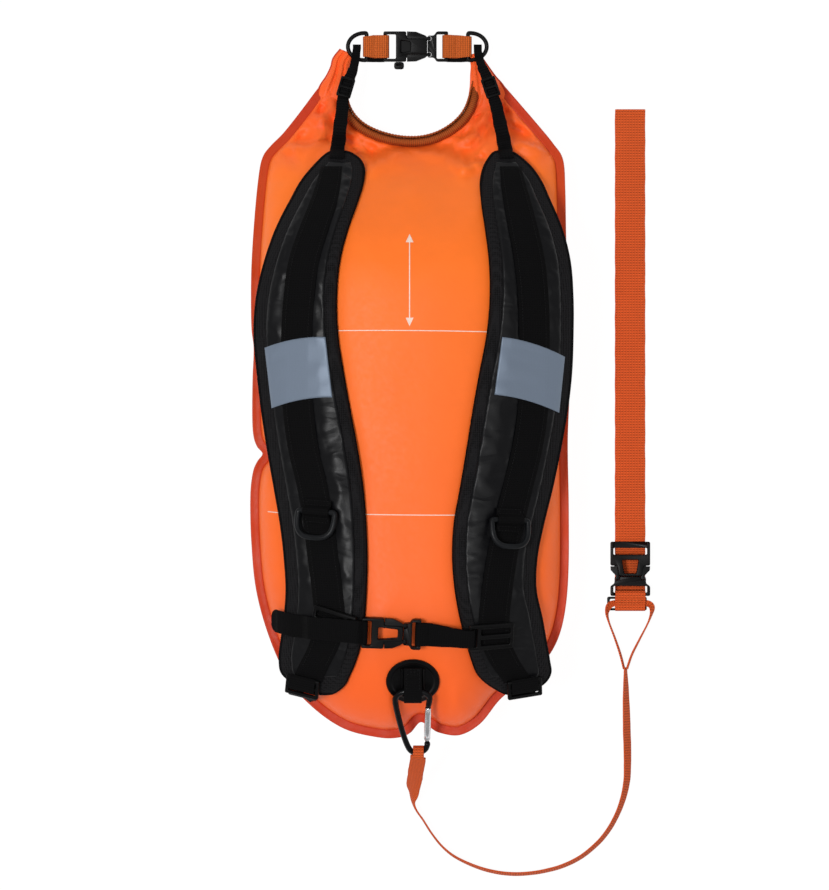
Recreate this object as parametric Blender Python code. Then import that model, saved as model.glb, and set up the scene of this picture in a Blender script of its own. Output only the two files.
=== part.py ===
"""Open water swim buoy: an inflated dry bag with a roll top, a backpack harness, an anchor
disc with a carabiner, a leash and a waist belt. It lies on its front, harness side up.
+X is to the bag's right as the harness is seen, +Y is towards the roll top, +Z is up."""

import math

import bmesh
import bpy
import numpy as np
from mathutils import Matrix, Vector
from mathutils.bvhtree import BVHTree
from mathutils.geometry import delaunay_2d_cdt

MM = 0.001
DEG = math.pi / 180

# Clearances
GAP = 0.3 * MM  # between rigid pieces that touch
SOFT_GAP = 0.5 * MM  # between a soft layer and what it lies on
WELD = 0.001 * MM
SKY = 1000 * MM  # a height above everything
FACET_SPOTS = np.linspace(0, 1, 9)  # where a facet is tested against what lies below
SEAT_SPOTS = 9
SLOPE_STEP = 4 * MM
SHARP_ANGLE = 40 * DEG

# Bag
BAG_WIDTH = 303 * MM
BAG_LENGTH = 656 * MM
SEAM_HEIGHT = 72 * MM  # of the welded seam above the floor
BAG_RISE = 78 * MM  # of the harness side above the seam
BAG_DROP = 76 * MM  # of the front below the seam, before the floor flattens it
PILLOW_REACH = 135 * MM  # in from the seam to where the bag is at full height
NECK_DROP = 56 * MM  # how far the mouth sags below the rest of the seam
NECK_SHARES = (0.25, 1.0)  # of the half length: where that sag begins and ends
THIN_SHARES = (0.36, 0.92)  # of the half length: where the bag thins towards its mouth
MOUTH_THIN_SHARE = 0.82
LYING_SLOPE = 0.55  # the steepest that a stiff layer lies on the bag
SEAM_WIDTH = 8 * MM
SEAM_THICK = 1.4 * MM
RING_INSETS = (1.5 * MM, 7 * MM, 20 * MM)  # rows of faces in from the bag's edge
CORE_INSET = 32 * MM
CORE_STEP = 29 * MM
RING_SPACING_SHARE = 0.6
RING_KEEP_SHARE = 0.93
ROW_SHARE = 0.87

# The bag's seam, from the left of the mouth round the foot to the right of the mouth
SEAM_SHARES = (
    (-0.560, 0.905), (-0.610, 0.875), (-0.693, 0.823), (-0.800, 0.760), (-0.880, 0.722),
    (-0.930, 0.690), (-0.955, 0.640), (-0.980, 0.520), (-1.000, 0.360), (-1.000, 0.200),
    (-0.985, 0.130), (-0.992, 0.040), (-0.994, -0.070), (-0.986, -0.125), (-0.964, -0.155),
    (-0.930, -0.176), (-0.962, -0.198), (-0.990, -0.230), (-1.006, -0.300), (-1.000, -0.430),
    (-0.970, -0.570), (-0.890, -0.705), (-0.768, -0.830), (-0.618, -0.910), (-0.420, -0.973),
    (-0.200, -0.999), (-0.070, -0.999), (0.000, -0.985), (0.060, -0.955), (0.115, -0.967),
    (0.180, -0.985), (0.310, -0.992), (0.440, -0.958), (0.560, -0.890), (0.690, -0.840),
    (0.820, -0.790), (0.915, -0.725), (0.968, -0.640), (0.992, -0.520), (0.994, -0.330),
    (0.988, -0.140), (1.000, 0.020), (0.998, 0.200), (0.980, 0.430), (0.975, 0.590),
    (0.962, 0.680), (0.900, 0.728), (0.800, 0.785), (0.690, 0.845), (0.610, 0.888),
    (0.572, 0.908),
)
SIDE_NOTCH = (14, 15, 16)  # rows of the seam that pinch in at the left
FOOT_NOTCH = (27, 28, 29)  # rows of the seam that pinch in at the foot
SEAM_STEPS = 2  # faces from one row of the seam to the next

# Roll top: the mouth's edge, from the left closure ring down round the handle gap and up again
MOUTH_SHARES = (
    (-0.400, 0.950), (-0.400, 0.905), (-0.390, 0.850), (-0.340, 0.808), (-0.255, 0.777),
    (-0.115, 0.754), (0.035, 0.748), (0.160, 0.761), (0.273, 0.793), (0.345, 0.836),
    (0.380, 0.893), (0.396, 0.925), (0.404, 0.945),
)
MOUTH_STEPS = 2
WEB_THICK = 1.4 * MM  # of every webbing
BAND_TAPER = 2.6
WRAP_EASE = 0.2 * MM
MOUTH_WEB_DEPTH = 25 * MM
ROLL_THICK = 7 * MM
ROLL_END_THICK = 12 * MM
ROLL_END_SHARE = 0.12  # of the roll's length, at each end, over which it thickens
ROLL_DEPTH = 27 * MM
ROLL_SECTION_SHARES = ((-1, 0.55), (-0.8, 0.9), (-0.4, 1), (0.4, 1), (0.8, 0.9), (1, 0.55))

# Closure strap across the mouth
CLOSURE_REACH = 4 * MM  # of the strap's middle past the bag's end
CLOSURE_HEIGHT = 16 * MM
CLOSURE_WEB_WIDTH = 22 * MM
CLOSURE_RING_WEB_WIDTH = 19.5 * MM
CLOSURE_RING_BAR = 26 * MM  # between the corners of the ring's straight bar
CLOSURE_RING_REACH = 18 * MM
CLOSURE_WIRE = 4 * MM
CLOSURE_RING_CORNER = 2.2 * MM
CLOSURE_RING_SIDES = 10
CLOSURE_RING_LEFT_X = -42 * MM  # of the straight bar
CLOSURE_RING_RIGHT_X = 55 * MM
CLOSURE_BUCKLE_X = -26 * MM  # of the socket's outer end

# Shoulder straps: (share of the pad's length from its top, centre and half width)
PAD_LENGTH_SHARE = 0.785061  # of the bag's length
PAD_LENGTH = PAD_LENGTH_SHARE * BAG_LENGTH
PAD_TOP_SHARE = 0.701  # of the bag's half length
PAD_WIDTH = 84 * MM
PAD_THICK = 9 * MM
PAD_EDGE = 3.2 * MM
PAD_CROWN = 13 * MM  # in from the pad's edge to its full thickness
PAD_EDGE_INSETS = (0 * MM, 2.2 * MM, 6 * MM)  # rows of faces in from each edge
PAD_MIDDLE_SHARES = (-1, -0.5, 0, 0.5, 1)  # of what lies inside the cover's edge
PAD_ROWS = 31
PAD_END_CROWDING = 0.62  # 0 spaces the rows evenly, 1 crowds them at the ends
PAD_SHARES = {
    "left": (
        (0.000, -0.452, 0.200), (0.010, -0.442, 0.380), (0.025, -0.448, 0.536),
        (0.050, -0.482, 0.670), (0.090, -0.538, 0.746), (0.140, -0.610, 0.795),
        (0.200, -0.673, 0.830), (0.270, -0.712, 0.888), (0.340, -0.716, 0.930),
        (0.410, -0.688, 0.958), (0.480, -0.653, 0.984), (0.550, -0.613, 0.998),
        (0.620, -0.574, 0.985), (0.690, -0.544, 0.946), (0.750, -0.529, 0.915),
        (0.810, -0.526, 0.886), (0.860, -0.538, 0.888), (0.900, -0.557, 0.890),
        (0.940, -0.582, 0.845), (0.965, -0.590, 0.740), (0.985, -0.560, 0.500),
        (1.000, -0.533, 0.160),
    ),
    "right": (
        (0.000, 0.582, 0.200), (0.010, 0.592, 0.330), (0.025, 0.605, 0.490),
        (0.050, 0.625, 0.649), (0.090, 0.658, 0.757), (0.140, 0.705, 0.845),
        (0.200, 0.744, 0.895), (0.270, 0.757, 0.918), (0.340, 0.747, 0.955),
        (0.410, 0.720, 1.020), (0.480, 0.685, 1.048), (0.550, 0.645, 1.040),
        (0.620, 0.600, 1.022), (0.690, 0.550, 0.990), (0.750, 0.526, 0.932),
        (0.810, 0.532, 0.893), (0.860, 0.566, 0.905), (0.900, 0.596, 0.885),
        (0.940, 0.628, 0.855), (0.965, 0.650, 0.800), (0.985, 0.660, 0.560),
        (1.000, 0.650, 0.200),
    ),
}
COVER_INSET = 11 * MM
COVER_THICK = 0.8 * MM
COVER_ROW_SHARES = (0.1, 0.872)  # of the pad's rows
COVER_EDGE_SHARE = 0.5  # of the pad's half width, where the pad is narrow
STRAP_WIDTH = 29 * MM
STRAP_COLUMNS = 4
STRAP_ROWS = 29
STRAP_SPAN_SHARES = (0.028, 0.980)  # of the pad's length
STRAP_SHARES = {  # (share of the pad's length from its top, centre, width)
    "left": (
        (0.00, -0.483, 0.60), (0.03, -0.496, 0.70), (0.09, -0.539, 0.88), (0.14, -0.598, 0.96),
        (0.20, -0.662, 1.00), (0.27, -0.696, 1.00), (0.34, -0.711, 1.00), (0.41, -0.711, 1.00),
        (0.48, -0.700, 1.00), (0.55, -0.668, 1.00), (0.62, -0.612, 1.00), (0.69, -0.570, 1.00),
        (0.75, -0.545, 1.00), (0.81, -0.519, 1.00), (0.87, -0.507, 1.00), (0.91, -0.540, 1.00),
        (0.95, -0.606, 1.00), (0.98, -0.650, 1.00), (1.00, -0.668, 1.00),
    ),
    "right": (
        (0.00, 0.622, 0.62), (0.03, 0.629, 0.70), (0.09, 0.666, 0.88), (0.14, 0.702, 0.96),
        (0.20, 0.742, 1.00), (0.27, 0.766, 1.00), (0.34, 0.774, 1.00), (0.41, 0.772, 1.00),
        (0.48, 0.764, 1.00), (0.55, 0.728, 1.00), (0.62, 0.670, 1.00), (0.69, 0.612, 1.00),
        (0.75, 0.570, 1.00), (0.81, 0.540, 1.00), (0.87, 0.522, 1.00), (0.91, 0.540, 1.00),
        (0.95, 0.608, 1.00), (0.98, 0.680, 1.00), (1.00, 0.712, 1.00),
    ),
}
PATCH_THICK = 0.6 * MM
PATCH_BOW = 3 * MM
PATCH_CORNER_SHARES = {  # top left, top right, foot right, foot left
    "left": ((-0.912, 0.130), (-0.530, 0.160), (-0.487, -0.014), (-0.868, -0.045)),
    "right": ((0.571, 0.160), (0.966, 0.104), (0.930, -0.058), (0.523, -0.006)),
}
PATCH_ROWS = 6
PATCH_COLUMNS = 8

# Load straps from the closure rings to the pads: (x, y, height above the seam, width), first
# in millimetres from the middle of the ring's bar, then as shares of the bag
LOAD_WIDTH = 11 * MM
LOAD_THICK = 1.6 * MM
LOAD_HEAD_ROUTE = {
    "left": (
        (-9.51, 1.576, -0.03, 0.75), (-9.51, -1.704, 0.01, 0.75), (-9.813, -5.312, 0.040, 0.75),
        (-10.419, -9.904, 0.048, 0.8),
    ),
    "right": (
        (9.236, 1.576, -0.03, 0.75), (9.236, -1.704, 0.01, 0.75), (9.539, -5.312, 0.040, 0.75),
        (10.448, -9.904, 0.048, 0.8),
    ),
}
LOAD_SHARES = {
    "left": (
        (-0.353, 0.960, 0.14, 0.8), (-0.366, 0.938, 0.22, 0.85),
        (-0.388, 0.915, 0.26, 0.95), (-0.408, 0.890, 0.275, 1.0), (-0.425, 0.855, 0.285, 1.0),
        (-0.434, 0.810, 0.310, 1.1), (-0.445, 0.765, 0.380, 1.15),
    ),
    "right": (
        (0.443, 0.963, 0.16, 0.8), (0.457, 0.945, 0.23, 0.85),
        (0.480, 0.920, 0.265, 0.95), (0.505, 0.890, 0.275, 1.0), (0.528, 0.855, 0.285, 1.0),
        (0.552, 0.810, 0.310, 1.1), (0.572, 0.765, 0.380, 1.15),
    ),
}
LOAD_FOOT_SHARES = {  # (x, y, width) of the end that lies on the pad
    "left": ((-0.455, 0.725, 1.2), (-0.460, 0.705, 1.2), (-0.464, 0.682, 1.2)),
    "right": ((0.590, 0.725, 1.2), (0.598, 0.705, 1.2), (0.604, 0.682, 1.2)),
}
LOAD_SLIDER_SHARE = 0.895  # of the bag's half length
LOAD_SLIDER_WIDTH = 14 * MM
LOAD_SLIDER_LENGTH = 20 * MM
LOAD_SLIDER_BAR = 2.4 * MM
LOAD_SLIDER_RAIL = 2.2 * MM
LOAD_GAP = 0.4 * MM
LOAD_STEP = 1 * MM  # either side of the pad's end, where the strap must clear it
SLIDER_THICK = 3 * MM

# D rings on the shoulder straps
STRAP_RING_SHARES = {"left": 0.664, "right": 0.680}  # of the pad's length
STRAP_RING_TURN = {"left": -4 * DEG, "right": -2 * DEG}
STRAP_RING_BAR = 38 * MM
STRAP_RING_REACH = 25 * MM
STRAP_RING_WIRE = 5.4 * MM
STRAP_RING_CORNER = 4 * MM
STRAP_RING_REST = 8 * DEG
KEEPER_WIDTH = 27 * MM
KEEPER_REACH = 11 * MM
KEEPER_FOOT = 1.8 * MM  # from the ring's wire to where the keeper lies flat
KEEPER_TURNS = (165, 15)  # over the ring's wire, in degrees

# Sternum strap
STERNUM_SLIDER_SHARES = {"left": 0.868, "right": 0.893}  # of the pad's length
STERNUM_SLIDER_TURN = {"left": -12 * DEG, "right": -3 * DEG}
STERNUM_SLIDER_WIDTH = 36 * MM
STERNUM_SLIDER_LENGTH = 26 * MM
STERNUM_BAR = 4.5 * MM
STERNUM_RAIL = 3.5 * MM
STERNUM_WEB_WIDTH = 22 * MM
STERNUM_BUCKLE_OFFSET = (30.696 * MM, -8.908 * MM)  # of the socket from the left slider
STERNUM_TURN = -2 * DEG
TAIL_REACH = 12 * MM  # of the spare webbing past the pad
STERNUM_SEAT = 1.6 * MM
STERNUM_RAIL_WEB_WIDTH = 18 * MM
RETURN_REACH = 6 * MM  # of the webbing's end under the socket
TAIL_RISE = 11 * MM
TAIL_SAG = 4 * MM
TAIL_LEAD = 0.6 * MM
TAIL_GAP = 0.7 * MM
TAIL_ROWS = 15

# Ladder locks at the feet of the shoulder straps
LOCK_X_SHARES = {"left": -0.675, "right": 0.714}  # of the bag's half width
LOCK_SHARES = {"left": 0.98655, "right": 0.98973}  # of the pad's length
LOCK_TURN = {"left": -6 * DEG, "right": 2 * DEG}
LOCK_WIDTH = 34 * MM
LOCK_LENGTH = 19 * MM
LOCK_THICK = 3.5 * MM
LOCK_BAR = 3.2 * MM
LOCK_RAIL = 3.2 * MM
LOWER_WEB_WIDTH = 25 * MM
LOWER_WEB_ROWS = 9
LANDING_BOW = 8 * MM
LOWER_WEB_BOW = 6 * MM
LOWER_WEB_TUCK = 0.8 * MM  # of it under the lock
LOWER_WEB_TURN_SHARE = 0.45  # of its length, after which it turns to lie on the seam

# Anchor disc, its loop and the carabiner
ANCHOR_SHARE = (0.015, -0.832)
ANCHOR_DIAMETER = 51 * MM
ANCHOR_RIM = 1.6 * MM
ANCHOR_THICK = 3.2 * MM
ANCHOR_RADIUS_SHARES = (0.3, 0.55, 0.74, 0.86, 1.0)
ANCHOR_SIDES = 24
LOOP_WIDTH = 17 * MM
LOOP_TOP = 17 * MM  # above the disc's centre, along the bag
LOOP_SEWN = 7 * MM  # of the top end, over the lower end
LOOP_LIFT = 1.8 * MM
LOOP_SEAT = 0.4 * MM
LOOP_DROP = 16 * MM
LOOP_BAR_UP = 8 * MM  # of the carabiner's bar above the loop's fold
CARABINER_WIRE = 5.6 * MM
CARABINER_SLOPE = 33 * DEG
CARABINER_LENGTH = 76 * MM
CARABINER_BROAD = 33 * MM
CARABINER_SHARES = (  # (of half the broad width, of the length), from the nose round
    (0.88, -0.249), (0.95, -0.150), (0.93, -0.080), (0.58, -0.014), (0.00, 0.000),
    (-0.60, -0.014), (-0.97, -0.095), (-0.97, -0.240), (-0.66, -0.600), (-0.34, -0.865),
    (-0.08, -0.975), (0.32, -1.000), (0.68, -0.955), (0.82, -0.880), (0.82, -0.834),
)
GATE_HINGE_SHARE = (0.82, -0.775)
GATE_TOP_SHARE = (0.88, -0.262)
GATE_DIAMETER = 6.2 * MM
GATE_SLOT_EASE = 0.8 * MM
TANG_THICK = 2 * MM  # of the flat that the gate turns on
TANG_WIDTH = 4.4 * MM
TANG_BEVEL = 0.2 * MM
PIN_DIAMETER = 1.6 * MM
PIN_CLEARANCE = 0.15 * MM
PIN_SHORT = 0.1 * MM  # of each end below the gate's side

# Side-release buckles: lengths along the strap from the socket's outer end
BUCKLES = {
    "closure": {
        "width": 29 * MM, "thick": 8 * MM, "bar": 3.2 * MM, "slot": 12 * MM, "wall": 22 * MM,
        "window": 26 * MM, "tongue": 42 * MM, "base": 51 * MM, "plug_bar": 3.2 * MM,
        "length": 62 * MM,
    },
    "sternum": {
        "width": 29 * MM, "thick": 8 * MM, "bar": 3.2 * MM, "slot": 9 * MM, "wall": 21 * MM,
        "window": 34 * MM, "tongue": 39 * MM, "base": 47.5 * MM, "plug_bar": 3.2 * MM,
        "length": 56 * MM,
    },
    "belt": {
        "width": 38 * MM, "thick": 11 * MM, "bar": 6 * MM, "slot": 12.5 * MM, "wall": 23 * MM,
        "window": 30.5 * MM, "tongue": 33 * MM, "base": 42.5 * MM, "plug_bar": 3.2 * MM,
        "length": 52 * MM,
    },
}
BUCKLE_RAIL = 2.8 * MM  # beside a slot
BUCKLE_PLATE = 1.7 * MM  # over and under the prongs
BUCKLE_WALL = 2 * MM
BUCKLE_BEVEL = 0.6 * MM
BUCKLE_LIP = 0.8 * MM  # at the end of a side wall, along the buckle
BUCKLE_LIP_REACH = 1.5 * MM
BUCKLE_BAR_THICK = 3.2 * MM
PRONG_ROOT = 2.2 * MM  # radius at its hinge
PRONG_ROOT_TURN = 140  # either way from the plug, in degrees
PRONG_ARM = 3 * MM
PRONG_CATCH = 5 * MM
PRONG_BEVEL = 0.25 * MM
PRONG_SEAT = 1.3 * MM  # how far its hinge lies inside the plug
PLUG_NECK = 2.5 * MM
BUCKLE_TAB = 6.5 * MM  # of each prong beside the tongue
TONGUE_SHARE = 0.9  # of its own width, at its end
WINDOW_BACK = 5.5 * MM  # of the window behind the end of the side walls
WINDOW_NARROW_SHARE = 0.3
WINDOW_BROAD_SHARE = 0.42
CORNER = 1.6 * MM
SLOT_CORNER = 0.8 * MM
SIDE_BAR = 3 * MM  # of a slider's side loop
SIDE_SLOT = 5 * MM
TAB_END_SHARE = 1.6  # of the root's radius
OVERRUN = 2 * MM  # that cutters run past what they cut
WHISTLE_WIDTH = 9.5 * MM
WHISTLE_REACH = 7 * MM
WHISTLE_THICK = 7 * MM
WHISTLE_BORE = 4.9 * MM
WHISTLE_WINDOW = 1.8 * MM
WHISTLE_PLACE = 15 * MM  # along the closure buckle

# Waist belt, folded in half beside the bag
BELT_X = 210.5 * MM
BELT_WIDTH = 29 * MM
BELT_TOP = 272 * MM
BELT_FOOT = -208 * MM
BELT_BUCKLE_Y = -142 * MM  # of the socket's outer end
BELT_BUCKLE_HEIGHT = 9.3 * MM
BELT_LAYER_GAP = 0.45 * MM
BELT_EASE = 0.3 * MM
BELT_LEAD = 8 * MM
BELT_DROP = 2 * MM
GLIDE_WIDTH = 38 * MM
GLIDE_LENGTH = 13.2 * MM
GLIDE_THICK = 3 * MM
GLIDE_BAR = 2.2 * MM
GLIDE_RAIL = 2.6 * MM
GLIDE_SHIFT = 3 * MM  # to the left of the belt's middle

# Leash: hand-laid route of the webbing's middle, (x, y, z, turn of its width from level)
LEASH_WIDTH = 15 * MM
ROUTE_STEPS = 2
HITCH_WIDTH = 7 * MM
HITCH_EASE = 2.6 * MM
HITCH_TURNS = (-35, 305)  # round the carabiner, in degrees
LEASH_ROUTE = (
    (7.4, -345.5, 83.8, 8), (6.6, -350.8, 75.0, 10), (5.6, -357.2, 63.6, 14),
    (4.6, -363.8, 51.0, 22), (3.5, -370.4, 38.0, 34), (2.4, -376.8, 25.8, 48),
    (1.8, -383.5, 15.5, 62), (2.2, -391.0, 9.8, 74), (5.6, -399.5, 8.3, 80),
    (11.9, -408.5, 8.3, 80), (19.5, -420.5, 8.3, 79), (28.8, -432.5, 8.2, 76),
    (39.2, -441.8, 8.1, 70), (51.2, -448.6, 7.8, 64), (64.2, -454.0, 7.5, 58),
    (77.2, -457.8, 7.3, 54), (90.4, -460.0, 7.2, 52), (103.6, -460.5, 7.1, 51),
    (116.4, -459.6, 7.1, 51), (129.2, -457.4, 7.2, 52), (146.4, -452.6, 7.4, 55),
    (164.4, -443.4, 7.6, 59), (180.4, -429.8, 7.8, 62), (191.2, -416.0, 7.9, 64),
    (199.0, -401.0, 7.9, 65), (204.4, -385.6, 7.8, 62), (207.2, -370.6, 7.6, 58),
    (207.9, -355.6, 7.4, 55), (207.7, -338.4, 7.3, 53), (207.2, -320.4, 7.3, 53),
    (206.7, -300.4, 7.5, 57), (206.3, -280.4, 7.9, 66), (206.0, -265.1, 8.2, 78),
)
EYE_ROUTE = (  # and its width as a share of the leash's
    (207.4, -264.0, 8.2, 82, 1), (212.0, -250.5, 8.2, 82, 1), (219.5, -235.5, 8.2, 84, 1),
    (226.8, -221.5, 8.4, 86, 1), (230.0, -213.5, 9.2, 80, 0.92), (231.2, -208.6, 9.8, 66, 0.84),
    (231.0, -204.6, 8.9, 44, 0.74), (229.2, -202.0, 7.2, 18, 0.66),
    (225.8, -200.8, 6.15, 0, 0.62),
    (217.0, -200.7, 6.15, 0, 0.64), (209.0, -200.7, 6.15, 0, 0.64),
    (201.0, -200.7, 6.15, 0, 0.64),
    (195.4, -200.8, 6.15, 0, 0.62), (192.0, -202.0, 7.4, -18, 0.66),
    (189.4, -204.9, 9.2, -46, 0.74),
    (188.4, -208.8, 10.0, -66, 0.84), (188.6, -213.5, 9.4, -80, 0.92), (190.9, -221.5, 8.4, -86, 1),
    (196.2, -235.5, 8.2, -84, 1), (201.2, -250.5, 8.2, -82, 1), (204.6, -264.0, 8.2, -82, 1),
)

# Inflation valve on the front, low at the left where the bag curves up off the floor
VALVE_SHARE = (-0.715, -0.46)
VALVE_DIAMETER = 34 * MM
VALVE_FLANGE = 1.4 * MM
VALVE_BOSS = 20 * MM
VALVE_BOSS_HEIGHT = 4 * MM
VALVE_BORE = 9 * MM
VALVE_CAP = 15 * MM
VALVE_CAP_HEIGHT = 6 * MM
CAP_CHAMFER = 1 * MM
STEM_HEIGHT = 8 * MM  # above the flange's foot
STEM_BORE = 2 * MM  # its radius
STEM_FLOOR = 2 * MM
VALVE_GAP = 0.8 * MM  # under the flange, which a curved bag comes closer to
VALVE_SIDES = 16

HALF_WIDTH = BAG_WIDTH / 2
HALF_LENGTH = BAG_LENGTH / 2
CLOSURE_Y = HALF_LENGTH + CLOSURE_REACH
CLOSURE_RING_X = {"left": CLOSURE_RING_LEFT_X, "right": CLOSURE_RING_RIGHT_X}
ROUTE_UNIT = MM


def at(share):
    return np.array([share[0] * HALF_WIDTH, share[1] * HALF_LENGTH])


def smoothstep(t):
    t = np.clip(t, 0, 1)
    return t * t * (3 - 2 * t)


def smooth_path(points, steps, closed=False):
    """Points along a Catmull-Rom curve through the given ones."""
    points = np.array(points, float)
    count = len(points)
    if closed:
        padded = np.vstack([points[-1:], points, points[:2]])
    else:
        first, last = 2 * points[0] - points[1], 2 * points[-1] - points[-2]
        padded = np.vstack([first, points, last])
    found = []
    for i in range(count if closed else count - 1):
        a, b, c, d = padded[i : i + 4]
        for k in range(steps):
            t = k / steps
            found.append(
                (2 * b + (c - a) * t + (2 * a - 5 * b + 4 * c - d) * t**2
                 + (3 * b - a - 3 * c + d) * t**3) / 2
            )
    if not closed:
        found.append(points[-1])
    return np.array(found)


def smooth_at(table, t):
    """The columns of a table after the first, at place t of the first, on a smooth curve."""
    table = np.array(table, float)
    keys = table[:, 0]
    slopes = np.gradient(table[:, 1:], keys, axis=0)
    i = int(np.clip(np.searchsorted(keys, t) - 1, 0, len(keys) - 2))
    span = keys[i + 1] - keys[i]
    u = np.clip((t - keys[i]) / span, 0, 1)
    return (
        (2 * u**3 - 3 * u**2 + 1) * table[i, 1:]
        + (u**3 - 2 * u**2 + u) * span * slopes[i]
        + (3 * u**2 - 2 * u**3) * table[i + 1, 1:]
        + (u**3 - u**2) * span * slopes[i + 1]
    )


def left_normals(path):
    """Unit vectors to the left of an open path in the plane."""
    along = np.gradient(path, axis=0)
    along /= np.linalg.norm(along, axis=1)[:, None]
    return np.column_stack([-along[:, 1], along[:, 0]])


def inside_distance(points, ring):
    """How far each point lies inside a closed polygon; negative outside it."""
    points = np.atleast_2d(points)
    start, end = ring, np.roll(ring, -1, axis=0)
    edge = end - start
    rel = points[:, None, :] - start[None]
    t = np.clip((rel * edge).sum(2) / (edge**2).sum(1), 0, 1)
    gap = np.linalg.norm(rel - t[..., None] * edge, axis=2).min(1)
    above = (start[:, 1] > points[:, None, 1]) != (end[:, 1] > points[:, None, 1])
    rise = np.where(edge[:, 1] == 0, 1, edge[:, 1])
    cross = start[:, 0] + (points[:, None, 1] - start[:, 1]) / rise * edge[:, 0]
    inside = ((points[:, None, 0] < cross) & above).sum(1) % 2 == 1
    return np.where(inside, gap, -gap)


# The seam runs anticlockwise, so the bag lies to its left
SEAM_PATH = smooth_path([at(share) for share in SEAM_SHARES], SEAM_STEPS)
PLAIN_ROWS = [
    share for i, share in enumerate(SEAM_SHARES) if i not in SIDE_NOTCH + FOOT_NOTCH
]
PLAIN_SEAM = smooth_path([at(share) for share in PLAIN_ROWS], SEAM_STEPS)
MOUTH_PATH = smooth_path([at(share) for share in MOUTH_SHARES], MOUTH_STEPS)


def roll_thickness():
    """Of the roll at each point of the mouth."""
    along = np.linspace(0, 1, len(MOUTH_PATH))
    near_end = 1 - np.minimum(along, 1 - along) / ROLL_END_SHARE
    return ROLL_THICK + (ROLL_END_THICK - ROLL_THICK) * smoothstep(near_end)


def below_mouth(depth):
    """The mouth's path moved away from the handle gap by a depth at each point."""
    return MOUTH_PATH - left_normals(MOUTH_PATH) * np.reshape(depth, (-1, 1))


def body_ring(seam):
    """The inflated body's outline in plan: inside the seam, and below the roll."""
    side = seam + left_normals(seam) * (SEAM_WIDTH + GAP)
    under_roll = below_mouth(WEB_THICK + roll_thickness() + 3 * GAP)
    lowest_tip = min(side[0, 1], side[-1, 1])
    return np.vstack([side, under_roll[under_roll[:, 1] < lowest_tip][::-1]])


BODY_RING = body_ring(SEAM_PATH)
LYING_RING = body_ring(PLAIN_SEAM)


def seam_height(y):
    start, end = (share * HALF_LENGTH for share in NECK_SHARES)
    return SEAM_HEIGHT - NECK_DROP * smoothstep((y - start) / (end - start))


def fullness(y):
    start, end = (share * HALF_LENGTH for share in THIN_SHARES)
    return 1 - MOUTH_THIN_SHARE * smoothstep((y - start) / (end - start))


def pillow(depth):
    left = 1 - np.clip(depth / PILLOW_REACH, 0, 1)
    return np.sqrt(1 - left**2)


def bag_top(points):
    points = np.atleast_2d(points)
    rise = BAG_RISE * fullness(points[:, 1]) * pillow(inside_distance(points, BODY_RING))
    return seam_height(points[:, 1]) + rise


def bag_under(points):
    points = np.atleast_2d(points)
    drop = BAG_DROP * fullness(points[:, 1]) * pillow(inside_distance(points, BODY_RING))
    return np.maximum(0, seam_height(points[:, 1]) - drop)


def lying_height(points):
    """The harness side, carried on at a steady slope where the bag falls away more steeply."""
    points = np.atleast_2d(points)
    depth = inside_distance(points, LYING_RING)
    pull = LYING_SLOPE * PILLOW_REACH / BAG_RISE
    edge = PILLOW_REACH * (1 - pull / math.sqrt(1 + pull**2))
    rise = BAG_RISE * pillow(np.maximum(depth, edge)) - LYING_SLOPE * np.maximum(edge - depth, 0)
    return seam_height(points[:, 1]) + rise * fullness(points[:, 1])


def slope_at(height, x, y, step=SLOPE_STEP):
    """How steeply a height changes along X and along Y."""
    across = height([(x - step, y), (x + step, y)])
    along = height([(x, y - step), (x, y + step)])
    return (across[1] - across[0]) / (2 * step), (along[1] - along[0]) / (2 * step)


# Harness layers, from the bag up
PAD_TOP = SOFT_GAP + PAD_THICK
COVER_TOP = PAD_TOP + GAP + COVER_THICK


def pad_y(share):
    return PAD_TOP_SHARE * HALF_LENGTH - share * PAD_LENGTH


def pad_share(y):
    return (PAD_TOP_SHARE * HALF_LENGTH - y) / PAD_LENGTH


def pad_row(side, share):
    """(centre, half width) of a pad, in metres."""
    centre, half = smooth_at(PAD_SHARES[side], share)
    return centre * HALF_WIDTH, half * PAD_WIDTH / 2


def strap_row(side, share):
    centre, width = smooth_at(STRAP_SHARES[side], share)
    return centre * HALF_WIDTH, width * STRAP_WIDTH / 2


def pad_thickness(side, x, y):
    share = pad_share(y)
    centre, half = pad_row(side, share)
    from_edge = min(half - abs(x - centre), share * PAD_LENGTH, (1 - share) * PAD_LENGTH)
    flat = 1 - min(max(from_edge, 0) / PAD_CROWN, 1)
    return PAD_EDGE + (PAD_THICK - PAD_EDGE) * math.sqrt(1 - flat**2)


class Floor:
    """The upper surface of some pieces, found by looking straight down on them."""

    def __init__(self, *names):
        bpy.context.view_layer.update()
        self.trees = []
        for name in names:
            piece = bpy.data.objects[name]
            points = [piece.matrix_world @ v.co for v in piece.data.vertices]
            faces = [tuple(p.vertices) for p in piece.data.polygons]
            self.trees.append(BVHTree.FromPolygons(points, faces))

    def __call__(self, x, y):
        found = [tree.ray_cast(Vector((x, y, SKY)), Vector((0, 0, -1)))[0] for tree in self.trees]
        return max((hit.z for hit in found if hit is not None), default=-SKY)


def facet_height(z, u, v):
    """Height inside a four-cornered facet, however it is split into triangles."""
    if u >= v:
        first = z[0, 0] + u * (z[1, 0] - z[0, 0]) + v * (z[1, 1] - z[1, 0])
    else:
        first = z[0, 0] + v * (z[0, 1] - z[0, 0]) + u * (z[1, 1] - z[0, 1])
    if u + v <= 1:
        second = z[0, 0] + u * (z[1, 0] - z[0, 0]) + v * (z[0, 1] - z[0, 0])
    else:
        second = z[1, 1] + (1 - u) * (z[0, 1] - z[1, 1]) + (1 - v) * (z[1, 0] - z[1, 1])
    return min(first, second)


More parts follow.
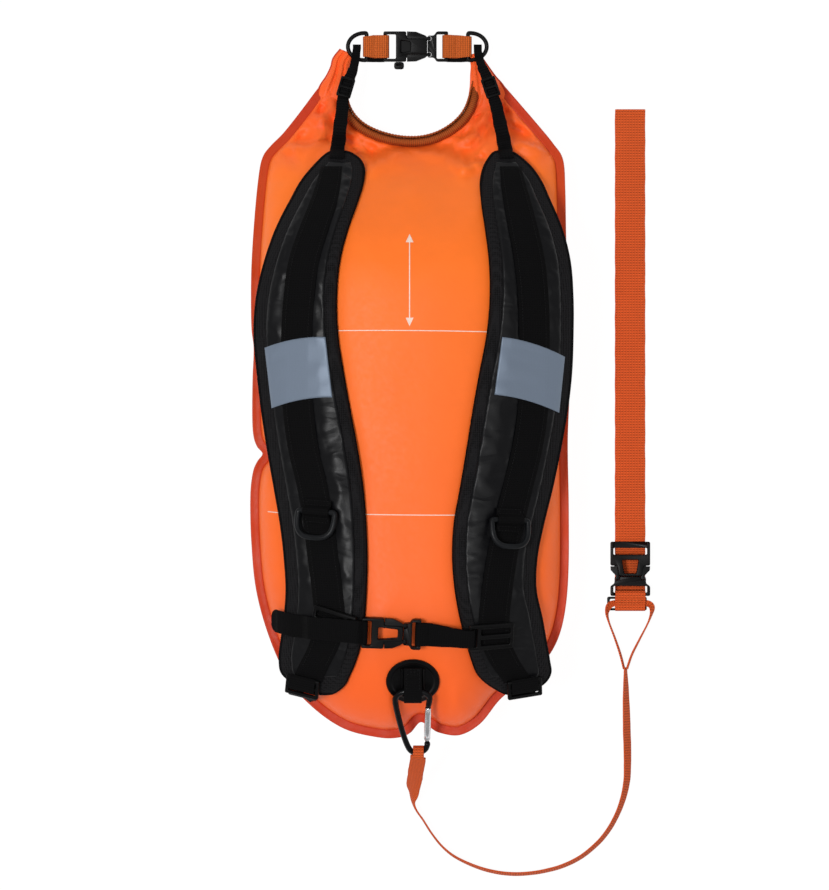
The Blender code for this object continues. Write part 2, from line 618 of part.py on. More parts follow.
def lift_clear(grid, floor, gap):
    """Raise a grid of points until the facets between them clear what lies below."""
    rise = np.zeros(grid.shape[:2])
    for i in range(grid.shape[0] - 1):
        for j in range(grid.shape[1] - 1):
            four = grid[i : i + 2, j : j + 2]
            for u in FACET_SPOTS:
                for v in FACET_SPOTS:
                    plan = (
                        (1 - u) * (1 - v) * four[0, 0] + u * (1 - v) * four[1, 0]
                        + (1 - u) * v * four[0, 1] + u * v * four[1, 1]
                    )
                    short = floor(plan[0], plan[1]) + gap - facet_height(four[..., 2], u, v)
                    if short > 0:
                        corner = rise[i : i + 2, j : j + 2]
                        np.maximum(corner, short, out=corner)
    lifted = grid.copy()
    lifted[..., 2] += rise
    return lifted


MATERIALS = {}


def material(name, colour, roughness, metallic=0.0):
    made = bpy.data.materials.new(name)
    made.use_nodes = True
    shader = made.node_tree.nodes["Principled BSDF"]
    shader.inputs["Base Color"].default_value = (*colour, 1)
    shader.inputs["Roughness"].default_value = roughness
    shader.inputs["Metallic"].default_value = metallic
    MATERIALS[name] = made


def finish(name, data, slot, parent=None, place=None):
    """Put a mesh or a curve in the scene as one named piece."""
    piece = bpy.data.objects.new(name, data)
    bpy.context.collection.objects.link(piece)
    data.materials.clear()
    data.materials.append(MATERIALS[slot])
    piece.parent = parent
    if place is not None:
        piece.location = place
    if piece.type == "MESH":
        data.shade_smooth()
        data.set_sharp_from_angle(angle=SHARP_ANGLE)
    return piece


def empty(name, frame):
    """A frame that pieces are placed in."""
    made = bpy.data.objects.new(name, None)
    bpy.context.collection.objects.link(made)
    made.matrix_world = frame
    bpy.context.view_layer.update()
    return made


def mesh_of(name, points, faces):
    data = bpy.data.meshes.new(name)
    data.from_pydata([tuple(map(float, p)) for p in points], [], faces)
    work = bmesh.new()
    work.from_mesh(data)
    bmesh.ops.recalc_face_normals(work, faces=work.faces)
    if work.calc_volume(signed=True) < 0:
        bmesh.ops.reverse_faces(work, faces=work.faces)
    work.to_mesh(data)
    work.free()
    return data


def sheet_mesh(name, top, under):
    """A closed solid between two grids of points of the same size."""
    top, under = np.array(top, float), np.array(under, float)
    rows, columns = top.shape[:2]
    points = np.vstack([top.reshape(-1, 3), under.reshape(-1, 3)])
    low = rows * columns
    faces = []
    for i in range(rows - 1):
        for j in range(columns - 1):
            a, b = i * columns + j, (i + 1) * columns + j
            faces.append((a, b, b + 1, a + 1))
            faces.append((low + a, low + a + 1, low + b + 1, low + b))
    rim = [j for j in range(columns)]
    rim += [i * columns + columns - 1 for i in range(1, rows)]
    rim += [(rows - 1) * columns + j for j in range(columns - 2, -1, -1)]
    rim += [i * columns for i in range(rows - 2, 0, -1)]
    for a, b in zip(rim, rim[1:] + rim[:1]):
        faces.append((a, b, low + b, low + a))
    return mesh_of(name, points, faces)


def layer(name, slot, rows, floor, thick, height=None, gap=GAP):
    """A thin layer over rows of plan points: at a height, or draped on the floor."""
    flat = np.array(rows, float)
    if height is None:
        base = np.array([[floor(x, y) for x, y in row] for row in flat]) + gap
    else:
        base = height(flat.reshape(-1, 2)).reshape(flat.shape[:2])
    under = lift_clear(np.dstack([flat, base]), floor, gap)
    top = under + np.array([0, 0, thick])
    return finish(name, sheet_mesh(name, top, under), slot)


def ribbon_mesh(name, path, across, width, thick, closed=False):
    """Flat webbing along a path; across gives its width's direction at each point."""
    path, across = np.array(path, float), np.array(across, float)
    width = np.broadcast_to(width, len(path))
    if closed:
        along = np.roll(path, -1, axis=0) - np.roll(path, 1, axis=0)
    else:
        along = np.gradient(path, axis=0)
    along /= np.linalg.norm(along, axis=1)[:, None]
    across = across - (across * along).sum(1)[:, None] * along
    across /= np.linalg.norm(across, axis=1)[:, None]
    up = np.cross(across, along)
    sideways = across * (width / 2)[:, None]
    points = []
    for a, b in ((1, 1), (1, -1), (-1, -1), (-1, 1)):
        points.append(path + a * sideways + b * up * thick / 2)
    points = np.stack(points, axis=1).reshape(-1, 3)
    count = len(path)
    faces = []
    for i in range(count if closed else count - 1):
        a, b = 4 * i, 4 * ((i + 1) % count)
        for k in range(4):
            n = (k + 1) % 4
            faces.append((a + k, a + n, b + n, b + k))
    if not closed:
        faces.append((3, 2, 1, 0))
        faces.append(tuple(4 * (count - 1) + k for k in range(4)))
    return mesh_of(name, points, faces)


def tube_mesh(name, path, radius, sides, closed=False, up=(0, 0, 1)):
    """A round bar along a path that lies in the plane square to up."""
    path, up = np.array(path, float), np.array(up, float)
    if path.shape[1] == 2:
        path = np.column_stack([path, np.zeros(len(path))])
    if closed:
        along = np.roll(path, -1, axis=0) - np.roll(path, 1, axis=0)
    else:
        along = np.gradient(path, axis=0)
    along /= np.linalg.norm(along, axis=1)[:, None]
    side = np.cross(up, along)
    side /= np.linalg.norm(side, axis=1)[:, None]
    turns = [2 * math.pi * (k + 0.5) / sides for k in range(sides)]
    points = np.stack(
        [path + radius * (math.cos(t) * side + math.sin(t) * up) for t in turns], axis=1
    ).reshape(-1, 3)
    count = len(path)
    faces = []
    for i in range(count if closed else count - 1):
        a, b = sides * i, sides * ((i + 1) % count)
        for k in range(sides):
            n = (k + 1) % sides
            faces.append((a + k, a + n, b + n, b + k))
    if not closed:
        faces.append(tuple(range(sides))[::-1])
        faces.append(tuple(sides * (count - 1) + k for k in range(sides)))
    return mesh_of(name, points, faces)


def arc(centre, radius, start, end, steps=6):
    """Points round part of a circle, angles in degrees."""
    return [
        (
            centre[0] + radius * math.cos((start + (end - start) * k / steps) * DEG),
            centre[1] + radius * math.sin((start + (end - start) * k / steps) * DEG),
        )
        for k in range(steps + 1)
    ]


def rounded(corners, radius, steps=2):
    """An outline with each corner rounded by a short curve."""
    found = []
    count = len(corners)
    for i, corner in enumerate(corners):
        here = np.array(corner, float)
        before = np.array(corners[i - 1], float) - here
        after = np.array(corners[(i + 1) % count], float) - here
        reach = min(radius, np.linalg.norm(before) / 2.1, np.linalg.norm(after) / 2.1)
        a = here + before / np.linalg.norm(before) * reach
        b = here + after / np.linalg.norm(after) * reach
        for k in range(steps + 1):
            t = k / steps
            found.append(tuple((1 - t) ** 2 * a + 2 * t * (1 - t) * here + t**2 * b))
    return found


def box_corners(x0, y0, x1, y1):
    return [(x0, y0), (x1, y0), (x1, y1), (x0, y1)]


def plate_mesh(name, outlines, thick, bevel):
    """A flat plate with holes and eased edges, centred on its own plane."""
    data = bpy.data.curves.new(name + "_outline", "CURVE")
    data.dimensions = "2D"
    data.fill_mode = "BOTH"
    data.extrude = thick / 2 - bevel
    data.bevel_depth = bevel
    data.bevel_resolution = 0
    data.offset = -bevel
    for points in outlines:
        spline = data.splines.new("POLY")
        spline.points.add(len(points) - 1)
        spline.use_cyclic_u = True
        for point, (x, y) in zip(spline.points, points):
            point.co = (x, y, 0, 1)
    holder = bpy.data.objects.new(name + "_outline", data)
    bpy.context.collection.objects.link(holder)
    graph = bpy.context.evaluated_depsgraph_get()
    made = bpy.data.meshes.new_from_object(holder.evaluated_get(graph))
    bpy.data.objects.remove(holder)
    bpy.data.curves.remove(data)
    made.name = name
    work = bmesh.new()
    work.from_mesh(made)
    bmesh.ops.remove_doubles(work, verts=work.verts, dist=WELD)
    bmesh.ops.recalc_face_normals(work, faces=work.faces)
    work.to_mesh(made)
    work.free()
    return made


def block_mesh(name, low, high):
    x0, y0, z0 = low
    x1, y1, z1 = high
    rim = box_corners(x0, y0, x1, y1)
    points = [(x, y, z) for z in (z0, z1) for x, y in rim]
    sides = [(k, (k + 1) % 4, (k + 1) % 4 + 4, k + 4) for k in range(4)]
    return mesh_of(name, points, [(3, 2, 1, 0), (4, 5, 6, 7), *sides])


def cut(piece, name, data, operation="DIFFERENCE"):
    """Cut a hidden helper out of a piece, or join it on."""
    helper = bpy.data.objects.new(name, data)
    bpy.context.collection.objects.link(helper)
    helper.parent = piece.parent
    helper.location = piece.location
    helper.hide_render = True
    helper.hide_set(True)
    helper.display_type = "WIRE"
    modifier = piece.modifiers.new(name, "BOOLEAN")
    modifier.operation = operation
    modifier.object = helper


def frame_of(origin, x_axis, up):
    """A frame at an origin with its X axis given and its Z axis as near up as that allows."""
    x_axis = Vector(x_axis).normalized()
    z_axis = Vector(up)
    z_axis = (z_axis - z_axis.dot(x_axis) * x_axis).normalized()
    y_axis = z_axis.cross(x_axis)
    frame = Matrix((x_axis, y_axis, z_axis)).transposed().to_4x4()
    frame.translation = Vector(origin)
    return frame


def strap_frame(x, y, turn=0):
    """A frame touching the harness side's smooth surface, turned in plan."""
    slope_x, slope_y = slope_at(lying_height, x, y)
    up = Vector((-slope_x, -slope_y, 1)).normalized()
    heading = Vector((math.cos(turn), math.sin(turn), 0))
    heading -= heading.dot(up) * up
    return frame_of((x, y, float(lying_height([(x, y)])[0])), heading, up)


def seated(frame, box, floor, gap):
    """Lift a frame until a rectangle in its own plane lies a gap above the floor."""
    x0, y0, x1, y1 = box
    rise = -SKY
    for a in np.linspace(x0, x1, SEAT_SPOTS):
        for b in np.linspace(y0, y1, SEAT_SPOTS):
            spot = frame @ Vector((a, b, 0))
            rise = max(rise, floor(spot.x, spot.y) - spot.z)
    up = frame.to_3x3() @ Vector((0, 0, 1))
    return Matrix.Translation((0, 0, rise + gap / up.z)) @ frame


def harness_floor(side, *others):
    return Floor(f"shoulder_webbing_{side}", f"pad_cover_{side}", f"shoulder_pad_{side}", *others)


def make_materials():
    material("coated_orange", (0.95, 0.20, 0.05), 0.45)
    material("seam_orange", (0.62, 0.12, 0.03), 0.55)
    material("webbing_orange", (0.55, 0.15, 0.04), 0.8)
    material("belt_orange", (0.62, 0.12, 0.03), 0.8)
    material("pad_black", (0.012, 0.012, 0.014), 0.9)
    material("cover_black", (0.03, 0.03, 0.034), 0.4)
    material("webbing_black", (0.010, 0.010, 0.011), 0.85)
    material("reflective_grey", (0.22, 0.26, 0.31), 0.5)
    material("plastic_black", (0.018, 0.018, 0.02), 0.35)
    material("plastic_grey", (0.06, 0.065, 0.07), 0.4)
    material("anodised_black", (0.02, 0.02, 0.022), 0.3, 1.0)
    material("bright_metal", (0.75, 0.76, 0.78), 0.25, 1.0)
    material("valve_grey", (0.05, 0.05, 0.055), 0.4)


def bag_body():
    """The inflated bag: two domed sheets that meet at the seam, flat where they rest."""
    ring = BODY_RING
    count = len(ring)
    plan = [tuple(p) for p in ring]
    normals = np.roll(ring, -1, axis=0) - np.roll(ring, 1, axis=0)
    normals = np.column_stack([-normals[:, 1], normals[:, 0]])
    normals /= np.linalg.norm(normals, axis=1)[:, None]
    for inset in RING_INSETS:
        row = ring + normals * inset
        kept = []
        spacing = inset * RING_SPACING_SHARE
        for p, depth in zip(row, inside_distance(row, ring)):
            clear = all(np.linalg.norm(p - q) > spacing for q in kept)
            if depth > RING_KEEP_SHARE * inset and clear:
                kept.append(p)
        plan += [tuple(p) for p in kept]
    xs = np.arange(-HALF_WIDTH, HALF_WIDTH, CORE_STEP)
    ys = np.arange(-HALF_LENGTH, HALF_LENGTH, CORE_STEP * ROW_SHARE)
    for i, y in enumerate(ys):
        row = np.column_stack([xs + CORE_STEP / 2 * (i % 2), np.full(len(xs), y)])
        depths = inside_distance(row, ring)
        plan += [tuple(p) for p, depth in zip(row, depths) if depth > CORE_INSET]
    edges = [(i, (i + 1) % count) for i in range(count)]
    flat, _, faces, origins, _, _ = delaunay_2d_cdt(
        [Vector(p) for p in plan], edges, [], 1, WELD
    )
    flat = np.array([(p.x, p.y) for p in flat])
    on_rim = [any(i < count for i in source) for source in origins]
    tops, unders = bag_top(flat), bag_under(flat)
    points, low = [], {}
    for i, (x, y) in enumerate(flat):
        points.append((x, y, float(seam_height(y)) if on_rim[i] else tops[i]))
    for i, (x, y) in enumerate(flat):
        if on_rim[i]:
            low[i] = i
        else:
            low[i] = len(points)
            points.append((x, y, unders[i]))
    solid = [tuple(f) for f in faces] + [tuple(low[i] for i in reversed(f)) for f in faces]
    finish("bag_body", mesh_of("bag_body", points, solid), "coated_orange")


def welded_seam():
    inner = SEAM_PATH + left_normals(SEAM_PATH) * SEAM_WIDTH
    rows = np.stack([SEAM_PATH, inner], axis=1)
    height = seam_height(rows[..., 1])
    top = np.dstack([rows, height + SEAM_THICK / 2])
    under = np.dstack([rows, height - SEAM_THICK / 2])
    finish("welded_seam", sheet_mesh("welded_seam", top, under), "seam_orange")


def mouth_band(name, slot, start, thick, depth):
    """A band along the mouth, from a depth below the handle gap's edge."""
    near = below_mouth(start)
    far = below_mouth(start + thick)
    height = seam_height(MOUTH_PATH[:, 1])
    low, high = height - depth / 2, height + depth / 2
    top = np.stack([np.column_stack([near, high]), np.column_stack([near, low])], axis=1)
    under = np.stack([np.column_stack([far, high]), np.column_stack([far, low])], axis=1)
    finish(name, sheet_mesh(name, top, under), slot)


def rolled_band(name, slot, start, thick, depth):
    """The rolled mouth: a band with rounded upper and lower edges."""
    height = seam_height(MOUTH_PATH[:, 1])
    near_rows, far_rows = [], []
    for across, fat in ROLL_SECTION_SHARES:
        middle = below_mouth(start + thick / 2)
        toward = below_mouth(start + thick / 2 - fat * thick / 2)
        away = 2 * middle - toward
        z = height + across * depth / 2
        near_rows.append(np.column_stack([toward, z]))
        far_rows.append(np.column_stack([away, z]))
    top, under = np.stack(near_rows, axis=1), np.stack(far_rows, axis=1)
    finish(name, sheet_mesh(name, top, under), slot)


def roll_top():
    mouth_band("mouth_webbing", "webbing_orange", 0, WEB_THICK, MOUTH_WEB_DEPTH)
    rolled_band("roll_top", "coated_orange", WEB_THICK + GAP, roll_thickness(), ROLL_DEPTH)


def ring_outline(bar, reach, corner, steps):
    """The middle line of a D: a straight bar along X, and a bow that hangs to -Y."""
    half = bar / 2
    points = rounded([(-half, -corner), (-half, 0), (half, 0), (half, -corner)], corner, 3)[3:-3]
    points = [(-half, -corner)] + points + [(half, -corner)]
    drop = reach - corner
    bow = [
        (half * math.cos(math.pi * k / steps), -corner - drop * math.sin(math.pi * k / steps))
        for k in range(1, steps)
    ]
    return points + bow


def bar_wrap(bar):
    """Radius of webbing's middle round a flat bar of a buckle."""
    return math.hypot(bar / 2, BUCKLE_BAR_THICK / 2) + GAP + WRAP_EASE + WEB_THICK / 2


def band_round_bars(left, right, left_radius, right_radius, height):
    """A closed band of double webbing between two bars, as (along, height) points."""
    lie = WEB_THICK / 2 + GAP / 2
    taper_left, taper_right = BAND_TAPER * left_radius, BAND_TAPER * right_radius
    top = [(left + taper_left, height + lie), (right - taper_right, height + lie)]
    foot = [(right - taper_right, height - lie), (left + taper_left, height - lie)]
    return (
        top
        + arc((right, height), right_radius, 90, -90)
        + foot
        + arc((left, height), left_radius, -90, -270)
    )


def closure_strap():
    buckle = BUCKLES["closure"]
    ring_radius = CLOSURE_WIRE / 2 + GAP + WEB_THICK / 2
    start = CLOSURE_BUCKLE_X
    socket_bar, plug_bar = buckle["bar"], buckle["plug_bar"]
    ends = {
        "left": (
            CLOSURE_RING_LEFT_X, start + socket_bar / 2, ring_radius, bar_wrap(socket_bar)
        ),
        "right": (
            start + buckle["length"] - plug_bar / 2, CLOSURE_RING_RIGHT_X, bar_wrap(plug_bar),
            ring_radius,
        ),
    }
    for side, (left, right, left_radius, right_radius) in ends.items():
        loop = band_round_bars(left, right, left_radius, right_radius, CLOSURE_HEIGHT)
        path = [(x, CLOSURE_Y, z) for x, z in loop]
        across = [(0, 1, 0)] * len(path)
        narrow_end, broad_end = (left, right) if side == "left" else (right, left)
        width = [
            CLOSURE_RING_WEB_WIDTH + (CLOSURE_WEB_WIDTH - CLOSURE_RING_WEB_WIDTH)
            * float(smoothstep((x - narrow_end) / (broad_end - narrow_end) * 2))
            for x, _ in loop
        ]
        name = f"closure_webbing_{side}"
        data = ribbon_mesh(name, path, across, width, WEB_THICK, closed=True)
        finish(name, data, "webbing_orange")
        heading = (0, -1, 0) if side == "left" else (0, 1, 0)
        frame = frame_of((CLOSURE_RING_X[side], CLOSURE_Y, CLOSURE_HEIGHT), heading, (0, 0, 1))
        ring = ring_outline(CLOSURE_RING_BAR, CLOSURE_RING_REACH, CLOSURE_RING_CORNER, 9)
        name = f"closure_ring_{side}"
        data = tube_mesh(name, ring, CLOSURE_WIRE / 2, CLOSURE_RING_SIDES, closed=True)
        finish(name, data, "plastic_black", empty(name + "_frame", frame))
    frame = frame_of((start, CLOSURE_Y, CLOSURE_HEIGHT), (1, 0, 0), (0, 0, 1))
    side_release("closure", empty("closure_buckle_frame", frame))


def socket_mesh_outline(size):
    half = size["width"] / 2
    tongue = half - BUCKLE_TAB
    return rounded(
        [
            (0, -half), (size["wall"], -half), (size["wall"], -tongue),
            (size["tongue"], -tongue * TONGUE_SHARE), (size["tongue"], tongue * TONGUE_SHARE),
            (size["wall"], tongue), (size["wall"], half), (0, half),
        ],
        CORNER,
    )


def side_release(name, parent):
    """Socket, plug and two prongs of a closed side-release buckle, along +X."""
    size = BUCKLES[name]
    half, thick = size["width"] / 2, size["thick"]
    slot_half = half - BUCKLE_RAIL
    pivot_x = size["tongue"] + GAP + PRONG_SEAT
    pivot_y = half - BUCKLE_TAB - GAP
    slot = rounded(box_corners(size["bar"], -slot_half, size["slot"], slot_half), SLOT_CORNER, 1)
    window_start = size["wall"] - WINDOW_BACK
    narrow, broad = half * WINDOW_NARROW_SHARE, half * WINDOW_BROAD_SHARE
    window = rounded(
        [(window_start, -broad), (size["window"], -narrow), (size["window"], narrow),
         (window_start, broad)], SLOT_CORNER, 1,
    )
    data = plate_mesh(f"{name}_socket", [socket_mesh_outline(size), slot, window], thick,
                      BUCKLE_BEVEL)
    socket = finish(f"{name}_socket", data, "plastic_black", parent)
    inner = half - BUCKLE_WALL
    room = thick - 2 * BUCKLE_PLATE
    deep, lip_start = size["slot"] + BUCKLE_WALL, size["wall"] - BUCKLE_LIP
    mouth, lip = size["tongue"] + OVERRUN, inner - BUCKLE_LIP_REACH
    cavity = [(deep, -inner), (lip_start, -inner), (lip_start, -lip), (mouth, -lip),
              (mouth, lip), (lip_start, lip), (lip_start, inner), (deep, inner)]
    cut(socket, f"{name}_cavity", plate_mesh(f"{name}_cavity", [cavity], room, 0))
    for above in (1, -1):
        relief = block_mesh(
            f"{name}_bar_relief_{above}",
            (-OVERRUN, -slot_half, above * BUCKLE_BAR_THICK / 2),
            (size["bar"] + SLOT_CORNER, slot_half, above * (thick / 2 + OVERRUN)),
        )
        cut(socket, f"{name}_bar_relief_{above}", relief)

    base_half = half - BUCKLE_TAB + PRONG_ROOT + GAP
    end, base = size["length"], size["base"]
    start = size["tongue"] + GAP
    plug_outline = rounded(
        [(start, -base_half), (base - PLUG_NECK, -base_half), (base, -half), (end, -half),
         (end, half), (base, half), (base - PLUG_NECK, base_half), (start, base_half)],
        CORNER,
    )
    bar_start = end - size["plug_bar"]
    plug_slot = rounded(box_corners(base, -slot_half, bar_start, slot_half), SLOT_CORNER, 1)
    data = plate_mesh(f"{name}_plug", [plug_outline, plug_slot], thick, BUCKLE_BEVEL)
    plug = finish(f"{name}_plug", data, "plastic_black", parent)
    for above in (1, -1):
        relief = block_mesh(
            f"{name}_plug_relief_{above}",
            (bar_start - SLOT_CORNER, -slot_half, above * BUCKLE_BAR_THICK / 2),
            (end + OVERRUN, slot_half, above * (thick / 2 + OVERRUN)),
        )
        cut(plug, f"{name}_plug_relief_{above}", relief)
    prong_thick = thick - 2 * BUCKLE_PLATE - 2 * GAP
    for sign, word in ((1, "upper"), (-1, "lower")):
        seat = disc_mesh(f"{name}_seat_{word}", PRONG_ROOT + GAP, thick / 2 + OVERRUN,
                         (pivot_x, sign * pivot_y), 16)
        cut(plug, f"{name}_seat_{word}", seat)
        outline = prong_outline(size, pivot_x, pivot_y)
        points = [(x - pivot_x, sign * (y - pivot_y)) for x, y in outline]
        data = plate_mesh(f"{name}_prong_{word}", [points], prong_thick, PRONG_BEVEL)
        finish(f"{name}_prong_{word}", data, "plastic_black", parent,
               (pivot_x, sign * pivot_y, 0))


def prong_outline(size, pivot_x, pivot_y):
    """A latch arm: a round root in the plug, a thumb tab, and a catch behind the wall's lip."""
    half = size["width"] / 2
    inner = half - BUCKLE_WALL
    lip = inner - BUCKLE_LIP_REACH
    shoulder, hook = size["wall"] + 2 * GAP, size["wall"] - BUCKLE_LIP - GAP
    tip = hook - PRONG_CATCH
    tab_end = pivot_x - PRONG_ROOT * TAB_END_SHARE
    root = arc((pivot_x, pivot_y), PRONG_ROOT, -PRONG_ROOT_TURN, PRONG_ROOT_TURN, 8)
    arm = pivot_y - PRONG_ROOT * math.sin(PRONG_ROOT_TURN * DEG)
    return root + [
        (tab_end, pivot_y + PRONG_ARM), ((shoulder + tab_end) / 2, half - GAP),
        (shoulder, half), (shoulder, lip - GAP), (hook, lip - GAP), (hook, inner - 2 * GAP),
        (tip, lip - PRONG_ARM / 2), (tip, arm - PRONG_ARM / 4), (hook, arm - PRONG_ARM / 4),
    ]


def disc_mesh(name, radius, half_thick, centre, sides):
    """A short upright cylinder about (x, y)."""
    work = bmesh.new()
    bmesh.ops.create_cone(
        work, cap_ends=True, segments=sides, radius1=radius, radius2=radius,
        depth=2 * half_thick, matrix=Matrix.Translation((centre[0], centre[1], 0)),
    )
    made = bpy.data.meshes.new(name)
    work.to_mesh(made)
    work.free()
    return made


def whistle():
    """The whistle in the lower side of the closure buckle's socket."""
    size = BUCKLES["closure"]
    top = -size["width"] / 2 - GAP
    foot = top - WHISTLE_REACH
    half = WHISTLE_WIDTH / 2
    outline = rounded(
        box_corners(WHISTLE_PLACE - half, foot, WHISTLE_PLACE + half, top), WHISTLE_WIDTH / 4
    )
    parent = bpy.data.objects["closure_buckle_frame"]
    piece = finish(
        "whistle", plate_mesh("whistle", [outline], WHISTLE_THICK, BUCKLE_BEVEL),
        "plastic_black", parent,
    )
    air = block_mesh(
        "whistle_air", (WHISTLE_PLACE - half / 2, foot - OVERRUN, -WHISTLE_THICK / 6),
        (WHISTLE_PLACE + half / 2, foot + WHISTLE_BORE, WHISTLE_THICK / 6),
    )
    cut(piece, "whistle_air", air)
    window = block_mesh(
        "whistle_window", (WHISTLE_PLACE - half / 2, foot + WHISTLE_BORE - WHISTLE_WINDOW, 0),
        (WHISTLE_PLACE + half / 2, foot + WHISTLE_BORE, WHISTLE_THICK),
    )
    cut(piece, "whistle_window", window)


def shoulder_strap(side):
    rows = []
    for t in np.linspace(0, 1, PAD_ROWS):
        share = t - PAD_END_CROWDING * math.sin(2 * math.pi * t) / (2 * math.pi)
        centre, half = pad_row(side, share)
        inset = min(COVER_INSET, COVER_EDGE_SHARE * half)
        scale = inset / COVER_INSET
        outer = [half - scale * i for i in PAD_EDGE_INSETS]
        across = [-o for o in outer]
        across += [a * (half - inset) for a in PAD_MIDDLE_SHARES]
        across += outer[::-1]
        rows.append([(centre + a, pad_y(share)) for a in across])
    flat = np.array(rows)
    base = lying_height(flat.reshape(-1, 2)).reshape(flat.shape[:2]) + SOFT_GAP
    under = lift_clear(np.dstack([flat, base]), Floor("bag_body"), GAP)
    thick = np.array([[pad_thickness(side, x, y) for x, y in row] for row in flat])
    top = under + np.dstack([0 * thick, 0 * thick, thick])
    finish(f"shoulder_pad_{side}", sheet_mesh(f"shoulder_pad_{side}", top, under), "pad_black")

    inner = slice(len(PAD_EDGE_INSETS), -len(PAD_EDGE_INSETS))
    first, last = (int(share * PAD_ROWS) for share in COVER_ROW_SHARES)
    under = top[first:last, inner] + np.array([0, 0, GAP])
    name = f"pad_cover_{side}"
    finish(name, sheet_mesh(name, under + np.array([0, 0, COVER_THICK]), under), "cover_black")

    rows = []
    for share in np.linspace(*STRAP_SPAN_SHARES, STRAP_ROWS):
        centre, half = strap_row(side, share)
        rows.append(
            [(centre + a * half, pad_y(share)) for a in np.linspace(-1, 1, STRAP_COLUMNS)]
        )
    layer(f"shoulder_webbing_{side}", "webbing_black", rows,
          Floor(f"pad_cover_{side}", f"shoulder_pad_{side}"), WEB_THICK,
          lambda spots: lying_height(spots) + COVER_TOP + GAP)

    top_left, top_right, foot_right, foot_left = map(at, PATCH_CORNER_SHARES[side])
    rows = []
    for v in np.linspace(0, 1, PATCH_ROWS):
        left = top_left + (foot_left - top_left) * v
        right = top_right + (foot_right - top_right) * v
        row = []
        for u in np.linspace(0, 1, PATCH_COLUMNS):
            bow = PATCH_BOW * 4 * u * (1 - u)
            row.append(tuple(left + (right - left) * u + np.array([0, bow])))
        rows.append(row)
    layer(f"reflective_patch_{side}", "reflective_grey", rows, harness_floor(side), PATCH_THICK,
          gap=SOFT_GAP)


def load_strap(side):
    """The thin strap from a closure ring over the bag's shoulder to a pad."""
    points, widths = [], []
    ring = np.array([CLOSURE_RING_X[side], CLOSURE_Y])
    rows = [
        (ring + np.array([x, y]) * ROUTE_UNIT, rise, width)
        for x, y, rise, width in LOAD_HEAD_ROUTE[side]
    ]
    rows += [(at((x, y)), rise, width) for x, y, rise, width in LOAD_SHARES[side]]
    for plan, rise, width in rows:
        points.append((*plan, float(seam_height(plan[1])) + rise * BAG_RISE))
        widths.append(width * LOAD_WIDTH)
    floor = Floor(f"shoulder_pad_{side}", f"pad_cover_{side}", "bag_body")
    for x, y, width in LOAD_FOOT_SHARES[side]:
        plan = at((x, y))
        points.append((*plan, floor(*plan) + LOAD_GAP + LOAD_THICK / 2))
        widths.append(width * LOAD_WIDTH)
    table = smooth_path(np.column_stack([points, widths]), 2)
    path, width = table[:, :3], table[:, 3]
    sides = np.array([[(a, 0, -LOAD_THICK / 2) for a in (-w / 2, 0, w / 2)] for w in width])
    rows = path[:, None, :] + sides

    def wide_floor(x, y):
        return max(floor(x, y - LOAD_STEP), floor(x, y), floor(x, y + LOAD_STEP))

    path[:, 2] += (lift_clear(rows, wide_floor, LOAD_GAP) - rows)[..., 2].max(axis=1)
    across = [(1, 0, 0)] * len(path)
    name = f"load_strap_{side}"
    finish(name, ribbon_mesh(name, path, across, width, LOAD_THICK), "webbing_black")
    place = LOAD_SLIDER_SHARE * HALF_LENGTH
    i = int(np.argmin(abs(path[:, 1] - place)))
    along = Vector(path[i - 1] - path[i + 1]).normalized()
    up = Vector((1, 0, 0)).cross(along)
    frame = frame_of(Vector(path[i]), along.cross(up), up)
    half, reach = LOAD_SLIDER_WIDTH / 2, LOAD_SLIDER_LENGTH / 2
    frame = seated(frame, (-half, -reach, half, reach), Floor(name), GAP + SLIDER_THICK / 2)
    slider_plate(f"load_slider_{side}", empty(f"load_slider_{side}_frame", frame),
                 LOAD_SLIDER_WIDTH, LOAD_SLIDER_LENGTH, SLIDER_THICK, LOAD_SLIDER_BAR,
                 LOAD_SLIDER_RAIL)


def slider_plate(name, parent, width, length, thick, bar, rail, loop=0):
    """A three-bar slider: a rounded plate with two slots across it; a loop of 1 or -1 adds
    a slot for another strap at that side."""
    half, reach = width / 2, length / 2
    left = half + (SIDE_BAR + SIDE_SLOT if loop < 0 else 0)
    right = half + (SIDE_BAR + SIDE_SLOT if loop > 0 else 0)
    outline = rounded(box_corners(-left, -reach, right, reach), CORNER)
    slots = [
        rounded(box_corners(rail - half, bar / 2, half - rail, reach - bar), SLOT_CORNER, 1),
        rounded(box_corners(rail - half, bar - reach, half - rail, -bar / 2), SLOT_CORNER, 1),
    ]
    if loop:
        near, far = loop * half, loop * (half + SIDE_SLOT)
        box = box_corners(min(near, far), rail - reach, max(near, far), reach - rail)
        slots.append(rounded(box, SLOT_CORNER, 1))
    bevel = min(BUCKLE_BEVEL, thick / 4)
    data = plate_mesh(name, [outline, *slots], thick, bevel)
    return finish(name, data, "plastic_black", parent)


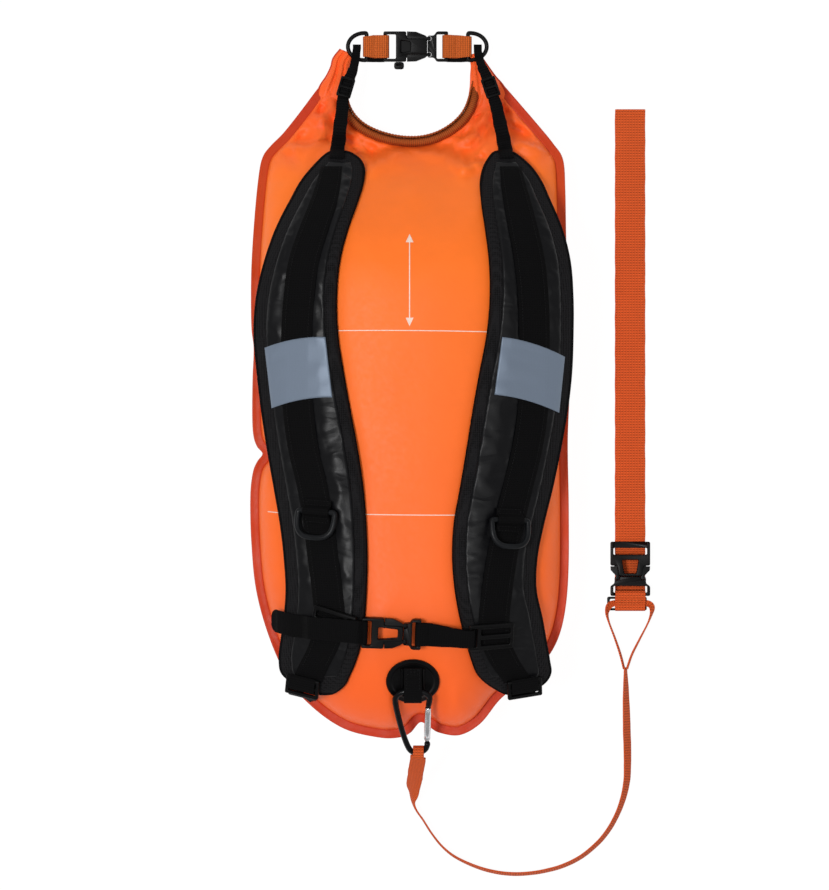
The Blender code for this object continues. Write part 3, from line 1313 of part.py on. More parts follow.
def strap_ring(side):
    share = STRAP_RING_SHARES[side]
    x, _ = strap_row(side, share)
    bar_lift = STRAP_RING_WIRE / 2 + SOFT_GAP
    frame = strap_frame(x, pad_y(share), STRAP_RING_TURN[side])
    box = (-KEEPER_WIDTH / 2, -KEEPER_REACH, KEEPER_WIDTH / 2, KEEPER_REACH)
    frame = seated(frame, box, harness_floor(side), bar_lift)
    parent = empty(f"strap_ring_{side}_frame", frame)
    ring = ring_outline(STRAP_RING_BAR, STRAP_RING_REACH, STRAP_RING_CORNER, 12)
    data = tube_mesh(f"strap_ring_{side}", ring, STRAP_RING_WIRE / 2, 8, closed=True)
    piece = finish(f"strap_ring_{side}", data, "plastic_grey", parent)
    piece.rotation_euler = (-STRAP_RING_REST, 0, 0)
    radius = STRAP_RING_WIRE / 2 + GAP + WEB_THICK / 2
    low = -bar_lift + GAP + WEB_THICK / 2
    foot = radius + KEEPER_FOOT
    path = [(-KEEPER_REACH, low), (-foot, low)]
    path += arc((0, 0), radius, *KEEPER_TURNS, 6)
    path += [(foot, low), (KEEPER_REACH, low)]
    points = [(0, y, z) for y, z in path]
    name = f"ring_keeper_{side}"
    data = ribbon_mesh(name, points, [(1, 0, 0)] * len(points), KEEPER_WIDTH, WEB_THICK)
    finish(name, data, "webbing_black", parent)


def sternum_slider_frame(side):
    share = STERNUM_SLIDER_SHARES[side]
    x, _ = strap_row(side, share)
    frame = strap_frame(x, pad_y(share), STERNUM_SLIDER_TURN[side])
    half, reach = STERNUM_SLIDER_WIDTH / 2, STERNUM_SLIDER_LENGTH / 2
    gap = STERNUM_SEAT + SLIDER_THICK / 2
    return seated(frame, (-half, -reach, half, reach), harness_floor(side), gap)


def sternum_strap():
    frames = {side: sternum_slider_frame(side) for side in ("left", "right")}
    for side, frame in frames.items():
        slider_plate(f"sternum_slider_{side}", empty(f"sternum_slider_{side}_frame", frame),
                     STERNUM_SLIDER_WIDTH, STERNUM_SLIDER_LENGTH, SLIDER_THICK, STERNUM_BAR,
                     STERNUM_RAIL, 1 if side == "left" else -1)
    size = BUCKLES["sternum"]
    share = STERNUM_SLIDER_SHARES["left"]
    x = strap_row("left", share)[0] + STERNUM_BUCKLE_OFFSET[0]
    y = pad_y(share) + STERNUM_BUCKLE_OFFSET[1]
    height = float(lying_height([(x, y)])[0])
    heading = Vector((math.cos(STERNUM_TURN), math.sin(STERNUM_TURN), 0))
    _, slope = slope_at(lying_height, x + size["length"] / 2, y)
    frame = frame_of((x, y, height), heading, (0, -slope, 1))
    half = size["width"] / 2
    floor = Floor("bag_body", "shoulder_pad_left", "shoulder_pad_right", "pad_cover_left",
                  "pad_cover_right")
    frame = seated(frame, (-half, -half, size["length"] + half, half), floor,
                   size["thick"] / 2 + SOFT_GAP)
    parent = empty("sternum_buckle_frame", frame)
    side_release("sternum", parent)

    radius = bar_wrap(size["plug_bar"])
    lie = WEB_THICK / 2 + GAP / 2
    to_buckle = frame.inverted()
    side_bar = STERNUM_SLIDER_WIDTH / 2 + SIDE_SLOT + SIDE_BAR / 2
    to_slider = to_buckle @ frames["right"]
    start = size["length"] - size["plug_bar"] / 2
    far = math.hypot(SIDE_BAR, SLIDER_THICK) / 2 + GAP + WRAP_EASE + WEB_THICK / 2
    turn = to_slider.to_3x3() @ Vector((0, 1, 0))
    taper = -side_bar - BAND_TAPER * far
    path = [(start + BAND_TAPER * radius, 0, lie), tuple(to_slider @ Vector((taper, 0, lie)))]
    path += [
        tuple(to_slider @ Vector((a - side_bar, 0, b))) for a, b in arc((0, 0), far, 90, -90)
    ]
    path += [tuple(to_slider @ Vector((taper, 0, -lie))), (start + BAND_TAPER * radius, 0, -lie)]
    near_end = [(a, 0, b) for a, b in arc((start, 0), radius, -90, -270)]
    across = [(0, 1, 0)] + [tuple(turn)] * (len(path) - 2) + [(0, 1, 0)] * (len(near_end) + 1)
    width = [STERNUM_WEB_WIDTH] + [STERNUM_RAIL_WEB_WIDTH] * (len(path) - 2)
    width += [STERNUM_WEB_WIDTH] * (len(near_end) + 1)
    path += near_end
    data = ribbon_mesh("sternum_webbing_right", path, across, width, WEB_THICK, closed=True)
    finish("sternum_webbing_right", data, "webbing_black", parent)

    radius = bar_wrap(size["bar"])
    bar = size["bar"] / 2
    path = [(bar - RETURN_REACH, 0, -radius / 2)]
    path += [(a, 0, z) for a, z in arc((bar, 0), radius, -90, 90)]
    across = [(0, 1, 0)] * len(path)
    floor = harness_floor("left", "sternum_slider_left", "bag_body")
    centre = frames["left"].translation
    inner_x = centre.x + side_bar + SIDE_BAR / 2 + TAIL_LEAD
    pad_centre, pad_half = pad_row("left", STERNUM_SLIDER_SHARES["left"])
    end_x = pad_centre - pad_half - TAIL_REACH
    half = STERNUM_WEB_WIDTH / 2
    rows = []
    for t in np.linspace(0, 1, TAIL_ROWS):
        x_here = inner_x + (end_x - inner_x) * t
        y_here = y + (TAIL_RISE - TAIL_SAG * math.sin(math.pi * t)) * t
        _, slope_y = slope_at(lying_height, x_here, y_here)
        z_here = float(lying_height([(x_here, y_here)])[0])
        rows.append([(x_here, y_here + a * half, z_here + a * half * slope_y) for a in (-1, 0, 1)])
    rows = np.array(rows)
    spots = rows[:, 1].copy()
    for _ in range(2):
        raised = lift_clear(rows, floor, TAIL_GAP) - rows
        rows[..., 2] += raised[..., 2].max(axis=1)[:, None]
    spots[:, 2] = rows[:, 1, 2] + WEB_THICK / 2
    tilts = rows[:, 2] - rows[:, 0]
    path += [tuple(to_buckle @ Vector(spot)) for spot in spots]
    across += [tuple(to_buckle.to_3x3() @ Vector(tilt)) for tilt in tilts]
    data = ribbon_mesh("sternum_webbing_left", path, across, STERNUM_WEB_WIDTH, WEB_THICK)
    finish("sternum_webbing_left", data, "webbing_black", parent)


def ladder_lock(side):
    x, y = LOCK_X_SHARES[side] * HALF_WIDTH, pad_y(LOCK_SHARES[side])
    frame = strap_frame(x, y, LOCK_TURN[side])
    half, reach = LOCK_WIDTH / 2, LOCK_LENGTH / 2
    frame = seated(frame, (-half, -reach, half, reach), harness_floor(side, "bag_body"),
                   GAP + LOCK_THICK / 2)
    parent = empty(f"ladder_lock_{side}_frame", frame)
    outline = rounded(box_corners(-half, -reach, half, reach), CORNER)
    middle = -LOCK_BAR / 2
    slots = [
        rounded(box_corners(LOCK_RAIL - half, middle + LOCK_BAR, half - LOCK_RAIL,
                            reach - LOCK_BAR), SLOT_CORNER, 1),
        rounded(box_corners(LOCK_RAIL - half, LOCK_BAR - reach, half - LOCK_RAIL, middle),
                SLOT_CORNER, 1),
    ]
    name = f"ladder_lock_{side}"
    finish(name, plate_mesh(name, [outline, *slots], LOCK_THICK, BUCKLE_BEVEL),
           "plastic_black", parent)

    start = frame @ Vector((0, LOWER_WEB_TUCK - reach, -LOCK_THICK / 2 - 2 * GAP - WEB_THICK / 2))
    seam = PLAIN_SEAM
    i = int(np.argmin(abs(seam[:, 0] - start.x) + (seam[:, 1] > 0) * BAG_LENGTH))
    tangent = seam[i + 1] - seam[i - 1]
    tangent = Vector((*tangent, 0)).normalized()
    if tangent.x < 0:
        tangent = -tangent
    landing = Vector((*seam[i], float(seam_height(seam[i][1]))))
    inward = Vector((-tangent.y, tangent.x, 0))
    landing += inward * SEAM_WIDTH / 2
    landing += Vector((0, 0, SEAM_THICK / 2 + 4 * GAP + WEB_THICK / 2))
    lock_x = (frame.to_3x3() @ Vector((1, 0, 0))).normalized()
    down = frame.to_3x3() @ Vector((0, -LOWER_WEB_BOW, -LOWER_WEB_BOW))
    a, b, c, d = start + down / 3, start + down, landing - inward * LANDING_BOW, landing
    path, across = [start], [lock_x]
    for t in np.linspace(0, 1, LOWER_WEB_ROWS):
        spot = (1 - t) ** 3 * a + 3 * (1 - t) ** 2 * t * b + 3 * (1 - t) * t**2 * c + t**3 * d
        turned = float(smoothstep((t - LOWER_WEB_TURN_SHARE) / (1 - LOWER_WEB_TURN_SHARE)))
        path.append(spot)
        across.append(lock_x.lerp(tangent, turned))
    name = f"lower_webbing_{side}"
    finish(name, ribbon_mesh(name, path, across, LOWER_WEB_WIDTH, WEB_THICK), "webbing_black")


def anchor():
    """The welded anchor disc, the webbing loop on it, and the carabiner through the loop."""
    x, y = at(ANCHOR_SHARE)
    _, slope = slope_at(bag_top, x, y)
    squeeze = 1 / math.sqrt(1 + slope**2)
    radius = ANCHOR_DIAMETER / 2
    n = ANCHOR_SIDES
    turns = [2 * math.pi * k / n for k in range(n + 1)]
    grid = np.array([
        [(x + radius * share * math.cos(t), y + radius * share * math.sin(t) * squeeze, 0)
         for t in turns] for share in (0, *ANCHOR_RADIUS_SHARES)
    ])
    grid[..., 2] = bag_top(grid[..., :2].reshape(-1, 2)).reshape(grid.shape[:2]) + GAP
    grid = lift_clear(grid, Floor("bag_body"), GAP)
    grid[:, 0, 2] = np.maximum(grid[:, 0, 2], grid[:, -1, 2])
    flat = [(x, y)]
    base = [grid[0, :, 2].max()]
    shares = [0.0]
    for share, ring in zip(ANCHOR_RADIUS_SHARES, grid[1:]):
        flat += [(p[0], p[1]) for p in ring[:-1]]
        base += [p[2] for p in ring[:-1]]
        shares += [share] * n
    count = len(flat)
    edge_at = ANCHOR_RADIUS_SHARES[2]
    points = []
    for (a, b), z, share in zip(flat, base, shares):
        thin = smoothstep((share - edge_at) / (1 - edge_at) * 2)
        points.append((a, b, z + ANCHOR_THICK + (ANCHOR_RIM - ANCHOR_THICK) * float(thin)))
    points += [(a, b, z) for (a, b), z in zip(flat, base)]
    faces = []
    for k in range(n):
        m = (k + 1) % n
        faces.append((0, 1 + k, 1 + m))
        faces.append((count, count + 1 + m, count + 1 + k))
        for ring in range(len(ANCHOR_RADIUS_SHARES) - 1):
            a, b = 1 + ring * n, 1 + (ring + 1) * n
            faces.append((a + k, b + k, b + m, a + m))
            faces.append((count + a + k, count + a + m, count + b + m, count + b + k))
        last = 1 + (len(ANCHOR_RADIUS_SHARES) - 1) * n
        faces.append((last + k, count + last + k, count + last + m, last + m))
    finish("anchor_disc", mesh_of("anchor_disc", points, faces), "plastic_black")

    up = Vector((0, -slope, 1)).normalized()
    surface = Vector((x, y, float(bag_top([(x, y)])[0])))
    frame = frame_of(surface, (1, 0, 0), up)
    box = (-LOOP_WIDTH / 2, -LOOP_TOP, LOOP_WIDTH / 2, LOOP_TOP)
    frame = seated(frame, box, Floor("anchor_disc", "bag_body"), 0)
    parent = empty("anchor_loop_frame", frame)
    lie = LOOP_SEAT + WEB_THICK / 2
    wire = CARABINER_WIRE / 2
    high = lie + WEB_THICK + 2 * SOFT_GAP + 2 * wire
    turn_y, bend = -LOOP_DROP, (high - lie) / 2
    middle = (LOOP_TOP - LOOP_SEWN - LOOP_DROP / 2) / 2
    path = [(LOOP_TOP, lie + LOOP_LIFT), (LOOP_TOP - LOOP_SEWN, lie + LOOP_LIFT),
            (middle, (lie + high) / 2 + LOOP_LIFT / 2), (-LOOP_DROP / 2, high)]
    path += arc((turn_y, lie + bend), bend, 90, 270, 8)
    path += [(-LOOP_DROP / 2, lie), (0, lie), (LOOP_TOP - LOOP_SEWN, lie)]
    points = [(0, a, b) for a, b in path]
    data = ribbon_mesh("anchor_loop", points, [(1, 0, 0)] * len(points), LOOP_WIDTH, WEB_THICK)
    finish("anchor_loop", data, "webbing_black", parent)

    bar_y = -(LOOP_DROP - LOOP_BAR_UP)
    bar = frame @ Vector((0, bar_y, lie + bend))
    lean = frame_of(
        bar, (1, 0, 0), (0, -math.sin(CARABINER_SLOPE), math.cos(CARABINER_SLOPE))
    )
    carabiner(empty("carabiner_frame", lean))


def carabiner_spot(share):
    length = CARABINER_LENGTH - CARABINER_WIRE
    return share[0] * CARABINER_BROAD / 2, share[1] * length


def carabiner_path():
    """The middle line of the open carabiner, from its nose round to the gate's hinge."""
    return smooth_path([carabiner_spot(share) for share in CARABINER_SHARES], 2)


def carabiner(parent):
    path = carabiner_path()
    hinge, nose = carabiner_spot(GATE_HINGE_SHARE), carabiner_spot(GATE_TOP_SHARE)
    data = tube_mesh("carabiner", path, CARABINER_WIRE / 2, 8)
    body = finish("carabiner", data, "anodised_black", parent)
    tang_half = TANG_WIDTH / 2
    tang = rounded(
        box_corners(hinge[0] - tang_half, path[-1][1] - tang_half, hinge[0] + tang_half,
                    hinge[1] + tang_half), tang_half, 3,
    )
    cut(body, "carabiner_tang", plate_mesh("carabiner_tang", [tang], TANG_THICK, TANG_BEVEL),
        "UNION")
    hole = PIN_DIAMETER / 2 + PIN_CLEARANCE
    cut(body, "carabiner_pin_hole",
        disc_mesh("carabiner_pin_hole", hole, CARABINER_WIRE, hinge, 12))

    gate_radius = GATE_DIAMETER / 2
    lean = Vector((nose[0] - hinge[0], nose[1] - hinge[1], 0))
    low = -TANG_WIDTH / 2
    path = [tuple(lean.normalized() * step) for step in (low, 0, lean.length / 2, lean.length)]
    data = tube_mesh("carabiner_gate", path, gate_radius, 12)
    gate = finish("carabiner_gate", data, "bright_metal", parent, (*hinge, 0))
    slot_top = tang_half + GATE_SLOT_EASE
    slot = block_mesh(
        "gate_slot", (-gate_radius - OVERRUN, low - OVERRUN, -TANG_THICK / 2 - GAP),
        (gate_radius + OVERRUN, slot_top, TANG_THICK / 2 + GAP),
    )
    cut(gate, "gate_slot", slot)
    cut(gate, "gate_pin_hole", disc_mesh("gate_pin_hole", hole, GATE_DIAMETER, (0, 0), 12))
    pin = disc_mesh("gate_pin", PIN_DIAMETER / 2, gate_radius - PIN_SHORT, (0, 0), 12)
    finish("gate_pin", pin, "bright_metal", parent, (*hinge, 0))


def laid_ribbon(name, route):
    """Webbing along a hand-laid route, its width turned from level by each point's angle."""
    route = smooth_path(route, ROUTE_STEPS)
    path, turn = route[:, :3] * ROUTE_UNIT, route[:, 3] * DEG
    along = np.gradient(path, axis=0)
    along[:, 2] = 0
    along /= np.linalg.norm(along, axis=1)[:, None]
    level = np.column_stack([-along[:, 1], along[:, 0], np.zeros(len(path))])
    across = level * np.cos(turn)[:, None]
    across[:, 2] += np.sin(turn)
    share = route[:, 4] if route.shape[1] > 4 else 1
    return ribbon_mesh(name, path, across, LEASH_WIDTH * share, WEB_THICK)


def leash():
    finish("leash", laid_ribbon("leash", LEASH_ROUTE), "belt_orange")
    finish("leash_eye", laid_ribbon("leash_eye", EYE_ROUTE), "belt_orange")
    parent = bpy.data.objects["carabiner_frame"]
    path = carabiner_path()
    x, y = path[np.argmin(path[:, 1])]
    radius = CARABINER_WIRE / 2 + HITCH_EASE + WEB_THICK / 2
    points = [(x, y + a, b) for a, b in arc((0, 0), radius, *HITCH_TURNS, 11)]
    data = ribbon_mesh("leash_hitch", points, [(1, 0, 0)] * len(points), HITCH_WIDTH, WEB_THICK)
    finish("leash_hitch", data, "belt_orange", parent)


def belt_path():
    """(y, z) of the belt's webbing, from its end under the socket round both folds."""
    size = BUCKLES["belt"]
    start, z = BELT_BUCKLE_Y, BELT_BUCKLE_HEIGHT
    half = WEB_THICK / 2
    back = GAP + half
    front = back + WEB_THICK + BELT_LAYER_GAP
    fold = (front - back) / 2
    under_bar = z - BUCKLE_BAR_THICK / 2 - GAP - half - BELT_EASE
    inner = start - size["slot"] + WEB_THICK
    outer = start - size["bar"]
    path = [
        (inner, z), (inner + 1.6 * half, z - WEB_THICK), (outer - WEB_THICK, under_bar + BELT_EASE),
        (outer + WEB_THICK, under_bar), (start, under_bar - BELT_EASE),
        (start + BELT_LEAD, (under_bar + front) / 2), (start + 2.5 * BELT_LEAD, front),
        (BELT_TOP - fold, front),
    ]
    path += arc((BELT_TOP - fold, back + fold), fold, 90, -90, 6)[1:]
    over_glide = GAP + GLIDE_THICK + GAP + half
    glide_top = BELT_FOOT + GLIDE_LENGTH + half
    top_layer = over_glide + 2 * (WEB_THICK + BELT_LAYER_GAP)
    bend = (top_layer - over_glide) / 2
    path += [
        (start, back), (glide_top + 3 * BELT_DROP, back), (glide_top + BELT_DROP, over_glide
         - BELT_DROP), (glide_top - half, over_glide),
    ]
    path += arc((BELT_FOOT + bend, over_glide + bend), bend, 270, 90, 6)
    plug_bar = start - size["length"] + size["plug_bar"] / 2
    wrap_radius = bar_wrap(size["plug_bar"])
    path += [(plug_bar - 3 * wrap_radius, top_layer + BELT_EASE)]
    path += arc((plug_bar, z), wrap_radius, 125, -75, 9)
    return path


def waist_belt():
    points = [(BELT_X, y, z) for y, z in belt_path()]
    data = ribbon_mesh("belt_webbing", points, [(1, 0, 0)] * len(points), BELT_WIDTH, WEB_THICK)
    finish("belt_webbing", data, "belt_orange")
    frame = frame_of((BELT_X, BELT_BUCKLE_Y, BELT_BUCKLE_HEIGHT), (0, -1, 0), (0, 0, 1))
    side_release("belt", empty("belt_buckle_frame", frame))
    centre = (BELT_X - GLIDE_SHIFT, BELT_FOOT + GLIDE_LENGTH / 2, GAP + GLIDE_THICK / 2)
    frame = frame_of(centre, (1, 0, 0), (0, 0, 1))
    slider_plate("belt_glide", empty("belt_glide_frame", frame), GLIDE_WIDTH, GLIDE_LENGTH,
                 GLIDE_THICK, GLIDE_BAR, GLIDE_RAIL)


def valve():
    """An oral inflation valve, welded to the front where it curves up off the floor."""
    x, y = at(VALVE_SHARE)
    slope_x, slope_y = slope_at(bag_under, x, y)
    out = Vector((slope_x, slope_y, -1)).normalized()
    surface = Vector((x, y, float(bag_under([(x, y)])[0])))
    frame = frame_of(surface + out * VALVE_GAP, (0, 1, 0), out)
    parent = empty("valve_frame", frame)

    radius = VALVE_DIAMETER / 2
    turns = [2 * math.pi * k / VALVE_SIDES for k in range(VALVE_SIDES)]
    boss, bore = VALVE_BOSS / 2, VALVE_BORE / 2
    outer, under = [], []
    for t in turns:
        spot = frame @ Vector((radius * math.cos(t), radius * math.sin(t), 0))
        base = Vector((spot.x, spot.y, float(bag_under([(spot.x, spot.y)])[0])))
        depth = (frame.inverted() @ base).z + VALVE_GAP
        under.append((radius * math.cos(t), radius * math.sin(t), depth))
        outer.append((radius * math.cos(t), radius * math.sin(t), depth + VALVE_FLANGE))
    rings = [
        under, outer,
        [(boss * math.cos(t), boss * math.sin(t), VALVE_FLANGE) for t in turns],
        [(boss * math.cos(t), boss * math.sin(t), VALVE_BOSS_HEIGHT) for t in turns],
        [(bore * math.cos(t), bore * math.sin(t), VALVE_BOSS_HEIGHT) for t in turns],
        [(bore * math.cos(t), bore * math.sin(t), VALVE_FLANGE) for t in turns],
    ]
    points = [p for ring in rings for p in ring] + [(0, 0, 0), (0, 0, VALVE_FLANGE)]
    n = VALVE_SIDES
    faces = []
    for k in range(n):
        m = (k + 1) % n
        for r in range(len(rings) - 1):
            a, b = r * n, (r + 1) * n
            faces.append((a + k, a + m, b + m, b + k))
        faces.append((len(rings) * n, m, k))
        last = (len(rings) - 1) * n
        faces.append((len(rings) * n + 1, last + k, last + m))
    finish("valve_base", mesh_of("valve_base", points, faces), "valve_grey", parent)

    stem_foot = VALVE_FLANGE + GAP
    stem_top = STEM_HEIGHT
    finish("valve_stem", lathe("valve_stem", [
        (0, stem_foot), (bore - GAP, stem_foot), (bore - GAP, stem_top),
        (STEM_BORE, stem_top), (STEM_BORE, stem_foot + STEM_FLOOR), (0, stem_foot + STEM_FLOOR),
    ]), "valve_grey", parent)
    cap = VALVE_CAP / 2
    foot = VALVE_BOSS_HEIGHT + GAP
    finish("valve_cap", lathe("valve_cap", [
        (bore, foot), (cap, foot), (cap, foot + VALVE_CAP_HEIGHT - CAP_CHAMFER),
        (cap - CAP_CHAMFER, foot + VALVE_CAP_HEIGHT), (0, foot + VALVE_CAP_HEIGHT),
        (0, stem_top + GAP), (bore, stem_top + GAP),
    ]), "plastic_black", parent)


def lathe(name, profile):
    """A turned solid about Z from (radius, height) points that start and end on the axis,
    or that close on themselves when the last point joins the first."""
    points, faces, rings = [], [], []
    for radius, height in profile:
        if radius == 0:
            rings.append([len(points)] * VALVE_SIDES)
            points.append((0, 0, height))
        else:
            rings.append(list(range(len(points), len(points) + VALVE_SIDES)))
            points += [
                (radius * math.cos(2 * math.pi * k / VALVE_SIDES),
                 radius * math.sin(2 * math.pi * k / VALVE_SIDES), height)
                for k in range(VALVE_SIDES)
            ]
    pairs = list(zip(rings, rings[1:]))
    if profile[0][0] > 0:
        pairs.append((rings[-1], rings[0]))
    for a, b in pairs:
        if len(set(a)) == 1 and len(set(b)) == 1:
            continue
        for k in range(VALVE_SIDES):
            m = (k + 1) % VALVE_SIDES
            face = []
            for i in (a[k], a[m], b[m], b[k]):
                if i not in face:
                    face.append(i)
            faces.append(tuple(face))
    return mesh_of(name, points, faces)


def main():
    for obj in list(bpy.data.objects):
        bpy.data.objects.remove(obj)
    make_materials()
    bag_body()
    welded_seam()
    roll_top()
    closure_strap()
    whistle()
    for side in ("left", "right"):
        shoulder_strap(side)
        load_strap(side)
        strap_ring(side)
        ladder_lock(side)
    sternum_strap()
    anchor()
    leash()
    waist_belt()
    valve()


main()
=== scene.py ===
import math

import bmesh
import bpy
import numpy as np
from mathutils import Matrix, Vector, noise
from mathutils.bvhtree import BVHTree
from mathutils.geometry import delaunay_2d_cdt


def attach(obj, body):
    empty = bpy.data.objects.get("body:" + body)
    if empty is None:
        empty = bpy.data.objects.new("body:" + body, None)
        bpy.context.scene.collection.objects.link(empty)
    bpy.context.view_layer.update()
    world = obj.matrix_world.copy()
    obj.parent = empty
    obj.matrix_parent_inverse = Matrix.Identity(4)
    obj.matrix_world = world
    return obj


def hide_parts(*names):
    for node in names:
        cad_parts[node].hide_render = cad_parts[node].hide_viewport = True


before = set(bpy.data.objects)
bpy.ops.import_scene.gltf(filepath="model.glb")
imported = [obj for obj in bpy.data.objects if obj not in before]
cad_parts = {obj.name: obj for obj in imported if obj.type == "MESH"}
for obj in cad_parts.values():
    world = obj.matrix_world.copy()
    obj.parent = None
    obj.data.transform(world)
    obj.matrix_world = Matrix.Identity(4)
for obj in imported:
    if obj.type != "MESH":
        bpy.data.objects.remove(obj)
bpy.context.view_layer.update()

MM = 0.001
DEG = math.pi / 180

# Clearances
GAP = 0.3 * MM  # between rigid pieces that touch
SOFT_GAP = 0.5 * MM  # between a soft layer and what it lies on
WELD = 0.001 * MM
SKY = 1000 * MM  # a height above everything
FACET_SPOTS = np.linspace(0, 1, 9)  # where a facet is tested against what lies below
SEAT_SPOTS = 9
SLOPE_STEP = 4 * MM
CHUNK = 1500  # points worked on at a time

# Bag
BAG_WIDTH = 303 * MM
BAG_LENGTH = 656 * MM
SEAM_HEIGHT = 72 * MM  # of the welded seam above the floor
BAG_RISE = 78 * MM  # of the harness side above the seam
BAG_DROP = 76 * MM  # of the front below the seam, before the floor flattens it
PILLOW_REACH = 135 * MM  # in from the seam to where the bag is at full height
NECK_DROP = 56 * MM  # how far the mouth sags below the rest of the seam
NECK_SHARES = (0.25, 1.0)  # of the half length: where that sag begins and ends
THIN_SHARES = (0.36, 0.92)  # of the half length: where the bag thins towards its mouth
MOUTH_THIN_SHARE = 0.82
LYING_SLOPE = 0.55  # the steepest that a stiff layer lies on the bag
SEAM_WIDTH = 8 * MM
SEAM_THICK = 1.4 * MM
RING_KEEP_SHARE = 0.93
ROW_SHARE = 0.87

# The bag's seam, from the left of the mouth round the foot to the right of the mouth
SEAM_SHARES = (
    (-0.560, 0.905), (-0.610, 0.875), (-0.693, 0.823), (-0.800, 0.760), (-0.880, 0.722),
    (-0.930, 0.690), (-0.955, 0.640), (-0.980, 0.520), (-1.000, 0.360), (-1.000, 0.200),
    (-0.985, 0.130), (-0.992, 0.040), (-0.994, -0.070), (-0.986, -0.125), (-0.964, -0.155),
    (-0.930, -0.176), (-0.962, -0.198), (-0.990, -0.230), (-1.006, -0.300), (-1.000, -0.430),
    (-0.970, -0.570), (-0.890, -0.705), (-0.768, -0.830), (-0.618, -0.910), (-0.420, -0.973),
    (-0.200, -0.999), (-0.070, -0.999), (0.000, -0.985), (0.060, -0.955), (0.115, -0.967),
    (0.180, -0.985), (0.310, -0.992), (0.440, -0.958), (0.560, -0.890), (0.690, -0.840),
    (0.820, -0.790), (0.915, -0.725), (0.968, -0.640), (0.992, -0.520), (0.994, -0.330),
    (0.988, -0.140), (1.000, 0.020), (0.998, 0.200), (0.980, 0.430), (0.975, 0.590),
    (0.962, 0.680), (0.900, 0.728), (0.800, 0.785), (0.690, 0.845), (0.610, 0.888),
    (0.572, 0.908),
)
SIDE_NOTCH = (14, 15, 16)  # rows of the seam that pinch in at the left
FOOT_NOTCH = (27, 28, 29)  # rows of the seam that pinch in at the foot
SEAM_STEPS = 2  # faces from one row of the seam to the next

# Roll top: the mouth's edge, from the left closure ring down round the handle gap and up again
MOUTH_SHARES = (
    (-0.400, 0.950), (-0.400, 0.905), (-0.390, 0.850), (-0.340, 0.808), (-0.255, 0.777),
    (-0.115, 0.754), (0.035, 0.748), (0.160, 0.761), (0.273, 0.793), (0.345, 0.836),
    (0.380, 0.893), (0.396, 0.925), (0.404, 0.945),
)
MOUTH_STEPS = 2
WEB_THICK = 1.4 * MM  # of every webbing
BAND_TAPER = 2.6
WRAP_EASE = 0.2 * MM
MOUTH_WEB_DEPTH = 25 * MM
ROLL_THICK = 7 * MM
ROLL_END_THICK = 12 * MM
ROLL_END_SHARE = 0.12  # of the roll's length, at each end, over which it thickens
ROLL_DEPTH = 27 * MM

# Closure strap across the mouth
CLOSURE_REACH = 4 * MM  # of the strap's middle past the bag's end
CLOSURE_HEIGHT = 16 * MM
CLOSURE_WEB_WIDTH = 22 * MM
CLOSURE_RING_WEB_WIDTH = 19.5 * MM
CLOSURE_RING_BAR = 26 * MM  # between the corners of the ring's straight bar
CLOSURE_RING_REACH = 18 * MM
CLOSURE_WIRE = 4 * MM
CLOSURE_RING_CORNER = 2.2 * MM
CLOSURE_RING_LEFT_X = -42 * MM  # of the straight bar
CLOSURE_RING_RIGHT_X = 55 * MM
CLOSURE_BUCKLE_X = -26 * MM  # of the socket's outer end

# Shoulder straps: (share of the pad's length from its top, centre and half width)
PAD_LENGTH_SHARE = 0.785061  # of the bag's length
PAD_LENGTH = PAD_LENGTH_SHARE * BAG_LENGTH
PAD_TOP_SHARE = 0.701  # of the bag's half length
PAD_WIDTH = 84 * MM
PAD_THICK = 9 * MM
PAD_EDGE = 3.2 * MM
PAD_CROWN = 13 * MM  # in from the pad's edge to its full thickness
PAD_SHARES = {
    "left": (
        (0.000, -0.452, 0.200), (0.010, -0.442, 0.380), (0.025, -0.448, 0.536),
        (0.050, -0.482, 0.670), (0.090, -0.538, 0.746), (0.140, -0.610, 0.795),
        (0.200, -0.673, 0.830), (0.270, -0.712, 0.888), (0.340, -0.716, 0.930),
        (0.410, -0.688, 0.958), (0.480, -0.653, 0.984), (0.550, -0.613, 0.998),
        (0.620, -0.574, 0.985), (0.690, -0.544, 0.946), (0.750, -0.529, 0.915),
        (0.810, -0.526, 0.886), (0.860, -0.538, 0.888), (0.900, -0.557, 0.890),
        (0.940, -0.582, 0.845), (0.965, -0.590, 0.740), (0.985, -0.560, 0.500),
        (1.000, -0.533, 0.160),
    ),
    "right": (
        (0.000, 0.582, 0.200), (0.010, 0.592, 0.330), (0.025, 0.605, 0.490),
        (0.050, 0.625, 0.649), (0.090, 0.658, 0.757), (0.140, 0.705, 0.845),
        (0.200, 0.744, 0.895), (0.270, 0.757, 0.918), (0.340, 0.747, 0.955),
        (0.410, 0.720, 1.020), (0.480, 0.685, 1.048), (0.550, 0.645, 1.040),
        (0.620, 0.600, 1.022), (0.690, 0.550, 0.990), (0.750, 0.526, 0.932),
        (0.810, 0.532, 0.893), (0.860, 0.566, 0.905), (0.900, 0.596, 0.885),
        (0.940, 0.628, 0.855), (0.965, 0.650, 0.800), (0.985, 0.660, 0.560),
        (1.000, 0.650, 0.200),
    ),
}
COVER_INSET = 11 * MM
COVER_THICK = 0.8 * MM
COVER_EDGE_SHARE = 0.5  # of the pad's half width, where the pad is narrow
STRAP_WIDTH = 29 * MM
STRAP_SPAN_SHARES = (0.028, 0.980)  # of the pad's length
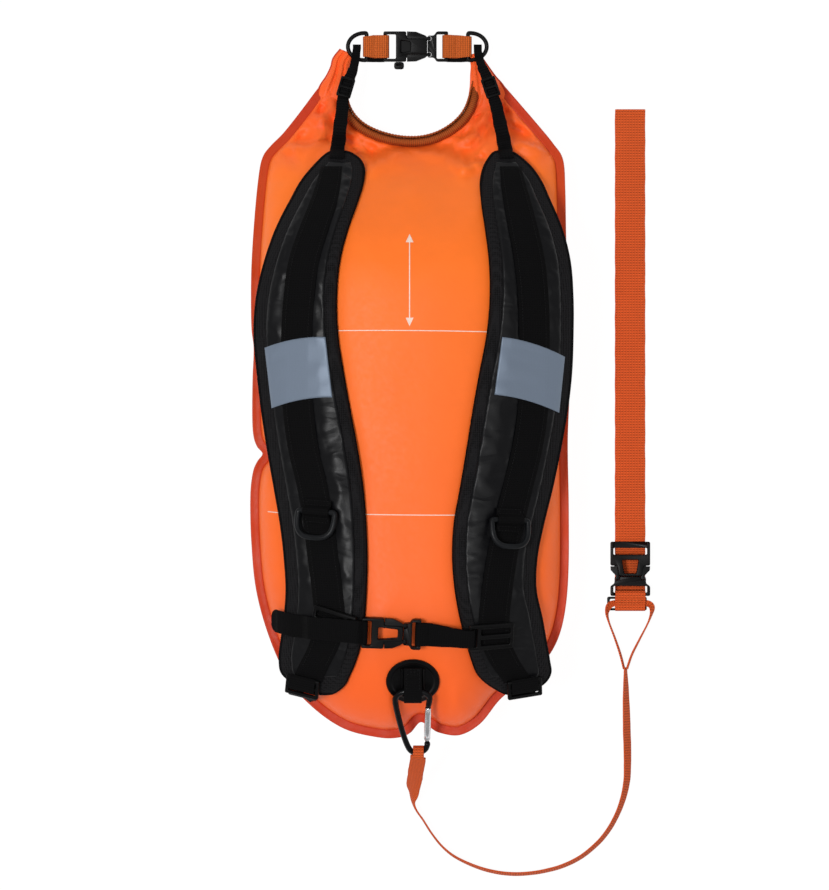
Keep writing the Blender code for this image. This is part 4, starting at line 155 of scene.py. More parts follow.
STRAP_SHARES = {  # (share of the pad's length from its top, centre, width)
    "left": (
        (0.00, -0.483, 0.60), (0.03, -0.496, 0.70), (0.09, -0.539, 0.88), (0.14, -0.598, 0.96),
        (0.20, -0.662, 1.00), (0.27, -0.696, 1.00), (0.34, -0.711, 1.00), (0.41, -0.711, 1.00),
        (0.48, -0.700, 1.00), (0.55, -0.668, 1.00), (0.62, -0.612, 1.00), (0.69, -0.570, 1.00),
        (0.75, -0.545, 1.00), (0.81, -0.519, 1.00), (0.87, -0.507, 1.00), (0.91, -0.540, 1.00),
        (0.95, -0.606, 1.00), (0.98, -0.650, 1.00), (1.00, -0.668, 1.00),
    ),
    "right": (
        (0.00, 0.622, 0.62), (0.03, 0.629, 0.70), (0.09, 0.666, 0.88), (0.14, 0.702, 0.96),
        (0.20, 0.742, 1.00), (0.27, 0.766, 1.00), (0.34, 0.774, 1.00), (0.41, 0.772, 1.00),
        (0.48, 0.764, 1.00), (0.55, 0.728, 1.00), (0.62, 0.670, 1.00), (0.69, 0.612, 1.00),
        (0.75, 0.570, 1.00), (0.81, 0.540, 1.00), (0.87, 0.522, 1.00), (0.91, 0.540, 1.00),
        (0.95, 0.608, 1.00), (0.98, 0.680, 1.00), (1.00, 0.712, 1.00),
    ),
}
PATCH_THICK = 0.6 * MM
PATCH_BOW = 3 * MM
PATCH_CORNER_SHARES = {  # top left, top right, foot right, foot left
    "left": ((-0.912, 0.130), (-0.530, 0.160), (-0.487, -0.014), (-0.868, -0.045)),
    "right": ((0.571, 0.160), (0.966, 0.104), (0.930, -0.058), (0.523, -0.006)),
}

# Load straps from the closure rings to the pads: (x, y, height above the seam, width), first
# in millimetres from the middle of the ring's bar, then as shares of the bag
LOAD_WIDTH = 11 * MM
LOAD_THICK = 1.6 * MM
LOAD_HEAD_ROUTE = {
    "left": (
        (-9.51, 1.576, -0.03, 0.75), (-9.51, -1.704, 0.01, 0.75), (-9.813, -5.312, 0.040, 0.75),
        (-10.419, -9.904, 0.048, 0.8),
    ),
    "right": (
        (9.236, 1.576, -0.03, 0.75), (9.236, -1.704, 0.01, 0.75), (9.539, -5.312, 0.040, 0.75),
        (10.448, -9.904, 0.048, 0.8),
    ),
}
LOAD_SHARES = {
    "left": (
        (-0.353, 0.960, 0.14, 0.8), (-0.366, 0.938, 0.22, 0.85),
        (-0.388, 0.915, 0.26, 0.95), (-0.408, 0.890, 0.275, 1.0), (-0.425, 0.855, 0.285, 1.0),
        (-0.434, 0.810, 0.310, 1.1), (-0.445, 0.765, 0.380, 1.15),
    ),
    "right": (
        (0.443, 0.963, 0.16, 0.8), (0.457, 0.945, 0.23, 0.85),
        (0.480, 0.920, 0.265, 0.95), (0.505, 0.890, 0.275, 1.0), (0.528, 0.855, 0.285, 1.0),
        (0.552, 0.810, 0.310, 1.1), (0.572, 0.765, 0.380, 1.15),
    ),
}
LOAD_FOOT_SHARES = {  # (x, y, width) of the end that lies on the pad
    "left": ((-0.455, 0.725, 1.2), (-0.460, 0.705, 1.2), (-0.464, 0.682, 1.2)),
    "right": ((0.590, 0.725, 1.2), (0.598, 0.705, 1.2), (0.604, 0.682, 1.2)),
}
LOAD_GAP = 0.4 * MM
SLIDER_THICK = 3 * MM

# D rings on the shoulder straps
STRAP_RING_SHARES = {"left": 0.664, "right": 0.680}  # of the pad's length
STRAP_RING_TURN = {"left": -4 * DEG, "right": -2 * DEG}
STRAP_RING_BAR = 38 * MM
STRAP_RING_REACH = 25 * MM
STRAP_RING_WIRE = 5.4 * MM
STRAP_RING_LIFT = STRAP_RING_WIRE / 2 + SOFT_GAP  # of the ring's bar above the strap
STRAP_RING_CORNER = 4 * MM
STRAP_RING_REST = 8 * DEG
KEEPER_WIDTH = 27 * MM
KEEPER_REACH = 11 * MM
KEEPER_FOOT = 1.8 * MM  # from the ring's wire to where the keeper lies flat
KEEPER_TURNS = (165, 15)  # over the ring's wire, in degrees

# Sternum strap
STERNUM_SLIDER_SHARES = {"left": 0.868, "right": 0.893}  # of the pad's length
STERNUM_SLIDER_TURN = {"left": -12 * DEG, "right": -3 * DEG}
STERNUM_SLIDER_WIDTH = 36 * MM
STERNUM_SLIDER_LENGTH = 26 * MM
STERNUM_WEB_WIDTH = 22 * MM
STERNUM_BUCKLE_OFFSET = (30.696 * MM, -8.908 * MM)  # of the socket from the left slider
STERNUM_TURN = -2 * DEG
TAIL_REACH = 12 * MM  # of the spare webbing past the pad
STERNUM_SEAT = 1.6 * MM
STERNUM_RAIL_WEB_WIDTH = 18 * MM
RETURN_REACH = 6 * MM  # of the webbing's end under the socket
TAIL_RISE = 11 * MM
TAIL_SAG = 4 * MM
TAIL_LEAD = 0.6 * MM
TAIL_GAP = 0.7 * MM
TAIL_ROWS = 15

# Ladder locks at the feet of the shoulder straps
LOCK_X_SHARES = {"left": -0.675, "right": 0.714}  # of the bag's half width
LOCK_SHARES = {"left": 0.98655, "right": 0.98973}  # of the pad's length
LOCK_TURN = {"left": -6 * DEG, "right": 2 * DEG}
LOCK_WIDTH = 34 * MM
LOCK_LENGTH = 19 * MM
LOCK_THICK = 3.5 * MM
LOWER_WEB_WIDTH = 25 * MM
LOWER_WEB_ROWS = 9
LANDING_BOW = 8 * MM
LOWER_WEB_BOW = 6 * MM
LOWER_WEB_TUCK = 0.8 * MM  # of it under the lock
LOWER_WEB_TURN_SHARE = 0.45  # of its length, after which it turns to lie on the seam

# Anchor disc, its loop and the carabiner
ANCHOR_SHARE = (0.015, -0.832)
ANCHOR_DIAMETER = 51 * MM
ANCHOR_RIM = 1.6 * MM
ANCHOR_THICK = 3.2 * MM
LOOP_WIDTH = 17 * MM
LOOP_TOP = 17 * MM  # above the disc's centre, along the bag
LOOP_SEWN = 7 * MM  # of the top end, over the lower end
LOOP_LIFT = 1.8 * MM
LOOP_SEAT = 0.4 * MM
LOOP_DROP = 16 * MM
LOOP_BAR_UP = 8 * MM  # of the carabiner's bar above the loop's fold
CARABINER_WIRE = 5.6 * MM
CARABINER_SLOPE = 33 * DEG
CARABINER_LENGTH = 76 * MM
CARABINER_BROAD = 33 * MM
CARABINER_SHARES = (  # (of half the broad width, of the length), from the nose round
    (0.88, -0.249), (0.95, -0.150), (0.93, -0.080), (0.58, -0.014), (0.00, 0.000),
    (-0.60, -0.014), (-0.97, -0.095), (-0.97, -0.240), (-0.66, -0.600), (-0.34, -0.865),
    (-0.08, -0.975), (0.32, -1.000), (0.68, -0.955), (0.82, -0.880), (0.82, -0.834),
)
GATE_HINGE_SHARE = (0.82, -0.775)
GATE_TOP_SHARE = (0.88, -0.262)
GATE_DIAMETER = 6.2 * MM
TANG_THICK = 2 * MM  # of the flat that the gate turns on
TANG_WIDTH = 4.4 * MM
TANG_BEVEL = 0.2 * MM

# Side-release buckles: lengths along the strap from the socket's outer end
BUCKLES = {
    "closure": {"bar": 3.2 * MM, "plug_bar": 3.2 * MM, "length": 62 * MM},
    "sternum": {
        "width": 29 * MM, "thick": 8 * MM, "bar": 3.2 * MM, "plug_bar": 3.2 * MM, "length": 56 * MM,
    },
    "belt": {"bar": 6 * MM, "slot": 12.5 * MM, "plug_bar": 3.2 * MM, "length": 52 * MM},
}
BUCKLE_BAR_THICK = 3.2 * MM
SIDE_BAR = 3 * MM  # of a slider's side loop
SIDE_SLOT = 5 * MM

# Waist belt, folded in half beside the bag
BELT_X = 210.5 * MM
BELT_WIDTH = 29 * MM
BELT_TOP = 272 * MM
BELT_FOOT = -208 * MM
BELT_BUCKLE_Y = -142 * MM  # of the socket's outer end
BELT_BUCKLE_HEIGHT = 9.3 * MM
BELT_LAYER_GAP = 0.45 * MM
BELT_EASE = 0.3 * MM
BELT_LEAD = 8 * MM
BELT_DROP = 2 * MM
GLIDE_LENGTH = 13.2 * MM
GLIDE_THICK = 3 * MM

# Leash: route of the webbing's middle, (x, y, z, turn of its width from level)
LEASH_WIDTH = 15 * MM
HITCH_WIDTH = 7 * MM
HITCH_EASE = 2.6 * MM
HITCH_TURNS = (-35, 305)  # round the carabiner, in degrees
LEASH_ROUTE = (
    (7.4, -345.5, 83.8, 8), (6.6, -350.8, 75.0, 10), (5.6, -357.2, 63.6, 14),
    (4.6, -363.8, 51.0, 22), (3.5, -370.4, 38.0, 34), (2.4, -376.8, 25.8, 48),
    (1.8, -383.5, 15.5, 62), (2.2, -391.0, 9.8, 74), (5.6, -399.5, 8.3, 80),
    (11.9, -408.5, 8.3, 80), (19.5, -420.5, 8.3, 79), (28.8, -432.5, 8.2, 76),
    (39.2, -441.8, 8.1, 70), (51.2, -448.6, 7.8, 64), (64.2, -454.0, 7.5, 58),
    (77.2, -457.8, 7.3, 54), (90.4, -460.0, 7.2, 52), (103.6, -460.5, 7.1, 51),
    (116.4, -459.6, 7.1, 51), (129.2, -457.4, 7.2, 52), (146.4, -452.6, 7.4, 55),
    (164.4, -443.4, 7.6, 59), (180.4, -429.8, 7.8, 62), (191.2, -416.0, 7.9, 64),
    (199.0, -401.0, 7.9, 65), (204.4, -385.6, 7.8, 62), (207.2, -370.6, 7.6, 58),
    (207.9, -355.6, 7.4, 55), (207.7, -338.4, 7.3, 53), (207.2, -320.4, 7.3, 53),
    (206.7, -300.4, 7.5, 57), (206.3, -280.4, 7.9, 66), (206.0, -265.1, 8.2, 78),
)
EYE_ROUTE = (  # and its width as a share of the leash's
    (207.4, -264.0, 8.2, 82, 1), (212.0, -250.5, 8.2, 82, 1), (219.5, -235.5, 8.2, 84, 1),
    (226.8, -221.5, 8.4, 86, 1), (230.0, -213.5, 9.2, 80, 0.92), (231.2, -208.6, 9.8, 66, 0.84),
    (231.0, -204.6, 8.9, 44, 0.74), (229.2, -202.0, 7.2, 18, 0.66),
    (225.8, -200.8, 6.15, 0, 0.62),
    (217.0, -200.7, 6.15, 0, 0.64), (209.0, -200.7, 6.15, 0, 0.64),
    (201.0, -200.7, 6.15, 0, 0.64),
    (195.4, -200.8, 6.15, 0, 0.62), (192.0, -202.0, 7.4, -18, 0.66),
    (189.4, -204.9, 9.2, -46, 0.74),
    (188.4, -208.8, 10.0, -66, 0.84), (188.6, -213.5, 9.4, -80, 0.92), (190.9, -221.5, 8.4, -86, 1),
    (196.2, -235.5, 8.2, -84, 1), (201.2, -250.5, 8.2, -82, 1), (204.6, -264.0, 8.2, -82, 1),
)
HALF_WIDTH = BAG_WIDTH / 2
HALF_LENGTH = BAG_LENGTH / 2
CLOSURE_Y = HALF_LENGTH + CLOSURE_REACH
CLOSURE_RING_X = {"left": CLOSURE_RING_LEFT_X, "right": CLOSURE_RING_RIGHT_X}
ROUTE_UNIT = MM


def at(share):
    return np.array([share[0] * HALF_WIDTH, share[1] * HALF_LENGTH])


def smoothstep(t):
    t = np.clip(t, 0, 1)
    return t * t * (3 - 2 * t)


def smooth_path(points, steps, closed=False):
    """Points along a Catmull-Rom curve through the given ones."""
    points = np.array(points, float)
    count = len(points)
    if closed:
        padded = np.vstack([points[-1:], points, points[:2]])
    else:
        first, last = 2 * points[0] - points[1], 2 * points[-1] - points[-2]
        padded = np.vstack([first, points, last])
    found = []
    for i in range(count if closed else count - 1):
        a, b, c, d = padded[i : i + 4]
        for k in range(steps):
            t = k / steps
            found.append(
                (2 * b + (c - a) * t + (2 * a - 5 * b + 4 * c - d) * t**2
                 + (3 * b - a - 3 * c + d) * t**3) / 2
            )
    if not closed:
        found.append(points[-1])
    return np.array(found)


def smooth_at(table, t):
    """The columns of a table after the first, at place t of the first, on a smooth curve."""
    table = np.array(table, float)
    keys = table[:, 0]
    slopes = np.gradient(table[:, 1:], keys, axis=0)
    i = int(np.clip(np.searchsorted(keys, t) - 1, 0, len(keys) - 2))
    span = keys[i + 1] - keys[i]
    u = np.clip((t - keys[i]) / span, 0, 1)
    return (
        (2 * u**3 - 3 * u**2 + 1) * table[i, 1:]
        + (u**3 - 2 * u**2 + u) * span * slopes[i]
        + (3 * u**2 - 2 * u**3) * table[i + 1, 1:]
        + (u**3 - u**2) * span * slopes[i + 1]
    )


def unit(rows):
    return rows / np.linalg.norm(rows, axis=1)[:, None]


def headings(path, closed=False):
    """Unit vectors along a path, at each of its points."""
    if closed:
        return unit(np.roll(path, -1, axis=0) - np.roll(path, 1, axis=0))
    return unit(np.gradient(path, axis=0))


def left_normals(path, closed=False):
    """Unit vectors to the left of a path in the plane."""
    along = headings(path, closed)
    return np.column_stack([-along[:, 1], along[:, 0]])


def lengths_along(path):
    """How far along a path each of its points is."""
    return np.concatenate([[0], np.cumsum(np.linalg.norm(np.diff(path, axis=0), axis=1))])


def ring_place(points, ring):
    """How far inside a ring points lie, negative outside it, how far round it, and its length."""
    points = np.atleast_2d(points)
    start, end = ring, np.roll(ring, -1, axis=0)
    edge = end - start
    rise = np.where(edge[:, 1] == 0, 1, edge[:, 1])
    length = np.linalg.norm(edge, axis=1)
    before = np.concatenate([[0], np.cumsum(length)[:-1]])
    depths, places = [], []
    for chunk in np.array_split(points, max(1, len(points) // CHUNK)):
        rel = chunk[:, None, :] - start[None]
        t = np.clip((rel * edge).sum(2) / (edge**2).sum(1), 0, 1)
        gap = np.linalg.norm(rel - t[..., None] * edge, axis=2)
        nearest, row = gap.argmin(1), np.arange(len(chunk))
        above = (start[:, 1] > chunk[:, None, 1]) != (end[:, 1] > chunk[:, None, 1])
        cross = start[:, 0] + (chunk[:, None, 1] - start[:, 1]) / rise * edge[:, 0]
        inside = ((chunk[:, None, 0] < cross) & above).sum(1) % 2 == 1
        depths.append(np.where(inside, 1, -1) * gap[row, nearest])
        places.append(before[nearest] + t[row, nearest] * length[nearest])
    return np.concatenate(depths), np.concatenate(places), float(length.sum())


def inside_distance(points, ring):
    return ring_place(points, ring)[0]


# The seam runs anticlockwise, so the bag lies to its left
SEAM_PATH = smooth_path([at(share) for share in SEAM_SHARES], SEAM_STEPS)
PLAIN_ROWS = [share for i, share in enumerate(SEAM_SHARES) if i not in SIDE_NOTCH + FOOT_NOTCH]
PLAIN_SEAM = smooth_path([at(share) for share in PLAIN_ROWS], SEAM_STEPS)
MOUTH_PATH = smooth_path([at(share) for share in MOUTH_SHARES], MOUTH_STEPS)


def roll_thickness():
    """Of the roll at each point of the mouth."""
    along = np.linspace(0, 1, len(MOUTH_PATH))
    near_end = 1 - np.minimum(along, 1 - along) / ROLL_END_SHARE
    return ROLL_THICK + (ROLL_END_THICK - ROLL_THICK) * smoothstep(near_end)


def below_mouth(depth):
    """The mouth's path moved away from the handle gap by a depth at each point."""
    return MOUTH_PATH - left_normals(MOUTH_PATH) * np.reshape(depth, (-1, 1))


def body_ring(seam, roll_step=None):
    """The inflated body's outline in plan: inside the seam, and below the roll."""
    side = seam + left_normals(seam) * (SEAM_WIDTH + GAP)
    under_roll = below_mouth(WEB_THICK + roll_thickness() + 3 * GAP)
    lowest_tip = min(side[0, 1], side[-1, 1])
    under_roll = under_roll[under_roll[:, 1] < lowest_tip][::-1]
    return np.vstack([side, filled(under_roll, roll_step) if roll_step else under_roll])


BODY_RING = body_ring(SEAM_PATH)
LYING_RING = body_ring(PLAIN_SEAM)


def seam_height(y):
    start, end = (share * HALF_LENGTH for share in NECK_SHARES)
    return SEAM_HEIGHT - NECK_DROP * smoothstep((y - start) / (end - start))


def fullness(y):
    start, end = (share * HALF_LENGTH for share in THIN_SHARES)
    return 1 - MOUTH_THIN_SHARE * smoothstep((y - start) / (end - start))


def pillow(depth):
    left = 1 - np.clip(depth / PILLOW_REACH, 0, 1)
    return np.sqrt(1 - left**2)


def lying_height(points):
    """The harness side, carried on at a steady slope where the bag falls away more steeply."""
    points = np.atleast_2d(points)
    depth = inside_distance(points, LYING_RING)
    pull = LYING_SLOPE * PILLOW_REACH / BAG_RISE
    edge = PILLOW_REACH * (1 - pull / math.sqrt(1 + pull**2))
    rise = BAG_RISE * pillow(np.maximum(depth, edge)) - LYING_SLOPE * np.maximum(edge - depth, 0)
    return seam_height(points[:, 1]) + rise * fullness(points[:, 1])


def slope_at(height, x, y, step=SLOPE_STEP):
    """How steeply a height changes along X and along Y."""
    across = height([(x - step, y), (x + step, y)])
    along = height([(x, y - step), (x, y + step)])
    return (across[1] - across[0]) / (2 * step), (along[1] - along[0]) / (2 * step)


# Harness layers, from the bag up
PAD_TOP = SOFT_GAP + PAD_THICK
COVER_TOP = PAD_TOP + GAP + COVER_THICK


def pad_y(share):
    return PAD_TOP_SHARE * HALF_LENGTH - share * PAD_LENGTH


def pad_share(y):
    return (PAD_TOP_SHARE * HALF_LENGTH - y) / PAD_LENGTH


def pad_row(side, share):
    """(centre, half width) of a pad, in metres."""
    centre, half = smooth_at(PAD_SHARES[side], share)
    return centre * HALF_WIDTH, half * PAD_WIDTH / 2


def strap_row(side, share):
    centre, width = smooth_at(STRAP_SHARES[side], share)
    return centre * HALF_WIDTH, width * STRAP_WIDTH / 2


def pad_thickness(side, x, y):
    share = pad_share(y)
    centre, half = pad_row(side, share)
    from_edge = min(half - abs(x - centre), share * PAD_LENGTH, (1 - share) * PAD_LENGTH)
    flat = 1 - min(max(from_edge, 0) / PAD_CROWN, 1)
    return PAD_EDGE + (PAD_THICK - PAD_EDGE) * math.sqrt(1 - flat**2)


def facet_height(z, u, v):
    """Height inside a four-cornered facet, however it is split into triangles."""
    if u >= v:
        first = z[0, 0] + u * (z[1, 0] - z[0, 0]) + v * (z[1, 1] - z[1, 0])
    else:
        first = z[0, 0] + v * (z[0, 1] - z[0, 0]) + u * (z[1, 1] - z[0, 1])
    if u + v <= 1:
        second = z[0, 0] + u * (z[1, 0] - z[0, 0]) + v * (z[0, 1] - z[0, 0])
    else:
        second = z[1, 1] + (1 - u) * (z[0, 1] - z[1, 1]) + (1 - v) * (z[1, 0] - z[1, 1])
    return min(first, second)


def lift_clear(grid, floor, gap):
    """Raise a grid of points until the facets between them clear what lies below."""
    rise = np.zeros(grid.shape[:2])
    for i in range(grid.shape[0] - 1):
        for j in range(grid.shape[1] - 1):
            four = grid[i : i + 2, j : j + 2]
            for u in FACET_SPOTS:
                for v in FACET_SPOTS:
                    plan = (
                        (1 - u) * (1 - v) * four[0, 0] + u * (1 - v) * four[1, 0]
                        + (1 - u) * v * four[0, 1] + u * v * four[1, 1]
                    )
                    short = floor(plan[0], plan[1]) + gap - facet_height(four[..., 2], u, v)
                    if short > 0:
                        corner = rise[i : i + 2, j : j + 2]
                        np.maximum(corner, short, out=corner)
    lifted = grid.copy()
    lifted[..., 2] += rise
    return lifted


def arc(centre, radius, start, end, steps=6):
    """Points round part of a circle, angles in degrees."""
    return [
        (
            centre[0] + radius * math.cos((start + (end - start) * k / steps) * DEG),
            centre[1] + radius * math.sin((start + (end - start) * k / steps) * DEG),
        )
        for k in range(steps + 1)
    ]


def rounded(corners, radius, steps=2):
    """An outline with each corner rounded by a short curve."""
    found = []
    count = len(corners)
    for i, corner in enumerate(corners):
        here = np.array(corner, float)
        before = np.array(corners[i - 1], float) - here
        after = np.array(corners[(i + 1) % count], float) - here
        reach = min(radius, np.linalg.norm(before) / 2.1, np.linalg.norm(after) / 2.1)
        a = here + before / np.linalg.norm(before) * reach
        b = here + after / np.linalg.norm(after) * reach
        for k in range(steps + 1):
            t = k / steps
            found.append(tuple((1 - t) ** 2 * a + 2 * t * (1 - t) * here + t**2 * b))
    return found


def frame_of(origin, x_axis, up):
    """A frame at an origin with its X axis given and its Z axis as near up as that allows."""
    x_axis = Vector(x_axis).normalized()
    z_axis = Vector(up)
    z_axis = (z_axis - z_axis.dot(x_axis) * x_axis).normalized()
    y_axis = z_axis.cross(x_axis)
    place = Matrix((x_axis, y_axis, z_axis)).transposed().to_4x4()
    place.translation = Vector(origin)
    return place


def strap_frame(x, y, turn=0):
    """A frame touching the harness side's smooth surface, turned in plan."""
    slope_x, slope_y = slope_at(lying_height, x, y)
    up = Vector((-slope_x, -slope_y, 1)).normalized()
    heading = Vector((math.cos(turn), math.sin(turn), 0))
    heading -= heading.dot(up) * up
    return frame_of((x, y, float(lying_height([(x, y)])[0])), heading, up)


def seated(place, box, floor, gap):
    """Lift a frame until a rectangle in its own plane lies a gap above the floor."""
    x0, y0, x1, y1 = box
    rise = -SKY
    for a in np.linspace(x0, x1, SEAT_SPOTS):
        for b in np.linspace(y0, y1, SEAT_SPOTS):
            spot = place @ Vector((a, b, 0))
            rise = max(rise, floor(spot.x, spot.y) - spot.z)
    up = place.to_3x3() @ Vector((0, 0, 1))
    return Matrix.Translation((0, 0, rise + gap / up.z)) @ place


def harness_floor(side, *others):
    return solids_below(f"shoulder_webbing_{side}", f"pad_cover_{side}", f"shoulder_pad_{side}", *others)


def ring_outline(bar, reach, corner, steps):
    """The middle line of a D: a straight bar along X, and a bow that hangs to -Y."""
    half = bar / 2
    points = rounded([(-half, -corner), (-half, 0), (half, 0), (half, -corner)], corner, 3)[3:-3]
    points = [(-half, -corner)] + points + [(half, -corner)]
    drop = reach - corner
    bow = [
        (half * math.cos(math.pi * k / steps), -corner - drop * math.sin(math.pi * k / steps))
        for k in range(1, steps)
    ]
    return points + bow


def bar_wrap(bar):
    """Radius of webbing's middle round a flat bar of a buckle."""
    return math.hypot(bar / 2, BUCKLE_BAR_THICK / 2) + GAP + WRAP_EASE + WEB_THICK / 2


def band_round_bars(left, right, left_radius, right_radius, height):
    """A closed band of double webbing between two bars, as (along, height) points."""
    lie = WEB_THICK / 2 + GAP / 2
    taper_left, taper_right = BAND_TAPER * left_radius, BAND_TAPER * right_radius
    top = [(left + taper_left, height + lie), (right - taper_right, height + lie)]
    foot = [(right - taper_right, height - lie), (left + taper_left, height - lie)]
    return (
        top
        + arc((right, height), right_radius, 90, -90)
        + foot
        + arc((left, height), left_radius, -90, -270)
    )


def sternum_slider_frame(side):
    share = STERNUM_SLIDER_SHARES[side]
    x, _ = strap_row(side, share)
    place = strap_frame(x, pad_y(share), STERNUM_SLIDER_TURN[side])
    half, reach = STERNUM_SLIDER_WIDTH / 2, STERNUM_SLIDER_LENGTH / 2
    gap = STERNUM_SEAT + SLIDER_THICK / 2
    return seated(place, (-half, -reach, half, reach), harness_floor(side), gap)


def carabiner_spot(share):
    length = CARABINER_LENGTH - CARABINER_WIRE
    return share[0] * CARABINER_BROAD / 2, share[1] * length


def carabiner_path():
    """The middle line of the open carabiner, from its nose round to the gate's hinge."""
    return smooth_path([carabiner_spot(share) for share in CARABINER_SHARES], 2)


def belt_path():
    """(y, z) of the belt's webbing, from its end under the socket round both folds."""
    size = BUCKLES["belt"]
    start, z = BELT_BUCKLE_Y, BELT_BUCKLE_HEIGHT
    half = WEB_THICK / 2
    back = GAP + half
    front = back + WEB_THICK + BELT_LAYER_GAP
    fold = (front - back) / 2
    under_bar = z - BUCKLE_BAR_THICK / 2 - GAP - half - BELT_EASE
    inner = start - size["slot"] + WEB_THICK
    outer = start - size["bar"]
    path = [
        (inner, z), (inner + 1.6 * half, z - WEB_THICK), (outer - WEB_THICK, under_bar + BELT_EASE),
        (outer + WEB_THICK, under_bar), (start, under_bar - BELT_EASE),
        (start + BELT_LEAD, (under_bar + front) / 2), (start + 2.5 * BELT_LEAD, front),
        (BELT_TOP - fold, front),
    ]
    path += arc((BELT_TOP - fold, back + fold), fold, 90, -90, 6)[1:]
    over_glide = GAP + GLIDE_THICK + GAP + half
    glide_top = BELT_FOOT + GLIDE_LENGTH + half
    top_layer = over_glide + 2 * (WEB_THICK + BELT_LAYER_GAP)
    bend = (top_layer - over_glide) / 2
    path += [
        (start, back), (glide_top + 3 * BELT_DROP, back), (glide_top + BELT_DROP, over_glide
         - BELT_DROP), (glide_top - half, over_glide),
    ]
    path += arc((BELT_FOOT + bend, over_glide + bend), bend, 270, 90, 6)
    plug_bar = start - size["length"] + size["plug_bar"] / 2
    wrap_radius = bar_wrap(size["plug_bar"])
    path += [(plug_bar - 3 * wrap_radius, top_layer + BELT_EASE)]
    path += arc((plug_bar, z), wrap_radius, 125, -75, 9)
    return path


# Picture: a pixel's size where the bag lies, and the camera that took it
PIXEL = 0.95 * MM
PICTURE_ZERO = (410.5, 393.0)  # the pixel over the frame's origin
PICTURE_MIDDLE = (414.5, 445)
PICTURE_TALL = 890
LENS = 380
SENSOR = 36
SHARP_HEIGHT = 85 * MM  # at which a pixel has that size
CAMERA_REACH = 40

# Finer shapes than the solids have: the bag
FINE_SEAM_STEPS = 8
FINE_INSETS = tuple(inset * MM for inset in (0.7, 1.8, 3.5, 6, 9, 13, 17.5, 22.5, 28))
FINE_STEP = 5.6 * MM
NECK_Y = 165 * MM  # above which the bag's faces are finer
NECK_STEP = 0.62 * FINE_STEP
FINE_CORE = 31 * MM
RING_SPACING = (2.2 * MM, 4.2 * MM)  # closest and widest, between points of one inset
ROLL_STEP = 5 * MM  # of the bag's outline under the roll
REST_EASE = 4 * MM  # where the bag's front rounds into the flat that it rests on
LEAST_BAG = 1 * MM  # from the front to the harness side
CREASE_SPACING = 23 * MM
CREASE_DEPTH = 2.1 * MM
CREASE_WIDTH = 2.6 * MM
CREASE_REACH = 44 * MM
WELD_FADE = 5 * MM  # from the weld to where a pucker is at its deepest
FOLD_SHARE = 3.0
FOLD_FADE = 10 * MM
PRESS_REACH = 9 * MM  # past a pad's edge, where the bag is still pressed smooth
PRESS_DEPTH = 1.6 * MM
PRESS_FADE = 20 * MM
SHELF_DROP = 9 * MM  # where the bag flattens towards its mouth
SHELF_STEP = 6 * MM
SHELF_LEVEL = 8 * MM  # past the step, before the bag rises again
SHELF_RISE = 45 * MM
CRUMPLE_REACH = 26 * MM  # of the creases below that line
NECK_RIDGES = (((30 * MM, 15 * MM), 30 * MM), ((15 * MM, 8 * MM), 5 * MM))  # size, height
NECK_VALLEYS = (((17 * MM, 24 * MM), 24 * MM),)
NECK_SINK = 1.5 * MM
SHELF_LINE = (
    (240, 144), (323, 143), (345, 158), (365, 153), (390, 146), (416, 140), (440, 147),
    (462, 158), (485, 164), (505, 146), (514, 143), (600, 144),
)

# Folds of the harness side near the mouth, from the photograph: two pixels, height, width
FOLDS = (
    ((414, 146), (352, 176), 1.9, 7), ((416, 146), (482, 168), 1.7, 7),
    ((415, 150), (414, 205), 1.3, 16), ((270, 143), (328, 142), 1.5, 5),
    ((508, 142), (554, 142), 1.5, 5), ((309, 100), (288, 122), -1.9, 5),
    ((330, 92), (318, 138), 1.3, 6), ((322, 118), (336, 146), -1.3, 5),
    ((470, 126), (446, 141), -1.6, 4), ((462, 118), (436, 134), 1.2, 4),
    ((498, 112), (527, 128), -1.4, 5), ((512, 100), (548, 134), 1.2, 7),
    ((352, 128), (380, 146), 1.3, 4), ((344, 138), (372, 160), -1.4, 5),
    ((468, 150), (500, 158), -1.2, 5), ((262, 440), (300, 462), -2.2, 8),
    ((262, 462), (296, 500), 1.4, 9), ((420, 716), (404, 668), -1.4, 9),
    ((422, 716), (452, 676), -1.2, 9), ((540, 690), (520, 640), 1.1, 12),
    ((590, 560), (566, 600), 1.0, 9), ((256, 300), (276, 330), 1.0, 9),
)

# The weld, the rolled mouth and its webbing
WELT_COLUMNS = (0.0, 0.06, 0.16, 0.3, 0.46, 0.62, 0.8, 1.0, 1.14)
WELT_STEP = 2.4 * MM
WELT_WAVES = (61 * MM, 37 * MM, 19 * MM)
WELT_SWAY = 0.008  # of each wave's length
WELT_PRESS = 0.22 * MM
MOUTH_STEP = 2.5 * MM
ROLL_TUCK = 6  # steps of the roll's ends inside the gathered cloth
ROLL_EXTRA = 5 * GAP
ROLL_TAPER_SHARE = 0.13
ROLL_TURNS = 40
ROLL_WRINKLES = ((34 * MM, 0.35 * MM), (13 * MM, 0.22 * MM), (7 * MM, 0.10 * MM))
ROLL_GROOVES = (0.9, 2.3, 3.6, 5.1)  # round the roll, in radians
ROLL_LAY = 1.7 * MM  # of its weave, from one column to the next

